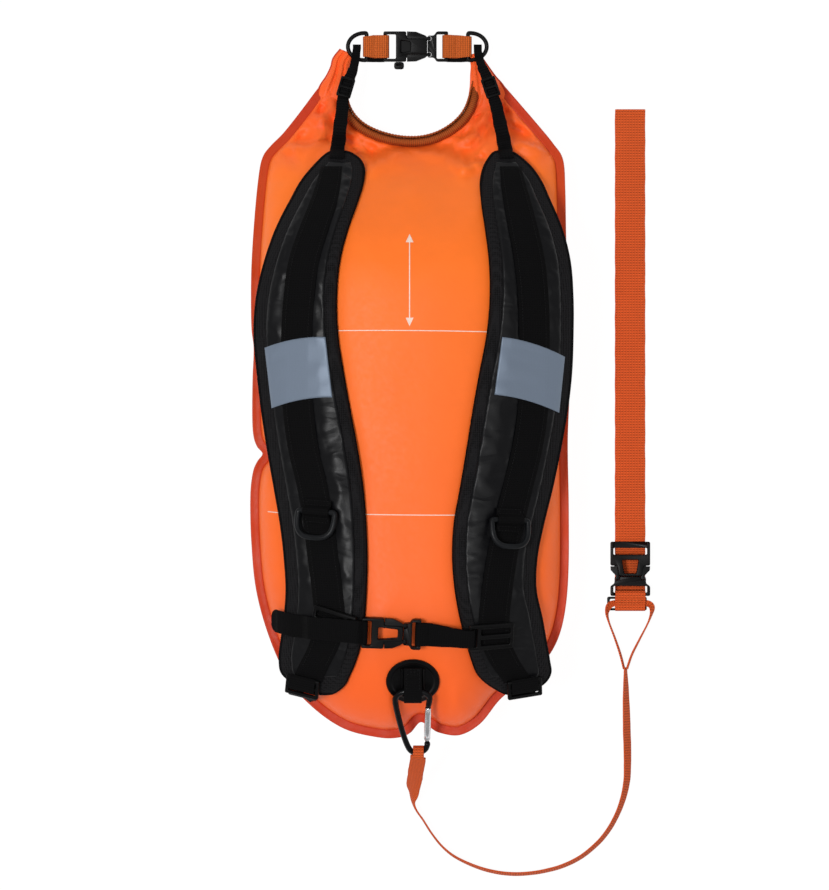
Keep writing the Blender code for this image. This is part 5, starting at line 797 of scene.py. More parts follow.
# The cloth gathered up to each closure ring: outer and inner edge, from the photograph
EARS = {
    "left": (
        ((314, 98), (319.5, 83.5), (326, 73.5), (330.5, 64), (333, 55), (340, 46)),
        ((345, 118), (346, 100), (347, 84), (348, 72), (350, 60), (355, 52)),
    ),
    "right": (
        ((511, 98), (504, 83.5), (496, 74), (489.5, 65), (484, 57), (479, 49)),
        ((467, 118), (468, 100), (470, 84), (470.5, 72), (471, 62), (469, 52)),
    ),
}
EAR_DROP = 3.9 * MM  # of its tip below the ring's middle
EAR_HALF = 0.9 * MM
EAR_SWELL = 6.5 * MM
EAR_EDGE = 1.1 * MM

# Closure strap
CLOSURE_STEP = 1.2 * MM
BACKING_DROP = 2.6 * WEB_THICK
BACKING_SHIFT = 4.2 * MM
BACKING_WIDTH = 21 * MM
CLOSURE_SEAM_SHARES = (2.9, 3.0)  # of the bend's radius, from the left and the right end
CLOSURE_SEAM_HALF = 8.5 * MM
TONGUE_SPAN = (14.5 * MM, 27.5 * MM)  # from the socket's outer end
TONGUE_HALF = 7 * MM
TONGUE_THICK = 1.4 * MM

# Shoulder pads, covers, straps and patches
QUILT_SIZES = (((16 * MM, 11 * MM), 0.5 * MM), ((7 * MM, 6 * MM), 0.2 * MM))
BINDING_STEP = 3 * MM
BINDING_INSET = 2.6 * MM
BINDING_LIFT = 0.6 * MM
BINDING_RADIUS = 4 * MM
BINDING_FLAT = 0.62
BINDING_SEAM = (2.0 * MM, 2.1 * MM)  # of its stitches, in from its middle and up
COVER_GRID = (200, 25)
COVER_SPAN = (0.020, 0.968)  # of the pad's length
COVER_CREASES = (((42 * MM, 15 * MM), 3.2 * MM), ((60 * MM, 8 * MM), 0.8 * MM))
COVER_FOOT = 0.2 * MM
COVER_HOLD = 3 * MM  # from the strap's edge to where the cover is free
COVER_RISE = 3 * MM  # the farthest that it settles from where it was laid
COVER_SINK = 0.1 * MM
COVER_PRESSURE = 1.2
COVER_SHRINK = -0.05
CALM_SHARE = 0.03  # of its creases left where the sternum strap slides
CALM_REACH = 38 * MM
CALM_FADE = 12 * MM
CLOTH = {
    "vertex_group_mass": "held", "pin_stiffness": 30, "quality": 6, "mass": 0.25,
    "tension_stiffness": 22, "compression_stiffness": 22, "shear_stiffness": 8,
    "bending_stiffness": 0.12, "tension_damping": 8, "compression_damping": 8,
    "use_pressure": True,
}
STRAP_CLEAR = 0.25 * MM
STRAP_SINK = 0.6 * MM
STRAP_EDGE = 0.45  # of the webbing's thickness, at its edges
LOCK_CLEAR = 14 * MM  # of the strap's stitches from its foot, where the lock tilts
THREAD_LIFT = 0.05 * MM
PATCH_CLEAR = 0.35 * MM

# Pinches of the covers, from the photograph: two pixels, height, width
COVER_FOLDS = (
    ((261, 270), (286, 275), 1.6, 2.4), ((263, 282), (285, 279), 1.1, 2.2),
    ((311, 278), (331, 296), 1.8, 2.4), ((313, 288), (326, 304), 1.2, 2.2),
    ((270, 330), (284, 336), 0.8, 2.6), ((325, 500), (345, 512), 1.2, 2.4),
    ((322, 545), (346, 540), 1.2, 2.4), ((288, 556), (306, 562), 1.3, 2.4),
    ((330, 580), (350, 588), 1.2, 2.4), ((290, 590), (304, 600), 1.2, 2.4),
    ((501, 306), (522, 310), 1.6, 2.4), ((503, 297), (520, 301), 1.0, 2.2),
    ((545, 290), (566, 296), 1.4, 2.4), ((545, 306), (568, 304), 1.8, 2.4),
    ((467, 528), (488, 521), 1.6, 2.4), ((466, 541), (488, 536), 1.3, 2.2),
    ((468, 554), (486, 562), 1.6, 2.4), ((500, 560), (524, 552), 1.6, 2.4),
    ((504, 572), (526, 577), 1.3, 2.4), ((488, 420), (500, 440), 1.0, 3.2),
)

# Load straps, rings, sternum strap and ladder locks
SLEEVE_START = 0.36  # of the load strap's length
SLEEVE_LIFT = 0.35 * MM
SLEEVE_EXTRA = 0.5 * MM
SLEEVE_PUFF = 0.7 * MM
RING_STEP = 1.1 * MM
BOW_POWER = 0.68  # squares a D ring's bow a little
KEEPER_STEP = 1 * MM
STRAP_STEP = 1.3 * MM
TAIL_ROUND = 7 * MM  # of the sternum strap's rounded tail
LOCK_WEB_CLEAR = 0.15 * MM
LOCK_WEB_EXTRA = 1.5 * MM
LOCK_WEB_STEP = 0.8 * MM

# The strap's end over the ladder lock: along from the lock's head or its middle, and up
LOCK_WEB_HEAD = ((0.5 * MM, -1.8 * MM), (-0.6 * MM, -0.3 * MM), (-3 * MM, 0))
LOCK_WEB_FOOT = ((0, 0), (-2.4 * MM, -0.3 * MM), (-4.2 * MM, -1.8 * MM), (-4.8 * MM, -3.6 * MM))

# Anchor and carabiner
DISC_SIDES = 72
DISC_PROFILE = (  # share of the radius, height of the pressed ring
    (0, 0), (0.12, 0), (0.3, 0), (0.5, 0), (0.66, 0), (0.72, 0.25 * MM), (0.76, 0.7 * MM),
    (0.79, 0.5 * MM), (0.83, -0.3 * MM), (0.88, -0.1 * MM), (0.94, 0), (0.975, 0), (1.0, -1.3 * MM),
)
DISC_SHARE = 0.995
DISC_LIFT = 0.9 * MM
DISC_SETTLE = 0.6  # of the way to the solid's height
DISC_SKIRT = 3 * MM
LOOP_STEP = 1 * MM
RIB_RADIUS = 1.1 * MM
RIB_CLEAR = 1.4 * MM
RIB_LIFT = 0.3 * MM
RIB_SPAN = (LOOP_TOP - 2 * MM, -0.6 * LOOP_TOP)
ROD_START = (0.72, 0.9, 0.98)  # of the rod's radius, at its rounded nose
ROD_END = (0.96, 0.85)
GATE_FOOT = (  # along the gate from its hinge, share of its radius
    (-0.6 * MM, 0.80), (-0.2 * MM, 0.97), (1.6 * MM, 1.0), (2.0 * MM, 0.93), (2.6 * MM, 0.93),
    (3.0 * MM, 1.0),
)
GATE_HEAD = (  # back from its end
    (3.4 * MM, 1.0), (3.0 * MM, 0.93), (2.3 * MM, 0.93), (1.9 * MM, 1.0), (0.5 * MM, 0.98),
    (0, 0.86),
)

# Leash and belt
EDGE_TURN = 90 * DEG  # of the leash's width from level, where it stands on its edge
EDGE_FROM = 40  # steps from the carabiner to where it turns on edge
EDGE_STEPS = 24
EDGE_SHARE = 0.68
EDGE_EASE = 0.6  # of that turn, given back towards the belt
LEASH_REACH = 2.6 * MM  # of the leash into the split of its eye
EYE_NARROW = 0.64  # of the leash's width, where its eye is folded lengthwise
HITCH_SWELL = 1.45
LEASH_SEAMS = ((0.955, 0.995), (0.005, 0.03))  # shares of its length that are sewn
STITCH_PITCH = 3.0 * MM
STITCH_LONG = 2.1 * MM
STITCH_FAT = 0.26 * MM
STITCH_INSET = 2.0 * MM  # from a webbing's edge
STITCH_INSET_BOX = 2.2 * MM
BELT_STEP = 1.6 * MM
BELT_SEAM_REACH = 30 * MM
BELT_SEAMS = (7 * MM, 9.6 * MM)  # from the lower fold
BELT_SEAM_HALF = 11.5 * MM

# Printed marks, in pixels: name, start, end and how far the rule bows in millimetres
RULES = (
    ("rule_upper", (338, 331.4), (490, 332.6), -0.6),
    ("rule_lower", (353, 513.6), (471, 514.6), 0.4),
    ("rule_lower_left", (268, 511.5), (279, 512.5), 0.0),
)
RULE_WIDTH = 0.8 * MM
ARROW_ENDS = ((409.6, 235), (409.6, 327))
ARROW_HEAD = 8 * MM
ARROW_HALF = 3.7 * MM
ARROW_LINE = 1 * MM
INK_LIFT = 0.16 * MM

# Webbing's section, as shares of its half width and half thickness, and its slight waver
HALF_SECTION = [(-1.0, 0.15), (-0.995, 0.55), (-0.97, 0.9)]
HALF_SECTION += [(a, 1.0) for a in (-0.90, -0.6, -0.3, 0.0, 0.3, 0.6, 0.90)]
HALF_SECTION += [(0.97, 0.9), (0.995, 0.55), (1.0, 0.15)]
WEB_SECTION = HALF_SECTION + [(a, -b) for a, b in HALF_SECTION[-2:0:-1]]
WAVER_PERIODS = (31 * MM, 17 * MM, 9 * MM)
WAVER_SHARE = 0.0045

# Looks
ORANGE = (0.95, 0.174, 0.017)
SEAM_COLOUR = (0.52, 0.050, 0.005)
STRAP_ORANGE = (0.45, 0.088, 0.013)
BELT_COLOUR = (0.52, 0.074, 0.013)
INK_BLACK = (0.0022, 0.0021, 0.0023)
PAINTED_SHADE_TINT = (0.97, 0.66, 1.15)  # painted shade: the bag's colour scaled darker and redder towards its foot and its mouth
# Spans of Y over which that painted shade fades in, at the foot and at the mouth
FOOT_SHADE_SPAN = (-330 * MM, 120 * MM)
MOUTH_SHADE_SPAN = (200 * MM, 265 * MM)
WEAVE = 1.15 * MM
MESH_CELL = 2.1 * MM
BEAD_CELL = 1.6 * MM
YARN_SHARE = 1.1  # of the ribs' spacing, between columns of yarn
YARN_SWAY = 0.15 * MM
RIB = 2.2 * MM
NARROW_RIB = 1.7 * MM
BELT_RIB = 2.5 * MM
BINDING_RIB = 2.8 * MM
THREAD_RIB = 0.6 * MM
EASED_EDGE = 0.35 * MM
HARDWARE_WELD = 0.01 * MM
SKIP_ANGLE = 38 * DEG  # flatter edges than this are left sharp
WORLD_LEVEL = 0.39
FLOOR_REACH = 4.0
FLOOR_DROP = 0.4 * MM
FLOOR_GLOW = 0.97
LAMPS = (  # name, power, turns about X and Y, and angle, in degrees
    ("key", 1.76, (2, -19), 14), ("fill", 0.52, (12, 20), 50), ("low", 0.18, (-55, -10), 40),
)


def link(obj):
    bpy.context.scene.collection.objects.link(obj)
    return obj


def pixel(x, y):
    return np.array([x - PICTURE_ZERO[0], PICTURE_ZERO[1] - y]) * PIXEL


class Graph:
    """A material's nodes, made one call at a time."""

    def __init__(self, name):
        self.material = bpy.data.materials.new(name)
        self.material.use_nodes = True
        self.tree = self.material.node_tree
        self.shader = self.tree.nodes["Principled BSDF"]

    def node(self, kind, **settings):
        made = self.tree.nodes.new(kind)
        for key, value in settings.items():
            setattr(made, key, value)
        return made

    def join(self, source, target):
        self.tree.links.new(source, target)

    def feed(self, made, **inputs):
        for key, value in inputs.items():
            numbered = key[0] == "i" and key[1:].isdigit()
            socket = made.inputs[int(key[1:]) if numbered else key]
            if isinstance(value, bpy.types.NodeSocket):
                self.join(value, socket)
            else:
                socket.default_value = value
        return made

    def math(self, operation, a, b=0.0, c=None):
        made = self.node("ShaderNodeMath", operation=operation)
        self.feed(made, i0=a, i1=b)
        if c is not None:
            self.feed(made, i2=c)
        return made.outputs[0]

    def metres(self):
        return self.node("ShaderNodeTexCoord").outputs["Object"]

    def laid(self):
        """Along and across a strap, in metres."""
        made = self.node("ShaderNodeSeparateXYZ")
        self.join(self.node("ShaderNodeTexCoord").outputs["UV"], made.inputs[0])
        return made.outputs[0], made.outputs[1]

    def noise(self, size, detail=2.0, roughness=0.5, distortion=0.0, where=None):
        made = self.node("ShaderNodeTexNoise")
        self.feed(made, Scale=1 / size, Detail=detail, Roughness=roughness, Distortion=distortion)
        self.join(where or self.metres(), made.inputs["Vector"])
        return made.outputs["Fac"]

    def ramp(self, fac, low, high, start=0.0, end=1.0):
        made = self.node("ShaderNodeMapRange")
        self.feed(made, Value=fac)
        for key, value in (("From Min", start), ("From Max", end), ("To Min", low), ("To Max", high)):
            made.inputs[key].default_value = value
        return made.outputs[0]

    def wave(self, along, period):
        return self.math("SINE", self.math("MULTIPLY", along, 2 * math.pi / period))

    def tint(self, fac, dark, light):
        made = self.node("ShaderNodeMix", data_type="RGBA")
        self.join(fac, made.inputs["Factor"])
        made.inputs["A"].default_value = (*dark, 1)
        made.inputs["B"].default_value = (*light, 1)
        return made.outputs["Result"]

    def bump(self, height, distance, strength=1.0, under=None):
        made = self.node("ShaderNodeBump")
        made.inputs["Strength"].default_value = strength
        made.inputs["Distance"].default_value = distance
        self.join(height, made.inputs["Height"])
        if under is not None:
            self.join(under, made.inputs["Normal"])
        return made.outputs["Normal"]

    def surface(self, colour, roughness, normal=None, **plain):
        for key, value in (("Base Color", colour), ("Roughness", roughness)):
            if isinstance(value, bpy.types.NodeSocket):
                self.join(value, self.shader.inputs[key])
            else:
                self.shader.inputs[key].default_value = (*value, 1) if key == "Base Color" else value
        if normal is not None:
            self.join(normal, self.shader.inputs["Normal"])
        for key, value in plain.items():
            self.shader.inputs[key.replace("_", " ")].default_value = value
        return self.material


def shade(colour, factor):
    return tuple(channel * factor for channel in colour)


def coated_fabric(name, colour):
    """Woven nylon under a thin matt coating, with painted shade that darkens and reddens it towards the
    bag's foot and mouth.
    """
    g = Graph(name)
    place = g.node("ShaderNodeSeparateXYZ")
    g.join(g.metres(), place.inputs[0])
    weave = g.math("MULTIPLY", *[g.wave(place.outputs[k], WEAVE) for k in (0, 1)])
    broad_size, cloud_size, scuff_size, dent_size = 90 * MM, 18 * MM, 4.5 * MM, 12 * MM
    thread_high, dent_high = 0.05 * MM, 0.5 * MM
    broad = g.noise(broad_size, 2.0)
    cloudy = g.noise(cloud_size, 4.0, 0.6)
    colour_fac = g.math("ADD", g.math("MULTIPLY", broad, 0.6), g.math("MULTIPLY", cloudy, 0.4))
    tone = g.tint(g.ramp(colour_fac, 0, 1, 0.3, 0.7), shade(colour, 0.95), shade(colour, 1.05))
    # Painted shade: mix towards the darker, redder tint at the foot and at the mouth
    shaded_tone = g.node("ShaderNodeMix", data_type="RGBA")
    shade_at_foot = g.ramp(place.outputs[1], 0.9, 0.0, *FOOT_SHADE_SPAN)
    shade_at_mouth = g.ramp(place.outputs[1], 0.0, 0.95, *MOUTH_SHADE_SPAN)
    g.join(g.math("MAXIMUM", shade_at_foot, shade_at_mouth), shaded_tone.inputs["Factor"])
    g.join(tone, shaded_tone.inputs["A"])
    shaded_tone.inputs["B"].default_value = (*(c * k for c, k in zip(colour, PAINTED_SHADE_TINT)), 1)
    scuffs = g.ramp(g.noise(scuff_size, 5.0, 0.7), 0.40, 0.56, 0.35, 0.7)
    normal = g.bump(weave, thread_high, 0.35)
    normal = g.bump(g.noise(dent_size, 3.0, 0.55), dent_high, 0.5, normal)
    return g.surface(shaded_tone.outputs["Result"], scuffs, normal, Specular_IOR_Level=0.22)


def webbing_fabric(name, colour, specular=0.2, rib=RIB, groove_shade_and_stain=0.62):
    """Narrow woven webbing: ribs across it, and columns of yarn along it, with painted shade in its
    grooves and painted highlight on its ribs.
    """
    g = Graph(name)
    fuzz_size, stain_size, rib_high, fuzz_high = 1.1 * MM, 35 * MM, 0.2 * MM, 0.08 * MM
    along, across = g.laid()
    ribs = g.wave(along, rib)
    yarn = g.wave(g.math("ADD", across, g.math("MULTIPLY", ribs, YARN_SWAY)), YARN_SHARE * rib)
    diamonds = g.math("MULTIPLY", ribs, yarn)
    height = g.math("ADD", g.math("MULTIPLY", ribs, 0.45), g.math("MULTIPLY", diamonds, 0.55))
    fuzz = g.noise(fuzz_size, 3.0, 0.65)
    stain = g.noise(stain_size, 3.0, 0.6)
    # Painted shade and highlight: the tone follows the weave's height, dark in its grooves and light on
    # its ribs, with some fuzz and stain mixed in
    fac = g.math("ADD", g.math("MULTIPLY", g.ramp(height, 0, 1, -0.7, 0.7), 0.7),
                 g.math("ADD", g.math("MULTIPLY", fuzz, 0.15), g.math("MULTIPLY", stain, 0.15)))
    tone = g.tint(fac, shade(colour, 1 - groove_shade_and_stain), shade(colour, 1 + groove_shade_and_stain))
    normal = g.bump(height, rib_high, 0.8)
    normal = g.bump(fuzz, fuzz_high, 0.4, normal)
    return g.surface(tone, g.ramp(fuzz, 0.72, 0.92), normal, Specular_IOR_Level=specular)


def air_mesh(name, colour):
    """The knitted spacer mesh on the pads, with painted shade down in its holes."""
    g = Graph(name)
    fuzz_size, hole_deep = 0.9 * MM, 0.35 * MM
    cells = g.node("ShaderNodeTexVoronoi", feature="F1", distance="EUCLIDEAN")
    g.feed(cells, Scale=1 / MESH_CELL, Randomness=0.18)
    g.join(g.metres(), cells.inputs["Vector"])
    holes = g.ramp(cells.outputs["Distance"], 0, 1, 0.1, 0.6)
    fuzz = g.noise(fuzz_size, 2.0, 0.6)
    # Painted shade: near black in the mesh's holes, lighter on the knit between them
    fac = g.math("MULTIPLY", holes, g.ramp(fuzz, 0.6, 1.3))
    tone = g.tint(fac, shade(colour, 0.05), shade(colour, 2.6))
    return g.surface(tone, 0.92, g.bump(holes, hole_deep, 0.8), Specular_IOR_Level=0.12)


def glossy_vinyl(name, colour):
    """Thin shiny coated cloth that creases finely."""
    g = Graph(name)
    fold_size, fine_size, cloud_size = 30 * MM, 6 * MM, 30 * MM
    fold_high, fine_high = 1 * MM, 0.06 * MM
    along, across = g.laid()
    warped = g.node("ShaderNodeCombineXYZ")
    g.feed(warped, X=g.math("MULTIPLY", along, 1.0), Y=g.math("MULTIPLY", across, 0.45))
    folds = g.noise(fold_size, 2.0, 0.5, 0.6, warped.outputs[0])
    fine = g.noise(fine_size, 3.0, 0.6)
    ridges = g.math("ABSOLUTE", g.math("SUBTRACT", folds, 0.5))
    normal = g.bump(g.ramp(ridges, 1, 0, 0, 0.10), fold_high, 0.35)
    normal = g.bump(fine, fine_high, 0.3, normal)
    tone = g.tint(g.noise(cloud_size, 3.0), shade(colour, 0.8), shade(colour, 1.25))
    return g.surface(tone, g.ramp(fine, 0.33, 0.45), normal, Specular_IOR_Level=0.19)


def moulded(name, colour, roughness=0.42, grain=1.2 * MM, specular=0.35):
    """Injection-moulded plastic with a fine spark texture and rubbed high spots."""
    g = Graph(name)
    rub_size, grain_high = 14 * MM, 0.05 * MM
    fine = g.noise(grain, 3.0, 0.6)
    rubbed = g.noise(rub_size, 4.0, 0.6)
    tone = g.tint(g.ramp(rubbed, 0, 1, 0.35, 0.7), shade(colour, 0.85), shade(colour, 1.35))
    return g.surface(tone, g.ramp(rubbed, roughness - 0.07, roughness + 0.10, 0.3, 0.7),
                     g.bump(fine, grain_high, 0.45), Specular_IOR_Level=specular)


def metal(name, colour, roughness, specular, metallic=1.0):
    """Drawn metal: faint lines along the rod, with a few dull spots."""
    g = Graph(name)
    line_size, spot_size, line_high = 0.9 * MM, 6 * MM, 0.01 * MM
    lines = g.node("ShaderNodeMapping")
    g.join(g.metres(), lines.inputs["Vector"])
    lines.inputs["Scale"].default_value = (1, 0.05, 0.05)
    drawn = g.noise(line_size, 1.0, 0.5, 0.0, lines.outputs["Vector"])
    worn = g.noise(spot_size, 4.0, 0.65)
    tone = g.tint(g.ramp(worn, 0, 1, 0.4, 0.7), shade(colour, 0.9), shade(colour, 1.08))
    return g.surface(tone, g.ramp(worn, roughness - 0.05, roughness + 0.12, 0.35, 0.75),
                     g.bump(drawn, line_high, 0.2), Metallic=metallic, Specular_IOR_Level=specular)


def reflective(name, colour):
    """Reflective tape: glass beads in a fine honeycomb."""
    g = Graph(name)
    bead_size, wall_high = 0.4 * MM, 0.05 * MM
    cells = g.node("ShaderNodeTexVoronoi", feature="DISTANCE_TO_EDGE")
    g.feed(cells, Scale=1 / BEAD_CELL, Randomness=0.0)
    g.join(g.metres(), cells.inputs["Vector"])
    walls = g.ramp(cells.outputs["Distance"], 1, 0, 0.0, 0.12)
    beads = g.noise(bead_size, 2.0)
    fac = g.math("MULTIPLY", beads, g.ramp(walls, 1.0, 0.8))
    tone = g.tint(fac, shade(colour, 0.82), shade(colour, 1.16))
    return g.surface(tone, g.ramp(beads, 0.38, 0.58), g.bump(walls, wall_high, 0.5),
                     Metallic=0.25, Specular_IOR_Level=0.4)


def ink(name, colour):
    g = Graph(name)
    speck_size, ink_high = 1.6 * MM, 0.02 * MM
    worn = g.noise(speck_size, 3.0, 0.7)
    tone = g.tint(g.ramp(worn, 0, 1, 0.45, 0.62), colour, shade(colour, 0.86))
    return g.surface(tone, g.ramp(worn, 0.5, 0.62), g.bump(worn, ink_high), Specular_IOR_Level=0.3)


def make_materials():
    """Every material by its name: its maker, then the maker's colour and other values."""
    looks = {
        "coated_orange": (coated_fabric, ORANGE),
        "seam_orange": (coated_fabric, SEAM_COLOUR),
        "webbing_orange": (webbing_fabric, STRAP_ORANGE, 0.2, NARROW_RIB, 0.9),
        "belt_orange": (webbing_fabric, BELT_COLOUR, 0.2, BELT_RIB, 0.6),
        "mouth_orange": (webbing_fabric, shade(STRAP_ORANGE, 0.68), 0.2, NARROW_RIB, 0.9),
        "pad_black": (air_mesh, (0.0042, 0.0040, 0.0044)),
        "cover_black": (glossy_vinyl, (0.0018, 0.0018, 0.0025)),
        "webbing_black": (webbing_fabric, INK_BLACK, 0.07),
        "binding_black": (webbing_fabric, shade(INK_BLACK, 1.5), 0.05, BINDING_RIB, 0.95),
        "reflective_grey": (reflective, (0.160, 0.200, 0.262)),
        "plastic_black": (moulded, INK_BLACK, 0.36, 1.2 * MM, 0.10),
        "plastic_grey": (moulded, (0.0050, 0.0056, 0.0066), 0.36, 1.0 * MM, 0.16),
        "anodised_black": (metal, (0.0040, 0.0040, 0.0046), 0.24, 0.12, 0.0),
        "bright_metal": (metal, (0.68, 0.68, 0.70), 0.20, 0.5),
        "valve_grey": (moulded, (0.04, 0.041, 0.046), 0.45, 1.2 * MM, 0.3),
        "thread_orange": (webbing_fabric, (0.62, 0.15, 0.035), 0.25, THREAD_RIB),
        "thread_black": (webbing_fabric, (0.006, 0.006, 0.0065), 0.2, THREAD_RIB),
        "print_white": (ink, (0.88, 0.66, 0.56)),
    }
    return {name: maker(name, *values) for name, (maker, *values) in looks.items()}


MATERIALS = make_materials()


def mesh_piece(name, points, faces, material, body="bag", nodes=(), uvs=None, angle=None):
    """A new piece from points in the row frame, riding on a body."""
    data = bpy.data.meshes.new(name)
    data.from_pydata([tuple(map(float, p)) for p in points], [], [tuple(map(int, f)) for f in faces])
    if uvs is not None:
        layer = data.uv_layers.new(name="laid")
        loops = np.zeros(len(data.loops), np.int32)
        data.loops.foreach_get("vertex_index", loops)
        layer.data.foreach_set("uv", np.array(uvs, np.float32)[loops].ravel())
    work = bmesh.new()
    work.from_mesh(data)
    bmesh.ops.recalc_face_normals(work, faces=work.faces)
    work.to_mesh(data)
    work.free()
    data.materials.append(MATERIALS[material])
    data.shade_smooth()
    if angle is not None:
        data.set_sharp_from_angle(angle=angle)
    made = link(bpy.data.objects.new(name, data))
    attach(made, body)
    if nodes:
        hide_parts(*nodes)
    return made


class Surface:
    """The upper side of some pieces, found by looking straight down on them."""

    def __init__(self, *pieces):
        self.trees = []
        for piece in pieces:
            points = [v.co.copy() for v in piece.data.vertices]
            faces = [tuple(p.vertices) for p in piece.data.polygons]
            self.trees.append(BVHTree.FromPolygons(points, faces))

    def __call__(self, x, y):
        hits = [tree.ray_cast(Vector((x, y, SKY)), Vector((0, 0, -1)))[0] for tree in self.trees]
        return max((hit.z for hit in hits if hit is not None), default=-SKY)

    def under(self, x, y):
        hits = [tree.ray_cast(Vector((x, y, -SKY)), Vector((0, 0, 1)))[0] for tree in self.trees]
        return min((hit.z for hit in hits if hit is not None), default=SKY)


def solids_below(*names):
    """The upper side of named solids of the part."""
    return Surface(*[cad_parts[name] for name in names])


def filled(path, step, closed=False):
    """A path with points no further apart than a step."""
    path = np.array(path, float)
    pairs = list(zip(path[:-1], path[1:]))
    if closed:
        pairs.append((path[-1], path[0]))
    found = []
    for a, b in pairs:
        parts = max(1, int(math.ceil(np.linalg.norm((b - a)[:3]) / step)))
        found += [a + (b - a) * k / parts for k in range(parts)]
    if not closed:
        found.append(path[-1])
    return np.array(found)


def softened(rows, passes, closed=False):
    rows = np.array(rows, float)
    for _ in range(passes):
        if closed:
            rows = (np.roll(rows, 1, axis=0) + 2 * rows + np.roll(rows, -1, axis=0)) / 4
        else:
            rows[1:-1] = (rows[:-2] + 2 * rows[1:-1] + rows[2:]) / 4
    return rows


def ring_faces(count, sides, closed=False, ends=True):
    """Faces between rings of points that follow one another, and over the two ends."""
    faces = []
    for i in range(count if closed else count - 1):
        a, b = sides * i, sides * ((i + 1) % count)
        for k in range(sides):
            n = (k + 1) % sides
            faces.append((a + k, a + n, b + n, b + k))
    if not closed and ends:
        faces.append(tuple(range(sides))[::-1])
        faces.append(tuple(sides * (count - 1) + k for k in range(sides)))
    return faces


def webbing(name, path, across, width, thick, material, nodes=(), body="bag", closed=False,
            passes=3, step=1.8 * MM, puff=0.0, seed=1):
    """Webbing with rounded edges along a path, its ribs laid square to it."""
    path = np.array([tuple(p) for p in path], float)
    across = np.array([tuple(a) for a in across], float)
    width = np.broadcast_to(width, len(path)).astype(float)
    table = filled(np.column_stack([path, across, width]), step, closed)
    table = softened(table, passes, closed)
    path, across, width = table[:, :3], table[:, 3:6], table[:, 6]
    along = headings(path, closed)
    across = unit(across - (across * along).sum(1)[:, None] * along)
    up = np.cross(across, along)
    length = lengths_along(path)
    rng = np.random.default_rng(seed)
    waver = np.zeros(len(path))
    for period in WAVER_PERIODS:
        waver += np.sin(2 * math.pi * (length / period + rng.random())) * period * WAVER_SHARE
    out, rise = np.array(WEB_SECTION).T[:, None, :]
    half = (width / 2)[:, None] * out + waver[:, None] * np.abs(out) ** 3
    lift = rise * (thick / 2 + puff * (1 - out**2))
    points = path[:, None, :] + half[..., None] * across[:, None, :] + lift[..., None] * up[:, None, :]
    uvs = np.dstack([np.broadcast_to(length[:, None], half.shape), half])
    faces = ring_faces(len(path), len(WEB_SECTION), closed)
    made = mesh_piece(name, points.reshape(-1, 3), faces, material, body, nodes,
                      uvs.reshape(-1, 2), 50 * DEG)
    return made, path, across, up, width


def tube(name, path, radius, sides, material, nodes=(), body="bag", closed=False, up=(0, 0, 1),
         flat=1.0):
    """A round or oval bar along a path."""
    path = np.array([tuple(p) for p in path], float)
    count = len(path)
    radius = np.broadcast_to(radius, count).astype(float)[:, None]
    along = headings(path, closed)
    side = unit(np.cross(np.broadcast_to(np.array(up, float), along.shape), along))
    rise = np.cross(along, side)
    turns = np.array([2 * math.pi * k / sides for k in range(sides)])
    points = (path[:, None, :] + (radius * np.cos(turns))[..., None] * side[:, None, :]
              + (flat * radius * np.sin(turns))[..., None] * rise[:, None, :])
    uvs = np.dstack([np.broadcast_to(lengths_along(path)[:, None], (count, sides)), radius * turns])
    return mesh_piece(name, points.reshape(-1, 3), ring_faces(count, sides, closed), material, body,
                      nodes, uvs.reshape(-1, 2), 50 * DEG)


def grid_piece(name, top, under, material, nodes=(), uvs=None, angle=None):
    """A closed piece between two grids of points of the same size."""
    top, under = np.array(top, float), np.array(under, float)
    rows, columns = top.shape[:2]
    low = rows * columns
    i, j = np.meshgrid(np.arange(rows - 1), np.arange(columns - 1), indexing="ij")
    a, b = (i * columns + j).ravel(), ((i + 1) * columns + j).ravel()
    faces = list(np.column_stack([a, b, b + 1, a + 1]))
    faces += list(np.column_stack([low + a, low + a + 1, low + b + 1, low + b]))
    rim = list(range(columns))
    rim += [k * columns + columns - 1 for k in range(1, rows)]
    rim += [(rows - 1) * columns + k for k in range(columns - 2, -1, -1)]
    rim += [k * columns for k in range(rows - 2, 0, -1)]
    faces += [(p, q, low + q, low + p) for p, q in zip(rim, rim[1:] + rim[:1])]
    if uvs is not None:
        uvs = np.vstack([np.array(uvs).reshape(-1, 2)] * 2)
    points = np.vstack([top.reshape(-1, 3), under.reshape(-1, 3)])
    return mesh_piece(name, points, faces, material, "bag", nodes, uvs, angle)


def spindle(spots, up):
    """Points of one stitch: its two tips, then two rings of four."""
    along = spots[2] - spots[0]
    along /= max(np.linalg.norm(along), 1e-9)
    side, fat = np.cross(up, along), STITCH_FAT
    points = [spots[0] - up * fat * 0.4, spots[2] - up * fat * 0.4]
    for spot in (spots[0] * 0.7 + spots[1] * 0.3, spots[1] * 0.3 + spots[2] * 0.7):
        base = spot + up * THREAD_LIFT
        points += [base + side * fat, base + up * fat * 1.1, base - side * fat, base - up * fat * 0.6]
    return points


def spindle_faces(start):
    faces = []
    for n in range(4):
        m = (n + 1) % 4
        faces += [(start, start + 2 + m, start + 2 + n), (start + 1, start + 6 + n, start + 6 + m),
                  (start + 2 + n, start + 2 + m, start + 6 + m, start + 6 + n)]
    return faces


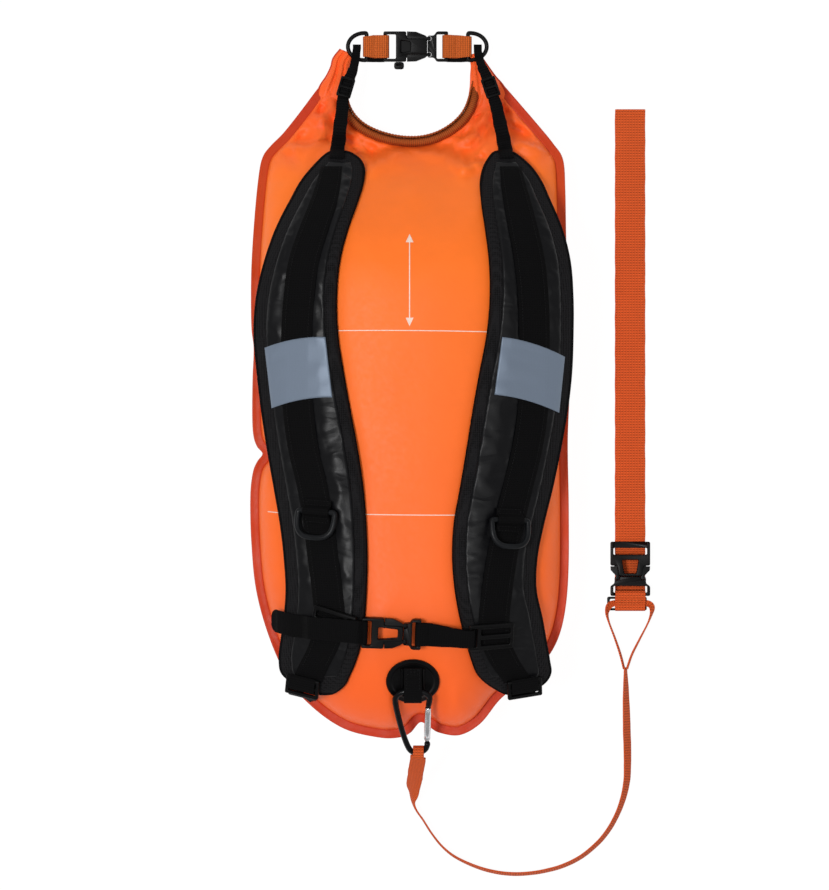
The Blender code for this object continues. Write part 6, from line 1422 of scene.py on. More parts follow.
def stitches(name, runs, material, body="bag"):
    """Rows of thread: each run is (points, ups), and a stitch is a small bent spindle."""
    points, faces = [], []
    for line, ups in runs:
        line = np.array([tuple(p) for p in line], float)
        ups = np.array([tuple(u) for u in ups], float)
        length = lengths_along(line)
        if length[-1] < STITCH_LONG:
            continue
        count = max(1, int(length[-1] / STITCH_PITCH))
        for k in range(count):
            middle = (k + 0.5) * length[-1] / count
            spots = [
                np.array([np.interp(s, length, line[:, c]) for c in range(3)])
                for s in (middle - STITCH_LONG / 2, middle, middle + STITCH_LONG / 2)
            ]
            up = np.array([np.interp(middle, length, ups[:, c]) for c in range(3)])
            up /= max(np.linalg.norm(up), 1e-9)
            faces += spindle_faces(len(points))
            points += spindle(spots, up)
    return mesh_piece(name, points, faces, material, body, uvs=np.zeros((len(points), 2)))


def edge_runs(path, across, up, width, thick, inset, start=0.0, end=1.0):
    """Lines of stitching along a strap, a little in from its edges."""
    n = len(path)
    a, b = int(start * (n - 1)), max(int(end * (n - 1)) + 1, int(start * (n - 1)) + 2)
    half = (width[a:b] / 2 - inset)[:, None]
    top = path[a:b] + up[a:b] * thick / 2
    return [(top + side * across[a:b] * half, up[a:b]) for side in (1, -1)]


def box_runs(path, across, up, width, thick, start, end, inset=STITCH_INSET_BOX):
    """A box of stitching with a cross in it, between two places of a strap given by index."""
    half = float(width[(start + end) // 2]) / 2 - inset
    top = path + up * (thick / 2)

    def spot(i, side):
        return top[i] + across[i] * side * half

    def line(i, j, from_side, to_side, steps=9):
        index = np.linspace(i, j, steps).round().astype(int)
        sides = np.linspace(from_side, to_side, steps)
        return [spot(k, s) for k, s in zip(index, sides)], [up[k] for k in index]

    return [line(start, end, 1, 1), line(end, end, 1, -1), line(end, start, -1, -1),
            line(start, start, -1, 1), line(start, end, 1, -1), line(start, end, -1, 1)]


def make_camera():
    data = bpy.data.cameras.new("camera")
    made = link(bpy.data.objects.new("camera", data))
    data.lens = LENS
    data.sensor_width = SENSOR
    distance = PICTURE_TALL * PIXEL * LENS / SENSOR
    made.location = (*pixel(*PICTURE_MIDDLE), distance + SHARP_HEIGHT)
    data.clip_end = CAMERA_REACH
    bpy.context.scene.camera = made


def leash_strand(name, route):
    """The leash's webbing, or its eye's, along a given route."""
    route = smooth_path(route, 8)
    path, turn, share = route[:, :3] * ROUTE_UNIT, route[:, 3] * DEG, 1
    if name == "leash":
        number = np.arange(len(turn))
        on_edge = smoothstep((number - EDGE_FROM) / EDGE_STEPS)
        on_edge = on_edge * (1 - EDGE_EASE * smoothstep(number / len(turn) * 4 - 2.2))
        turn = turn + (EDGE_TURN - turn) * EDGE_SHARE * on_edge
        lift = LEASH_WIDTH / 2 * np.sin(turn) + WEB_THICK * np.cos(turn)
        path[:, 2] = np.maximum(path[:, 2], lift)
        path[-1, 1] += LEASH_REACH
    else:
        share = route[:, 4] * EYE_NARROW
    along = np.gradient(path, axis=0)
    along[:, 2] = 0
    along = unit(along)
    level = np.column_stack([-along[:, 1], along[:, 0], np.zeros(len(path))])
    across = level * np.cos(turn)[:, None]
    across[:, 2] += np.sin(turn)
    return webbing(name + "_webbing", path, across, LEASH_WIDTH * share, WEB_THICK, "belt_orange",
                   [name], passes=2, seed=len(name))


def leash_hitch(lean):
    """The leash's hitch round the carabiner's narrow end."""
    spots = carabiner_path()
    x, y = spots[np.argmin(spots[:, 1])]
    radius = CARABINER_WIRE / 2 + HITCH_EASE + WEB_THICK / 2
    loop = [lean @ Vector((x, y + a, b)) for a, b in arc((0, 0), radius, *HITCH_TURNS, 30)]
    side = lean.to_3x3() @ Vector((1, 0, 0))
    return webbing("leash_hitch_webbing", loop, [side] * len(loop), HITCH_SWELL * HITCH_WIDTH,
                   WEB_THICK, "belt_orange", ["leash_hitch"])[0]


def leash_pieces(lean):
    """The leash, its eye through the belt's fold, its stitches and its hitch."""
    leash, path, across, up, width = leash_strand("leash", LEASH_ROUTE)
    eye, eye_path, *_ = leash_strand("leash_eye", EYE_ROUTE)
    runs = []
    for start, end in LEASH_SEAMS:
        runs += edge_runs(path, across, up, width, WEB_THICK, STITCH_INSET, start, end)
    sewn = stitches("leash_stitches", runs, "thread_orange")
    hitch = leash_hitch(lean)


def carabiner_frame():
    """The frames of the anchor's disc and of the carabiner, as the solids have them."""
    x, y = at(ANCHOR_SHARE)
    _, slope = slope_at(shell_top_plain, x, y)
    up = Vector((0, -slope, 1)).normalized()
    surface = Vector((x, y, float(shell_top_plain([(x, y)])[0])))
    seat = frame_of(surface, (1, 0, 0), up)
    box = (-LOOP_WIDTH / 2, -LOOP_TOP, LOOP_WIDTH / 2, LOOP_TOP)
    seat = seated(seat, box, solids_below("anchor_disc", "bag_body"), 0)
    lie = LOOP_SEAT + WEB_THICK / 2
    wire = CARABINER_WIRE / 2
    high = lie + WEB_THICK + 2 * SOFT_GAP + 2 * wire
    bend = (high - lie) / 2
    bar = seat @ Vector((0, -(LOOP_DROP - LOOP_BAR_UP), lie + bend))
    lean = frame_of(bar, (1, 0, 0), (0, -math.sin(CARABINER_SLOPE), math.cos(CARABINER_SLOPE)))
    return seat, lean


def shell_top_plain(points):
    points = np.atleast_2d(points)
    rise = BAG_RISE * fullness(points[:, 1]) * pillow(inside_distance(points, BODY_RING))
    return seam_height(points[:, 1]) + rise


FINE_SEAM = smooth_path([at(share) for share in SEAM_SHARES], FINE_SEAM_STEPS)
FINE_RING = body_ring(FINE_SEAM, ROLL_STEP)


def puckers(place, depth, around, seed):
    """Small valleys that run in from the weld, where flat sheets were pulled round."""
    rng = np.random.default_rng(seed)
    spots = [rng.random() * CREASE_SPACING]
    while spots[-1] < around:
        spots.append(spots[-1] + CREASE_SPACING * (0.45 + 1.1 * rng.random()))
    spots.pop()
    change = np.zeros(len(place))
    for spot in spots:
        reach = CREASE_REACH * (0.35 + 0.8 * rng.random())
        deep = CREASE_DEPTH * (0.3 + 0.9 * rng.random())
        slant = 0.35 * (rng.random() - 0.5)
        off = place - spot - slant * depth
        off = (off + around / 2) % around - around / 2
        wide = CREASE_WIDTH + 0.16 * depth
        fade = smoothstep(1 - depth / reach) * smoothstep(depth / WELD_FADE)
        change -= deep * np.exp(-((off / wide) ** 2)) * fade
        change += 0.45 * deep * np.exp(-(((np.abs(off) - 2.1 * wide) / wide) ** 2)) * fade
    return change


def fold_lines(points, folds=FOLDS, share=FOLD_SHARE):
    change = np.zeros(len(points))
    for start, end, high, wide in folds:
        a, b = pixel(*start), pixel(*end)
        edge = b - a
        t = ((points - a) @ edge) / (edge @ edge)
        off = np.abs((points - a) @ np.array([-edge[1], edge[0]])) / np.linalg.norm(edge)
        fade = smoothstep((t + 0.25) / 0.4) * smoothstep((1.25 - t) / 0.5)
        change += share * high * MM * np.exp(-((off / (wide * MM)) ** 1.6)) * fade
    return change


def shelf(points):
    """The step down to the flattened neck, and the crumples beyond it."""
    line = np.array([pixel(*spot) for spot in SHELF_LINE])
    beyond = points[:, 1] - np.interp(points[:, 0], line[:, 0], line[:, 1])
    step = smoothstep(beyond / SHELF_STEP + 0.5)
    fade = 1 - 0.75 * smoothstep((beyond - SHELF_LEVEL) / SHELF_RISE)
    change = -SHELF_DROP * step * fade
    near = np.flatnonzero(beyond > -CRUMPLE_REACH)
    ridges = np.abs(slack(points[near], 6, NECK_RIDGES))
    valleys = np.abs(slack(points[near], 13, NECK_VALLEYS))
    crumples = ridges - valleys - NECK_SINK
    change[near] += crumples * smoothstep((beyond[near] + CRUMPLE_REACH) / CRUMPLE_REACH)
    return change


def shell_heights(points):
    """Heights of the bag's harness side and of its front, folds included."""
    points = np.atleast_2d(np.array(points, float))
    depth, place, around = ring_place(points, FINE_RING)
    depth = np.maximum(depth, 0)
    full = fullness(points[:, 1]) * pillow(depth)
    seam = seam_height(points[:, 1])
    under_pads = np.zeros(len(points))
    for side in ("left", "right"):
        for i, (x, y) in enumerate(points):
            share = pad_share(y)
            if -0.02 < share < 1.02:
                centre, half = pad_row(side, min(max(share, 0), 1))
                beyond = abs(x - centre) - half
                under_pads[i] = max(under_pads[i], float(smoothstep(1 - beyond / PRESS_REACH)))
    top = seam + BAG_RISE * full
    folds = fold_lines(points) + shelf(points)
    folds = puckers(place, depth, around, 3) + folds * smoothstep(depth / FOLD_FADE)
    pressed = PRESS_DEPTH * under_pads * smoothstep(depth / PRESS_FADE)
    top = top + folds * (1 - under_pads) - pressed
    drop = seam - BAG_DROP * full - puckers(place, depth, around, 8)
    near = np.maximum(REST_EASE - np.abs(drop), 0)
    under = np.maximum(drop, 0) + near**2 / (4 * REST_EASE)
    return top, np.minimum(under, top - LEAST_BAG)


def bag_plan():
    """Plan points of the bag: its ring, rows crowded at the weld, and an even field inside."""
    plan = [tuple(p) for p in FINE_RING]
    normals = left_normals(FINE_RING, True)
    closest, widest = RING_SPACING
    for inset in FINE_INSETS:
        row = FINE_RING + normals * inset
        kept = np.zeros((0, 2))
        spacing = max(closest, min(inset / 2, widest))
        for p, depth in zip(row, inside_distance(row, FINE_RING)):
            if depth > RING_KEEP_SHARE * inset:
                if len(kept) == 0 or np.min(np.linalg.norm(kept - p, axis=1)) > spacing:
                    kept = np.vstack([kept, p])
        plan += [tuple(p) for p in kept]
    core = []
    for step, low, high in ((FINE_STEP, -HALF_LENGTH, NECK_Y), (NECK_STEP, NECK_Y, HALF_LENGTH)):
        xs = np.arange(-HALF_WIDTH, HALF_WIDTH, step)
        for i, y in enumerate(np.arange(low, high, step * ROW_SHARE)):
            core.append(np.column_stack([xs + step / 2 * (i % 2), np.full(len(xs), y)]))
    core = np.vstack(core)
    return plan + [tuple(p) for p in core[inside_distance(core, FINE_RING) > FINE_CORE]]


def bag_shell():
    """The inflated body: one plan lifted to the harness side and lowered to the front."""
    plan, count = bag_plan(), len(FINE_RING)
    edges = [(i, (i + 1) % count) for i in range(count)]
    flat, _, faces, origins, _, _ = delaunay_2d_cdt([Vector(p) for p in plan], edges, [], 1, WELD)
    flat = np.array([(p.x, p.y) for p in flat])
    on_rim = np.array([any(i < count for i in source) for source in origins])
    tops, unders = shell_heights(flat)
    rim = seam_height(flat[:, 1])
    tops, unders = np.where(on_rim, rim, tops), np.where(on_rim, rim, unders)
    n = len(flat)
    low = np.where(on_rim, np.arange(n), n + np.cumsum(~on_rim) - 1)
    points = np.vstack([np.column_stack([flat, tops]), np.column_stack([flat, unders])[~on_rim]])
    solid = [tuple(f) for f in faces] + [tuple(low[list(reversed(f))]) for f in faces]
    return mesh_piece("bag_fabric", points, solid, "coated_orange", nodes=["bag_body"])


def seam_welt():
    """The flat weld round the bag, pressed in a fine pattern, a little wavy in its height."""
    path = filled(FINE_SEAM, WELT_STEP)
    normals = left_normals(path)
    length = lengths_along(path)
    rng = np.random.default_rng(5)
    wave = np.zeros(len(path))
    for period in WELT_WAVES:
        wave += np.sin(2 * math.pi * (length / period + rng.random())) * period * WELT_SWAY
    top, under, uvs = [], [], []
    for share in WELT_COLUMNS:
        spot = path + normals * (SEAM_WIDTH * share)
        outer = max(1 - share, 0)
        z = seam_height(spot[:, 1]) + wave * outer
        ease = 0.35 if share in (WELT_COLUMNS[0], WELT_COLUMNS[-1]) else 1.0
        press = WELT_PRESS if 0.2 < share < 0.7 else 0.0
        top.append(np.column_stack([spot, z + SEAM_THICK / 2 * ease - press]))
        under.append(np.column_stack([spot, z - SEAM_THICK / 2 * ease + press]))
        uvs.append(np.column_stack([length, np.full(len(path), share * SEAM_WIDTH)]))
    return grid_piece("seam_welt", np.stack(top, 1), np.stack(under, 1), "seam_orange",
                      ["welded_seam"], uvs=np.stack(uvs, 1))


def mouth_line():
    """The mouth's path in small steps, the way away from the handle gap, and how full it is."""
    path = softened(filled(MOUTH_PATH, MOUTH_STEP), 6)[ROLL_TUCK:-ROLL_TUCK]
    along = np.linspace(0, 1, len(path))
    to_end = np.minimum(along, 1 - along)
    low = 1 - 0.8 * smoothstep(1 - to_end / ROLL_TAPER_SHARE)
    near_end = 1 - to_end / ROLL_END_SHARE
    thick = ROLL_THICK + (ROLL_END_THICK - ROLL_THICK) * smoothstep(near_end) + ROLL_EXTRA
    return path, left_normals(path), low, thick * (0.25 + 0.75 * low)


def rolled_mouth(path, normals, low, thick):
    """The rolled mouth with its layered turns."""
    height = seam_height(path[:, 1])
    length = lengths_along(path)
    rng = np.random.default_rng(11)
    wrinkle = sum(
        np.sin(2 * math.pi * (length / period + rng.random())) * amount
        for period, amount in ROLL_WRINKLES
    )
    rings, uvs = [], []
    for k in range(ROLL_TURNS):
        t = 2 * math.pi * k / ROLL_TURNS
        a = math.copysign(abs(math.cos(t)) ** 0.7, math.cos(t))
        b = math.copysign(abs(math.sin(t)) ** 0.8, math.sin(t))
        groove = sum(math.exp(-(((t - spot) / 0.12) ** 2)) for spot in ROLL_GROOVES)
        depth = WEB_THICK + GAP + thick / 2 - a * thick / 2 * (1 - 0.10 * groove)
        z = height + b * ROLL_DEPTH / 2 * (1 - 0.03 * groove) * low + wrinkle * abs(b)
        plan = path - normals * (depth + wrinkle * 0.4 * (a < 0))[:, None]
        rings.append(np.column_stack([plan, z]))
        uvs.append(np.column_stack([length, np.full(len(path), (k + 1) * ROLL_LAY)]))
    points = np.stack(rings, 1)
    mesh_piece("rolled_mouth", points.reshape(-1, 3), ring_faces(len(path), ROLL_TURNS), "mouth_orange",
               nodes=["roll_top"], uvs=np.stack(uvs, 1).reshape(-1, 2))


def mouth():
    """The rolled mouth, and the webbing round the handle gap."""
    path, normals, low, thick = mouth_line()
    rolled_mouth(path, normals, low, thick)
    line = np.column_stack([path - normals * WEB_THICK / 2, seam_height(path[:, 1])])
    _, spots, across, up, width = webbing(
        "handle_webbing", line, [(0, 0, 1)] * len(line), MOUTH_WEB_DEPTH * low, WEB_THICK,
        "mouth_orange", ["mouth_webbing"], passes=2,
    )
    runs = []
    for way in (up, -up):
        runs += edge_runs(spots, across, way, width, WEB_THICK, STITCH_INSET)
    stitches("handle_stitches", runs, "thread_orange")


def ears():
    """The bag's cloth gathered from the ends of the seam up to the closure rings."""
    for side, (outer, inner) in EARS.items():
        outer = smooth_path([pixel(*spot) for spot in outer], 7)
        inner = smooth_path([pixel(*spot) for spot in inner], 7)
        rng = np.random.default_rng(len(side))
        turns = list(zip((2, 3, 5), rng.random(3) * 2 * math.pi))
        top, under = [], []
        for i, (a, b) in enumerate(zip(outer, inner)):
            t = i / (len(outer) - 1)
            lifted, sunk = [], []
            for u in np.linspace(0, 1, 21):
                x, y = a + (b - a) * u
                z = float(seam_height(y)) * (1 - t) + (CLOSURE_HEIGHT - EAR_DROP) * t
                swell = smoothstep(t / 0.35) * (1 - 0.75 * smoothstep((t - 0.35) / 0.65))
                half = (EAR_HALF + EAR_SWELL * swell) * max(1 - (2 * u - 1) ** 4, 0.02) ** 0.5
                pleats = sum(math.sin(u * k * 2 * math.pi + turn + 1.5 * t) for k, turn in turns)
                half *= 1 + 0.2 * pleats * (0.4 + 0.6 * t)
                lifted.append((x, y, z + half))
                sunk.append((x, y, z - half))
            top.append(lifted)
            under.append(sunk)
        grid_piece(f"gathered_cloth_{side}", top, under, "coated_orange")
        edge = [(x, y, (p[0][2] + q[0][2]) / 2) for (x, y), p, q in zip(outer, top, under)]
        tube(f"gathered_edge_{side}", edge, EAR_EDGE, 10, "seam_orange")


def closure_half(side, left, right, left_radius, right_radius):
    """One doubled webbing of the closure strap and its backing; returns its runs of stitches."""
    loop = band_round_bars(left, right, left_radius, right_radius, CLOSURE_HEIGHT)
    narrow_end, broad_end = (left, right) if side == "left" else (right, left)
    width = [
        CLOSURE_RING_WEB_WIDTH + (CLOSURE_WEB_WIDTH - CLOSURE_RING_WEB_WIDTH)
        * float(smoothstep((x - narrow_end) / (broad_end - narrow_end) * 2)) for x, _ in loop
    ]
    path = [(x, CLOSURE_Y, z) for x, z in loop]
    webbing(f"closure_strap_{side}", path, [(0, 1, 0)] * len(path), width, WEB_THICK,
            "webbing_orange", [f"closure_webbing_{side}"], closed=True, passes=1, step=CLOSURE_STEP)
    low = CLOSURE_HEIGHT - BACKING_DROP
    backing = [(x, CLOSURE_Y - BACKING_SHIFT, low) for x in np.linspace(left, right, 8)]
    webbing(f"closure_backing_{side}", backing, [(0, 1, 0)] * len(backing), BACKING_WIDTH,
            WEB_THICK, "webbing_black", passes=0)
    top = CLOSURE_HEIGHT + WEB_THICK + GAP / 2
    near, far = CLOSURE_SEAM_SHARES
    spots = np.linspace(-CLOSURE_SEAM_HALF, CLOSURE_SEAM_HALF, 12)
    return [([(x, CLOSURE_Y + a, top) for a in spots], [(0, 0, 1)] * len(spots))
            for x in (left + left_radius * near, right - right_radius * far)]


def closure_ring(side):
    heading = (0, -1, 0) if side == "left" else (0, 1, 0)
    place = frame_of((CLOSURE_RING_X[side], CLOSURE_Y, CLOSURE_HEIGHT), heading, (0, 0, 1))
    outline = ring_outline(CLOSURE_RING_BAR, CLOSURE_RING_REACH, CLOSURE_RING_CORNER, 26)
    ring_piece(f"closure_d_{side}", outline, CLOSURE_WIRE / 2, place, "plastic_black",
               f"closure_ring_{side}", "bag")


def closure_tongue():
    """The flat web inside the socket, which shows between the plug's arms."""
    height = CLOSURE_HEIGHT + TONGUE_THICK / 2
    tongue = [[(CLOSURE_BUCKLE_X + a, CLOSURE_Y + b, height)
               for b in np.linspace(-TONGUE_HALF, TONGUE_HALF, 9)] for a in np.linspace(*TONGUE_SPAN, 9)]
    under = [[(x, y, z - TONGUE_THICK) for x, y, z in row] for row in tongue]
    grid_piece("closure_tongue", tongue, under, "plastic_black")


def closure():
    """The closure strap across the mouth: two doubled webbings, two rings and a tongue."""
    size = BUCKLES["closure"]
    ring_radius = CLOSURE_WIRE / 2 + GAP + WEB_THICK / 2
    socket_bar = CLOSURE_BUCKLE_X + size["bar"] / 2
    plug_bar = CLOSURE_BUCKLE_X + size["length"] - size["plug_bar"] / 2
    ends = {
        "left": (CLOSURE_RING_LEFT_X, socket_bar, ring_radius, bar_wrap(size["bar"])),
        "right": (plug_bar, CLOSURE_RING_RIGHT_X, bar_wrap(size["plug_bar"]), ring_radius),
    }
    runs = []
    for side, spots in ends.items():
        runs += closure_half(side, *spots)
        closure_ring(side)
    stitches("closure_stitches", runs, "thread_orange")
    closure_tongue()


def ring_piece(name, outline, radius, place, material, node, body):
    """A closed wire ring from its outline in its own frame."""
    flat_line = softened(filled([(x, y, 0) for x, y in outline], RING_STEP, True), 3, True)
    line = [place @ Vector(p) for p in flat_line]
    up = place.to_3x3() @ Vector((0, 0, 1))
    tube(name, line, radius, 18, material, [node], body, True, up)


def pad_grid(side, rows, columns, start=0.0, end=1.0, inset=None):
    """Plan points of a pad's rows, crowded at its ends and edges."""
    grid = []
    for t in np.linspace(0, 1, rows):
        share = start + (end - start) * (t - 0.5 * math.sin(2 * math.pi * t) / (2 * math.pi))
        centre, half = pad_row(side, share)
        if inset is not None:
            half -= min(inset, COVER_EDGE_SHARE * half)
        across = np.linspace(-1, 1, columns)
        if inset is None:
            across = np.sin(across * math.pi / 2)
        grid.append(np.column_stack([centre + across * half, np.full(columns, pad_y(share))]))
    return np.array(grid)


def pad_depths(side, flat):
    return np.array([[pad_thickness(side, x, y) for x, y in row] for row in flat])


def slack(points, seed, sizes):
    """Smooth random heights, the same on every run, for creases in soft cloth."""
    out = np.zeros(len(points))
    for size, amount in sizes:
        for i, p in enumerate(points):
            spot = Vector((p[0] / size[0] + seed * 7.3, p[1] / size[1], seed))
            out[i] += amount * noise.noise(spot)
    return out


def vertex_places(mesh):
    places = np.zeros(len(mesh.vertices) * 3)
    mesh.vertices.foreach_get("co", places)
    return places.reshape(-1, 3)


def crumpled(piece, pins, cap, pressure, shrink, frames=18):
    """Settle a thin sheet as slack cloth held at its pinned points, then keep what it settled to."""
    group = piece.vertex_groups.new(name="held")
    rest = vertex_places(piece.data)
    for i, held in enumerate(pins):
        if held > 0:
            group.add([i], float(held), "REPLACE")
    cloth = piece.modifiers.new("settle", "CLOTH")
    for key, value in CLOTH.items():
        setattr(cloth.settings, key, value)
    cloth.settings.shrink_min = shrink
    cloth.settings.uniform_pressure_force = pressure
    cloth.settings.effector_weights.gravity = 0
    cloth.collision_settings.use_collision = False
    cloth.collision_settings.use_self_collision = False
    scene = bpy.context.scene
    cloth.point_cache.frame_start, cloth.point_cache.frame_end = 1, frames
    for number in range(1, frames + 1):
        scene.frame_set(number)
    graph = bpy.context.evaluated_depsgraph_get()
    settled = piece.evaluated_get(graph).to_mesh()
    now = vertex_places(settled)
    piece.evaluated_get(graph).to_mesh_clear()
    piece.modifiers.remove(cloth)
    scene.frame_set(1)
    moved = now - rest
    far = np.linalg.norm(moved, axis=1)
    moved *= np.minimum(1, cap / np.maximum(far, 1e-9))[:, None]
    return rest + moved


def plan_heights(flat):
    """Heights of the smooth harness side under a grid of plan points."""
    return lying_height(flat.reshape(-1, 2)).reshape(flat.shape[:2])


def grid_slack(flat, seed, sizes):
    return slack(flat.reshape(-1, 2), seed, sizes).reshape(flat.shape[:2])


def grid_uvs(flat, across):
    """Places along a grid's middle and across it, in metres."""
    length, shape = lengths_along(flat.mean(1)), flat.shape[:2]
    return np.dstack([np.broadcast_to(length[:, None], shape), np.broadcast_to(across, shape)])


def foam_pad(side):
    """The pad's foam, a little quilted; returned with the plan points that it was made from."""
    flat = pad_grid(side, 170, 27)
    base = plan_heights(flat) + SOFT_GAP
    depths = pad_depths(side, flat)
    quilt = grid_slack(flat, 2 if side == "left" else 4, QUILT_SIZES)
    fade = smoothstep(depths / PAD_THICK * 2 - 1)
    top = np.dstack([flat, base + depths + quilt * fade])
    pad = grid_piece(f"foam_pad_{side}", top, np.dstack([flat, base]), "pad_black",
                     [f"shoulder_pad_{side}"])
    return pad, flat


def pad_binding(side, flat):
    """The bound edge of a pad; returns the run of its stitches."""
    outline = np.vstack([flat[:, 0], flat[::-1, -1]])
    outline = softened(filled(outline, BINDING_STEP, True), 3, True)
    inward = left_normals(outline, True)
    line = outline + inward * BINDING_INSET
    z = lying_height(line) + SOFT_GAP + PAD_EDGE / 2 + BINDING_LIFT
    line = np.column_stack([line, softened(z[:, None], 4, True)[:, 0]])
    tube(f"pad_binding_{side}", line, BINDING_RADIUS, 14, "binding_black",
         closed=True, flat=BINDING_FLAT)
    seam_in, seam_up = BINDING_SEAM
    inner = line + np.column_stack([inward * seam_in, np.full(len(line), seam_up)])
    return inner, [(0, 0, 1)] * len(inner)


def cover_hold(side, flat):
    """How firmly each point of a cover is held: fully at its edges and under the strap."""
    held = np.zeros(flat.shape[:2])
    held[:2] = held[-2:] = 1
    held[:, :1] = held[:, -1:] = 1
    for i, row in enumerate(flat):
        centre, half = strap_row(side, pad_share(row[0, 1]))
        near = smoothstep((half + COVER_HOLD - np.abs(row[:, 0] - centre)) / COVER_HOLD)
        held[i] = np.maximum(held[i], near)
    return held


def settled_cover(top, lie, held, calm):
    """A cover's top once its slack cloth has settled, and hardly below where it was laid."""
    rows, columns = held.shape
    faces = [(i * columns + j, (i + 1) * columns + j, (i + 1) * columns + j + 1, i * columns + j + 1)
             for i in range(rows - 1) for j in range(columns - 1)]
    loose = mesh_piece("loose_cover", top.reshape(-1, 3), faces, "cover_black")
    settled = crumpled(loose, held.reshape(-1), COVER_RISE, COVER_PRESSURE, COVER_SHRINK)
    bpy.data.objects.remove(loose)
    settled = settled.reshape(rows, columns, 3)
    raised = softened(softened((settled[..., 2] - lie).T, 1).T, 2)
    settled[..., 2] = lie + np.maximum(raised, -COVER_SINK) * calm
    return settled


def shiny_cover(side):
    """The thin shiny cloth over a pad, slack between its edge and the strap."""
    flat = pad_grid(side, *COVER_GRID, *COVER_SPAN, COVER_INSET)
    z = plan_heights(flat) + SOFT_GAP + pad_depths(side, flat) + GAP
    span = np.cumsum(np.linalg.norm(np.diff(flat, axis=1, prepend=flat[:, :1]), axis=2), axis=1)
    creased = grid_slack(flat, 3 if side == "left" else 9, COVER_CREASES)
    slide = pad_y(STERNUM_SLIDER_SHARES[side]) + STERNUM_BUCKLE_OFFSET[1]
    calm = smoothstep((np.abs(flat[..., 1] - slide) - CALM_REACH) / CALM_FADE)
    calm = CALM_SHARE + (1 - CALM_SHARE) * calm
    held = cover_hold(side, flat)
    across = np.linspace(0, 1, flat.shape[1])
    slope = (smoothstep(across / 0.2) * smoothstep((1 - across) / 0.2))[None]
    top = np.dstack([flat, z + COVER_THICK + np.abs(creased * calm) * (1 - held) * slope])
    top = settled_cover(top, z + COVER_THICK, held, calm)
    pinches = fold_lines(flat.reshape(-1, 2), COVER_FOLDS, 1.0).reshape(held.shape)
    top[..., 2] += pinches * (1 - held) * slope * calm
    under = np.dstack([top[..., :2], z + COVER_FOOT])
    cover = grid_piece(f"shiny_cover_{side}", top, under, "cover_black", [f"pad_cover_{side}"],
                       uvs=grid_uvs(flat, span))
    return cover


def shoulder_strap(side, pad, cover):
    """The webbing along a pad, laid on what is below it; returned with its runs of stitches."""
    lower = Surface(pad, cover)
    columns = np.linspace(-1, 1, 9)
    rows = []
    for share in np.linspace(*STRAP_SPAN_SHARES, 150):
        centre, half = strap_row(side, share)
        rows.append([(centre + a * half, pad_y(share)) for a in columns])
    flat = np.array(rows)
    below = np.array([[lower(x, y) for x, y in row] for row in flat]) + STRAP_CLEAR
    z = np.maximum(plan_heights(flat) + COVER_TOP + GAP - STRAP_SINK, below)
    for _ in range(3):
        z[1:-1] = np.maximum((z[:-2] + 2 * z[1:-1] + z[2:]) / 4, below[1:-1])
    edge = np.where(np.abs(columns) > 0.99, STRAP_EDGE, 1.0)[None]
    top = np.dstack([flat, z + WEB_THICK * edge])
    under = np.dstack([flat, z + WEB_THICK * (1 - edge) * 0.6])
    strap = grid_piece(f"strap_webbing_{side}", top, under, "webbing_black",
                       [f"shoulder_webbing_{side}"],
                       uvs=grid_uvs(flat, columns * STRAP_WIDTH / 2), angle=60 * DEG)
    sewn = top[top[:, 0, 1] > top[:, 0, 1].min() + LOCK_CLEAR]
    lines = [sewn[:, column] + np.array([0, 0, THREAD_LIFT]) for column in (1, -2)]
    return strap, [(line, [(0, 0, 1)] * len(line)) for line in lines]


def reflective_tape(side, pad, cover, strap):
    """A reflective patch pulled taut over the strap and the cover."""
    floor = Surface(pad, cover, strap)
    top_left, top_right, foot_right, foot_left = map(at, PATCH_CORNER_SHARES[side])
    rows = []
    for v in np.linspace(0, 1, 30):
        left_end = top_left + (foot_left - top_left) * v
        right_end = top_right + (foot_right - top_right) * v
        row = []
        for u in np.linspace(0, 1, 34):
            bow = PATCH_BOW * 4 * u * (1 - u)
            x, y = left_end + (right_end - left_end) * u + np.array([0, bow])
            least = lying_height([(x, y)])[0] + PAD_EDGE
            row.append((x, y, max(floor(x, y), least) + PATCH_CLEAR))
        rows.append(row)
    grid = np.array(rows)
    for row in grid:
        stretch_over(row)
    grid[..., 2] = np.maximum(grid[..., 2], softened(grid[..., 2], 2))
    top = grid + np.array([0, 0, PATCH_THICK])
    patch = grid_piece(f"reflective_tape_{side}", top, grid, "reflective_grey",
                       [f"reflective_patch_{side}"], uvs=grid[..., :2])


def shoulder(side):
    """One shoulder strap: foam pad, edge binding, shiny cover, webbing and reflective patch."""
    pad, flat = foam_pad(side)
    runs = [pad_binding(side, flat)]
    cover = shiny_cover(side)
    strap, seams = shoulder_strap(side, pad, cover)
    stitches(f"strap_stitches_{side}", runs + seams, "thread_black")
    reflective_tape(side, pad, cover, strap)
    return pad, cover


def stretch_over(row):
    """Pull one row of points taut over what is below it: its upper hull."""
    places = lengths_along(row[:, :2])
    hull = []
    for i in range(len(row)):
        while len(hull) > 1:
            a, b = hull[-2], hull[-1]
            turn = ((places[b] - places[a]) * (row[i, 2] - row[a, 2])
                    - (row[b, 2] - row[a, 2]) * (places[i] - places[a]))
            if turn >= 0:
                hull.pop()
            else:
                break
        hull.append(i)
    row[:, 2] = np.interp(places, places[hull], row[hull, 2])


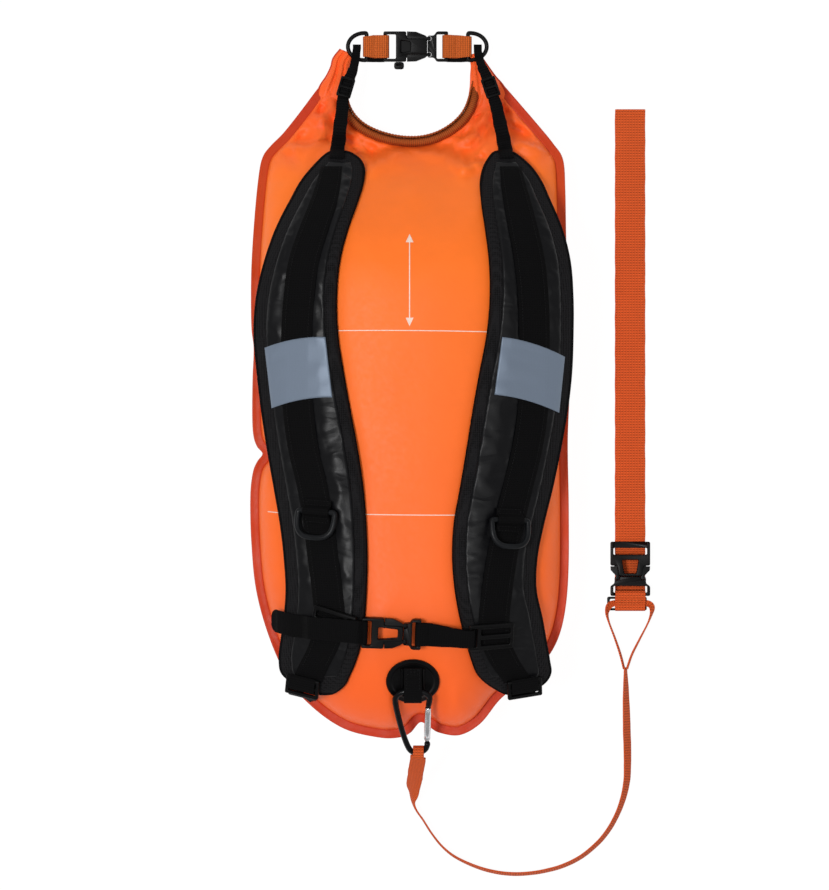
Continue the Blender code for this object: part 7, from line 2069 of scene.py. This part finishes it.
def load_path(side, floor):
    """The middle and the width of a load strap, from its closure ring to the pad."""
    lie = LOAD_GAP + LOAD_THICK / 2
    ring = np.array([CLOSURE_RING_X[side], CLOSURE_Y])
    rows = [(ring + np.array([x, y]) * ROUTE_UNIT, rise, width)
            for x, y, rise, width in LOAD_HEAD_ROUTE[side]]
    rows += [(at((x, y)), rise, width) for x, y, rise, width in LOAD_SHARES[side]]
    table = [(*plan, float(seam_height(plan[1])) + rise * BAG_RISE, width * LOAD_WIDTH)
             for plan, rise, width in rows]
    for x, y, width in LOAD_FOOT_SHARES[side]:
        plan = at((x, y))
        table.append((*plan, floor(*plan) + lie, width * LOAD_WIDTH))
    table = smooth_path(table, 10)
    path, width = table[:, :3], table[:, 3]
    low = [max(floor(p[0] + a * w / 2, p[1]) for a in (-0.9, 0, 0.9)) for p, w in zip(path, width)]
    path[:, 2] = np.maximum(path[:, 2], np.array(low) + lie)
    path[:, 2] = np.maximum(path[:, 2], softened(path, 6)[:, 2])
    return path, width


def load_straps(side, pad, cover):
    """The thin strap from a closure ring over the bag's shoulder, a padded sleeve at its foot."""
    path, width = load_path(side, Surface(pad, cover, BAG))
    webbing(f"load_webbing_{side}", path, [(1, 0, 0)] * len(path), width * 0.94, LOAD_THICK,
            "webbing_black", [f"load_strap_{side}"], passes=2, seed=3)
    start = int(SLEEVE_START * len(path))
    sleeve = path[start:].copy()
    sleeve[:, 2] += SLEEVE_LIFT
    bulge = [math.sin(k * 0.55) + 0.6 * math.sin(k * 1.31 + 1) for k in range(len(sleeve))]
    width = width[start:] * (1.02 + 0.035 * np.array(bulge))
    webbing(f"load_sleeve_{side}", sleeve, [(1, 0, 0)] * len(sleeve), width, LOAD_THICK + SLEEVE_EXTRA,
            "binding_black", passes=2, puff=SLEEVE_PUFF, seed=5)


def squared_bow(outline):
    """A D ring's outline with its round bow squared a little."""
    drop, half = STRAP_RING_REACH - STRAP_RING_CORNER, STRAP_RING_BAR / 2
    squared = []
    for x, y in outline:
        down = min(max((-y - STRAP_RING_CORNER) / drop, 0), 1)
        if down > 0:
            turn = math.asin(down)
            x = math.copysign(half * math.cos(turn) ** BOW_POWER, x)
            y = -STRAP_RING_CORNER - drop * math.sin(turn) ** BOW_POWER
        squared.append((x, y))
    return squared


def keeper_frame(side):
    """The frame of a D ring's bar, seated on its shoulder strap."""
    share = STRAP_RING_SHARES[side]
    x, _ = strap_row(side, share)
    place = strap_frame(x, pad_y(share), STRAP_RING_TURN[side])
    box = (-KEEPER_WIDTH / 2, -KEEPER_REACH, KEEPER_WIDTH / 2, KEEPER_REACH)
    return seated(place, box, harness_floor(side), STRAP_RING_LIFT)


def strap_ring(side, place):
    outline = ring_outline(STRAP_RING_BAR, STRAP_RING_REACH, STRAP_RING_CORNER, 40)
    tilted = place @ Matrix.Rotation(-STRAP_RING_REST, 4, "X")
    ring_piece(f"d_ring_{side}", squared_bow(outline), STRAP_RING_WIRE / 2, tilted, "plastic_grey",
               f"strap_ring_{side}", f"strap_ring_{side}")


def ring_keeper(side, place):
    """The sewn webbing that holds a D ring's bar."""
    radius = STRAP_RING_WIRE / 2 + GAP + WEB_THICK / 2
    low = -STRAP_RING_LIFT + GAP + WEB_THICK / 2
    foot = radius + KEEPER_FOOT
    path = [(-KEEPER_REACH, low), (-foot, low)]
    path += arc((0, 0), radius, *KEEPER_TURNS, 16)
    path += [(foot, low), (KEEPER_REACH, low)]
    line = [place @ Vector((0, a, b)) for a, b in path]
    side_way = place.to_3x3() @ Vector((1, 0, 0))
    _, spots, across, up, width = webbing(
        f"keeper_webbing_{side}", line, [side_way] * len(line), KEEPER_WIDTH, WEB_THICK,
        "webbing_black", [f"ring_keeper_{side}"], passes=1, step=KEEPER_STEP,
    )
    if up[0] @ np.array(place.to_3x3() @ Vector((0, 0, 1))) < 0:
        up = -up
    n = len(spots)
    runs = box_runs(spots, across, up, width, WEB_THICK, 1, n // 6)[:4]
    runs += box_runs(spots, across, up, width, WEB_THICK, n - 1 - n // 6, n - 2)[:4]
    stitches(f"keeper_stitches_{side}", runs, "thread_black")


def sternum_place():
    """The sternum buckle's own frame, as the solids have it."""
    size = BUCKLES["sternum"]
    share = STERNUM_SLIDER_SHARES["left"]
    x = strap_row("left", share)[0] + STERNUM_BUCKLE_OFFSET[0]
    y = pad_y(share) + STERNUM_BUCKLE_OFFSET[1]
    height = float(lying_height([(x, y)])[0])
    heading = Vector((math.cos(STERNUM_TURN), math.sin(STERNUM_TURN), 0))
    _, slope = slope_at(lying_height, x + size["length"] / 2, y)
    place = frame_of((x, y, height), heading, (0, -slope, 1))
    half = size["width"] / 2
    below = [f"{layer}_{side}" for layer in ("shoulder_pad", "pad_cover") for side in ("left", "right")]
    box = (-half, -half, size["length"] + half, half)
    return seated(place, box, solids_below("bag_body", *below), size["thick"] / 2 + SOFT_GAP)


def sternum_right(place, side_bar):
    """The closed band of webbing from the plug's bar to the right slider's side loop."""
    size = BUCKLES["sternum"]
    to_slider = sternum_slider_frame("right")
    radius = bar_wrap(size["plug_bar"])
    lie = WEB_THICK / 2 + GAP / 2
    start = size["length"] - size["plug_bar"] / 2
    far = math.hypot(SIDE_BAR, SLIDER_THICK) / 2 + GAP + WRAP_EASE + WEB_THICK / 2
    turn = to_slider.to_3x3() @ Vector((0, 1, 0))
    level = place.to_3x3() @ Vector((0, 1, 0))
    near, taper = start + BAND_TAPER * radius, -side_bar - BAND_TAPER * far
    path = [place @ Vector((near, 0, lie)), to_slider @ Vector((taper, 0, lie))]
    path += [to_slider @ Vector((a - side_bar, 0, b)) for a, b in arc((0, 0), far, 90, -90, 14)]
    path += [to_slider @ Vector((taper, 0, -lie)), place @ Vector((near, 0, -lie))]
    near_end = [place @ Vector((a, 0, b)) for a, b in arc((start, 0), radius, -90, -270, 14)]
    across = [level] + [turn] * (len(path) - 2) + [level] * (len(near_end) + 1)
    width = [STERNUM_WEB_WIDTH] + [STERNUM_RAIL_WEB_WIDTH] * (len(path) - 2)
    width += [STERNUM_WEB_WIDTH] * (len(near_end) + 1)
    webbing("sternum_strap_right", path + near_end, across, width, WEB_THICK, "webbing_black",
            ["sternum_webbing_right"], "sternum_strap", closed=True, passes=1,
            step=STRAP_STEP)


def sternum_tail(y, side_bar):
    """Middle points of the left webbing from its slider over the pad, and how they tilt across."""
    floor = harness_floor("left", "sternum_slider_left", "bag_body")
    inner_x = sternum_slider_frame("left").translation.x + side_bar + SIDE_BAR / 2 + TAIL_LEAD
    pad_centre, pad_half = pad_row("left", STERNUM_SLIDER_SHARES["left"])
    end_x = pad_centre - pad_half - TAIL_REACH
    half = STERNUM_WEB_WIDTH / 2
    rows = []
    for t in np.linspace(0, 1, TAIL_ROWS):
        x_here = inner_x + (end_x - inner_x) * t
        y_here = y + (TAIL_RISE - TAIL_SAG * math.sin(math.pi * t)) * t
        _, slope = slope_at(lying_height, x_here, y_here)
        z_here = float(lying_height([(x_here, y_here)])[0])
        rows.append([(x_here, y_here + a * half, z_here + a * half * slope) for a in (-1, 0, 1)])
    rows = np.array(rows)
    for _ in range(2):
        raised = lift_clear(rows, floor, TAIL_GAP) - rows
        rows[..., 2] += raised[..., 2].max(axis=1)[:, None]
    middle = rows[:, 1] + np.array([0, 0, WEB_THICK / 2])
    return [Vector(spot) for spot in middle], [Vector(tilt) for tilt in rows[:, 2] - rows[:, 0]]


def sternum_left(place, side_bar):
    """The webbing from round the socket's bar over the left slider, its spare end rounded."""
    size = BUCKLES["sternum"]
    radius, bar = bar_wrap(size["bar"]), size["bar"] / 2
    path = [place @ Vector((bar - RETURN_REACH, 0, -radius / 2))]
    path += [place @ Vector((a, 0, z)) for a, z in arc((bar, 0), radius, -90, 90, 14)]
    across = [place.to_3x3() @ Vector((0, 1, 0))] * len(path)
    y = pad_y(STERNUM_SLIDER_SHARES["left"]) + STERNUM_BUCKLE_OFFSET[1]
    tail, tilts = sternum_tail(y, side_bar)
    path, across = path + tail, across + tilts
    tip, back = path.pop(), path[-2]
    way = (tip - back).normalized()
    path = [spot for spot in path if (tip - spot).dot(way) > TAIL_ROUND]
    width = [STERNUM_WEB_WIDTH] * len(path)
    for t in np.linspace(0, 1, 9):
        path.append(tip - way * TAIL_ROUND * (1 - math.sin(t * math.pi / 2)))
        width.append(STERNUM_WEB_WIDTH * (0.4 + 0.6 * math.cos(t * math.pi / 2)))
    across = across[:len(path)] + [across[-1]] * (len(path) - len(across))
    webbing("sternum_strap_left", path, across, width, WEB_THICK, "webbing_black",
            ["sternum_webbing_left"], "sternum_strap", passes=2, step=STRAP_STEP)


def sternum():
    place = sternum_place()
    side_bar = STERNUM_SLIDER_WIDTH / 2 + SIDE_SLOT + SIDE_BAR / 2
    sternum_right(place, side_bar)
    sternum_left(place, side_bar)


def lock_frame(side):
    """The frame of a ladder lock, seated on the harness."""
    x, y = LOCK_X_SHARES[side] * HALF_WIDTH, pad_y(LOCK_SHARES[side])
    half, reach = LOCK_WIDTH / 2, LOCK_LENGTH / 2
    floor = harness_floor(side, "bag_body")
    return seated(strap_frame(x, y, LOCK_TURN[side]), (-half, -reach, half, reach), floor,
                  GAP + LOCK_THICK / 2)


def seam_landing(x):
    """Where a lower webbing lands on the foot's seam, with the ways inward and along the seam."""
    seam = PLAIN_SEAM
    i = int(np.argmin(abs(seam[:, 0] - x) + (seam[:, 1] > 0) * BAG_LENGTH))
    tangent = Vector((*(seam[i + 1] - seam[i - 1]), 0)).normalized()
    if tangent.x < 0:
        tangent = -tangent
    inward = Vector((-tangent.y, tangent.x, 0))
    landing = Vector((*seam[i], float(seam_height(seam[i][1]))))
    landing += inward * SEAM_WIDTH / 2
    landing += Vector((0, 0, SEAM_THICK / 2 + 4 * GAP + WEB_THICK / 2))
    return landing, inward, tangent


def lock_webbing(side, place, lock_x):
    """The strap's end, threaded in its ladder lock."""
    over = LOCK_THICK / 2 + WEB_THICK / 2 + LOCK_WEB_CLEAR
    path = [(LOCK_LENGTH / 2 + a, over + b) for a, b in LOCK_WEB_HEAD]
    path += [(a, over + b) for a, b in LOCK_WEB_FOOT]
    webbing(f"lock_webbing_{side}", [place @ Vector((0, a, b)) for a, b in path], [lock_x] * len(path),
            LOWER_WEB_WIDTH + LOCK_WEB_EXTRA, WEB_THICK, "webbing_black", (), f"ladder_lock_{side}",
            passes=2, step=LOCK_WEB_STEP)


def lower_strap(side):
    """The webbing from a ladder lock down to the seam, and the strap's end in the lock."""
    place = lock_frame(side)
    tuck, drop = LOWER_WEB_TUCK - LOCK_LENGTH / 2, -LOCK_THICK / 2 - 2 * GAP - WEB_THICK / 2
    start = place @ Vector((0, tuck, drop))
    landing, inward, tangent = seam_landing(start.x)
    lock_x = (place.to_3x3() @ Vector((1, 0, 0))).normalized()
    down = place.to_3x3() @ Vector((0, -LOWER_WEB_BOW, -LOWER_WEB_BOW))
    a, b, c, d = start + down / 3, start + down, landing - inward * LANDING_BOW, landing
    path, across = [start], [lock_x]
    for t in np.linspace(0, 1, 3 * LOWER_WEB_ROWS):
        spot = (1 - t) ** 3 * a + 3 * (1 - t) ** 2 * t * b + 3 * (1 - t) * t**2 * c + t**3 * d
        turned = float(smoothstep((t - LOWER_WEB_TURN_SHARE) / (1 - LOWER_WEB_TURN_SHARE)))
        path.append(spot)
        across.append(lock_x.lerp(tangent, turned))
    _, spots, wide, up, width = webbing(
        f"lower_strap_{side}", path, across, LOWER_WEB_WIDTH, WEB_THICK, "webbing_black",
        [f"lower_webbing_{side}"], passes=1, step=STRAP_STEP,
    )
    if up[-1][2] < 0:
        up = -up
    lock_webbing(side, place, lock_x)
    n = len(spots)
    stitches(f"lower_stitches_{side}", box_runs(spots, wide, up, width, WEB_THICK, n - 7, n - 2),
             "thread_black")


def anchor_patch():
    """The welded disc, with a ring pressed in it near its rim."""
    x, y = at(ANCHOR_SHARE)
    _, slope = slope_at(shell_top_plain, x, y)
    squeeze = 1 / math.sqrt(1 + slope**2)
    sides, points = DISC_SIDES, []
    for share, pressed in DISC_PROFILE:
        reach = ANCHOR_DIAMETER / 2 * share * DISC_SHARE
        thin = float(smoothstep((share - 0.74) / 0.26 * 2))
        thick = ANCHOR_THICK + (ANCHOR_RIM - ANCHOR_THICK) * thin
        for k in range(sides):
            t = 2 * math.pi * k / sides
            a, b = x + reach * math.cos(t), y + reach * math.sin(t) * squeeze
            z = float(shell_top_plain([(a, b)])[0]) + DISC_LIFT + thick + pressed
            points.append((a, b, z))
    offset = (solids_below("anchor_disc")(x, y) - points[0][2]) * DISC_SETTLE
    points = [(a, b, z + offset) for a, b, z in points]
    points += [(a, b, z - DISC_SKIRT) for a, b, z in points[-sides:]]
    faces = []
    for low in range(0, len(DISC_PROFILE) * sides, sides):
        for k in range(sides):
            m = (k + 1) % sides
            faces.append((low + k, low + sides + k, low + sides + m, low + m))
    faces.append(tuple(range(len(points) - sides, len(points))))
    mesh_piece("anchor_patch", points, faces, "plastic_black", nodes=["anchor_disc"],
               angle=55 * DEG)


def anchor_loop(seat):
    """The webbing loop sewn on the disc, the ribs beside it and its stitches."""
    lie = LOOP_SEAT + WEB_THICK / 2
    high = lie + WEB_THICK + 2 * SOFT_GAP + CARABINER_WIRE
    bend = (high - lie) / 2
    middle = (LOOP_TOP - LOOP_SEWN - LOOP_DROP / 2) / 2
    path = [(LOOP_TOP, lie + LOOP_LIFT), (LOOP_TOP - LOOP_SEWN, lie + LOOP_LIFT),
            (middle, (lie + high) / 2 + LOOP_LIFT / 2), (-LOOP_DROP / 2, high)]
    path += arc((-LOOP_DROP, lie + bend), bend, 90, 270, 16)
    path += [(-LOOP_DROP / 2, lie), (0, lie), (LOOP_TOP - LOOP_SEWN, lie)]
    line = [seat @ Vector((0, a, b)) for a, b in path]
    _, spots, across, up, width = webbing(
        "anchor_webbing", line, [(1, 0, 0)] * len(line), LOOP_WIDTH, WEB_THICK, "webbing_black",
        ["anchor_loop"], passes=3, step=LOOP_STEP,
    )
    if up[2][2] < 0:
        up = -up
    for name, sign in (("left", -1), ("right", 1)):
        rib = [(sign * (LOOP_WIDTH / 2 + RIB_CLEAR), a, LOOP_SEAT + RIB_LIFT)
               for a in np.linspace(*RIB_SPAN, 14)]
        tube(f"anchor_rib_{name}", [seat @ Vector(p) for p in rib], RIB_RADIUS, 12, "plastic_black")
    runs = box_runs(spots, across, up, width, WEB_THICK, 1, 8)
    runs += edge_runs(spots, across, up, width, WEB_THICK, STITCH_INSET_BOX, 0.0, 0.3)
    stitches("anchor_stitches", runs, "thread_black")


def carabiner_tongue(lean, hinge, rod_end):
    """The flat at the rod's end that the gate turns on."""
    half, sides = TANG_WIDTH / 2 - TANG_BEVEL, 20
    points = []
    for z in (-TANG_THICK / 2, TANG_THICK / 2):
        for k in range(sides):
            t = 2 * math.pi * k / sides
            reach = half
            if math.sin(t) <= 0:
                reach += abs(rod_end[1] - hinge[1]) * abs(math.sin(t)) ** 0.5
            spot = (hinge[0] + half * math.cos(t), hinge[1] + reach * math.sin(t), z)
            points.append(lean @ Vector(spot))
    faces = [tuple(range(sides))[::-1], tuple(range(sides, 2 * sides))]
    faces += [(k, (k + 1) % sides, (k + 1) % sides + sides, k + sides) for k in range(sides)]
    mesh_piece("carabiner_tongue", points, faces, "anodised_black",
               angle=30 * DEG)


def carabiner_pieces(lean):
    """The carabiner's bent rod and its sprung gate, finer than the solids."""
    path = smooth_path([carabiner_spot(share) for share in CARABINER_SHARES], 8)
    hinge, nose = carabiner_spot(GATE_HINGE_SHARE), carabiner_spot(GATE_TOP_SHARE)
    up = tuple(lean.to_3x3() @ Vector((0, 0, 1)))
    line = [lean @ Vector((a, b, 0)) for a, b in path]
    radius = np.full(len(line), CARABINER_WIRE / 2)
    radius[:3] *= ROD_START
    radius[-2:] *= ROD_END
    tube("carabiner_rod", line, radius, 20, "anodised_black", ["carabiner"],
         up=up)
    carabiner_tongue(lean, hinge, path[-1])
    run = Vector((nose[0] - hinge[0], nose[1] - hinge[1], 0))
    way, total = run.normalized(), run.length
    steps = list(GATE_FOOT) + [(total * k / 8, 1.0) for k in range(2, 7)]
    steps += [(total - back, share) for back, share in GATE_HEAD]
    line = [lean @ (Vector((*hinge, 0)) + way * along) for along, _ in steps]
    tube("gate_sleeve", line, [GATE_DIAMETER / 2 * share for _, share in steps], 24, "bright_metal",
         ["carabiner_gate"], "carabiner_gate", up=up)


def belt_pieces():
    """The folded belt, and the two rows of stitches near its lower fold."""
    points = [(BELT_X, y, z) for y, z in belt_path()]
    _, path, *_ = webbing(
        "belt_strap", points, [(1, 0, 0)] * len(points), BELT_WIDTH, WEB_THICK, "belt_orange",
        ["belt_webbing"], passes=2, step=BELT_STEP,
    )
    high = np.argmax(path[:, 2] * (path[:, 1] < BELT_FOOT + BELT_SEAM_REACH))
    top = path[high, 2] + WEB_THICK / 2
    lines = []
    for seam in BELT_SEAMS:
        line = [(BELT_X + a, BELT_FOOT + seam, top)
                for a in np.linspace(-BELT_SEAM_HALF, BELT_SEAM_HALF, 14)]
        lines.append((line, [(0, 0, 1)] * len(line)))
    stitches("belt_stitches", lines, "thread_orange")


def printed(name, outline_rows):
    """A thin printed mark laid on the bag: rows of (left, right) plan points."""
    flat = np.array(outline_rows, float)
    top, _ = shell_heights(flat.reshape(-1, 2))
    points = np.column_stack([flat.reshape(-1, 2), top + INK_LIFT])
    rows, columns = flat.shape[:2]
    faces = [(i * columns + j, i * columns + j + 1, (i + 1) * columns + j + 1, (i + 1) * columns + j)
             for i in range(rows - 1) for j in range(columns - 1)]
    mesh_piece(name, points, faces, "print_white")


def rule(name, start, end, bow):
    """A thin printed rule between two pixels."""
    a, b = pixel(*start), pixel(*end)
    rows = []
    for t in np.linspace(0, 1, 60):
        spot = a + (b - a) * t + np.array([0, -bow * MM * 4 * t * (1 - t)])
        rows.append([spot + (0, k * RULE_WIDTH / 2) for k in (-1, 0, 1)])
    printed(name, rows)


def marks():
    """The plain rules and the double arrow printed on the bag."""
    for row in RULES:
        rule(*row)
    (x, top_y), (_, foot_y) = [pixel(*end) for end in ARROW_ENDS]
    for name, tip, way in (("arrow_upper", top_y, -1), ("arrow_lower", foot_y, 1)):
        rows = []
        for t in np.linspace(0, 1, 10):
            y = tip + way * ARROW_HEAD * t
            rows.append([(x + k * ARROW_HALF * t, y) for k in (-1, -0.5, 0, 0.5, 1)])
        printed(name, rows)
    ends = (top_y - ARROW_HEAD, foot_y + ARROW_HEAD)
    printed("arrow_line", [[(x + k * ARROW_LINE / 2, y) for k in (-1, 0, 1)]
                           for y in np.linspace(*ends, 60)])


def dress_hardware():
    """Materials and eased edges for the solids that stay."""
    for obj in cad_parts.values():
        if obj.hide_render:
            continue
        key = obj.data.materials[0].name.split(".")[0] if obj.data.materials else "plastic_black"
        obj.data.materials.clear()
        obj.data.materials.append(MATERIALS.get(key, MATERIALS["plastic_black"]))
        obj.data.shade_smooth()
        weld = obj.modifiers.new("weld", "WELD")
        weld.merge_threshold = HARDWARE_WELD
        bevel = obj.modifiers.new("eased", "BEVEL")
        bevel.width = EASED_EDGE
        bevel.segments = 2
        bevel.limit_method = "ANGLE"
        bevel.angle_limit = SKIP_ANGLE
        bevel.harden_normals = True


def white_floor():
    g = Graph("floor_white")
    g.surface((0.05, 0.05, 0.05), 0.9, Specular_IOR_Level=0.0)
    g.shader.inputs["Emission Color"].default_value = (1, 1, 1, 1)
    g.shader.inputs["Emission Strength"].default_value = FLOOR_GLOW
    data = bpy.data.meshes.new("floor")
    corners = [(a * FLOOR_REACH, b * FLOOR_REACH, -FLOOR_DROP)
               for a, b in ((-1, -1), (1, -1), (1, 1), (-1, 1))]
    data.from_pydata(corners, [], [(0, 1, 2, 3)])
    data.materials.append(g.material)
    link(bpy.data.objects.new("floor", data))


def white_world():
    """White where the camera sees it, also through clear things, and dimmer as light."""
    world = bpy.data.worlds.new("studio")
    bpy.context.scene.world = world
    world.use_nodes = True
    tree = world.node_tree
    back = tree.nodes["Background"]
    rays = tree.nodes.new("ShaderNodeLightPath")
    seen = tree.nodes.new("ShaderNodeMath")
    seen.operation = "MAXIMUM"
    tree.links.new(rays.outputs["Is Camera Ray"], seen.inputs[0])
    tree.links.new(rays.outputs["Is Transmission Ray"], seen.inputs[1])
    level = tree.nodes.new("ShaderNodeMapRange")
    level.inputs["To Min"].default_value = WORLD_LEVEL
    level.inputs["To Max"].default_value = 1.0
    tree.links.new(seen.outputs[0], level.inputs["Value"])
    tree.links.new(level.outputs[0], back.inputs["Strength"])
    back.inputs["Color"].default_value = (1, 1, 1, 1)


def lamps():
    for name, power, (tilt, roll), wide in LAMPS:
        lamp = bpy.data.lights.new(name, "SUN")
        lamp.energy = power
        lamp.angle = wide * DEG
        link(bpy.data.objects.new(name, lamp)).rotation_euler = (tilt * DEG, roll * DEG, 0)


bpy.context.scene.view_settings.view_transform = "Standard"
make_camera()
anchor_seat, carabiner_lean = carabiner_frame()
leash_pieces(carabiner_lean)
BAG = bag_shell()
seam_welt()
mouth()
ears()
closure()
for strap_side in ("left", "right"):
    foam, shiny = shoulder(strap_side)
    load_straps(strap_side, foam, shiny)
    ring_seat = keeper_frame(strap_side)
    strap_ring(strap_side, ring_seat)
    ring_keeper(strap_side, ring_seat)
    lower_strap(strap_side)
sternum()
anchor_patch()
anchor_loop(anchor_seat)
carabiner_pieces(carabiner_lean)
belt_pieces()
marks()
dress_hardware()
white_floor()
white_world()
lamps()
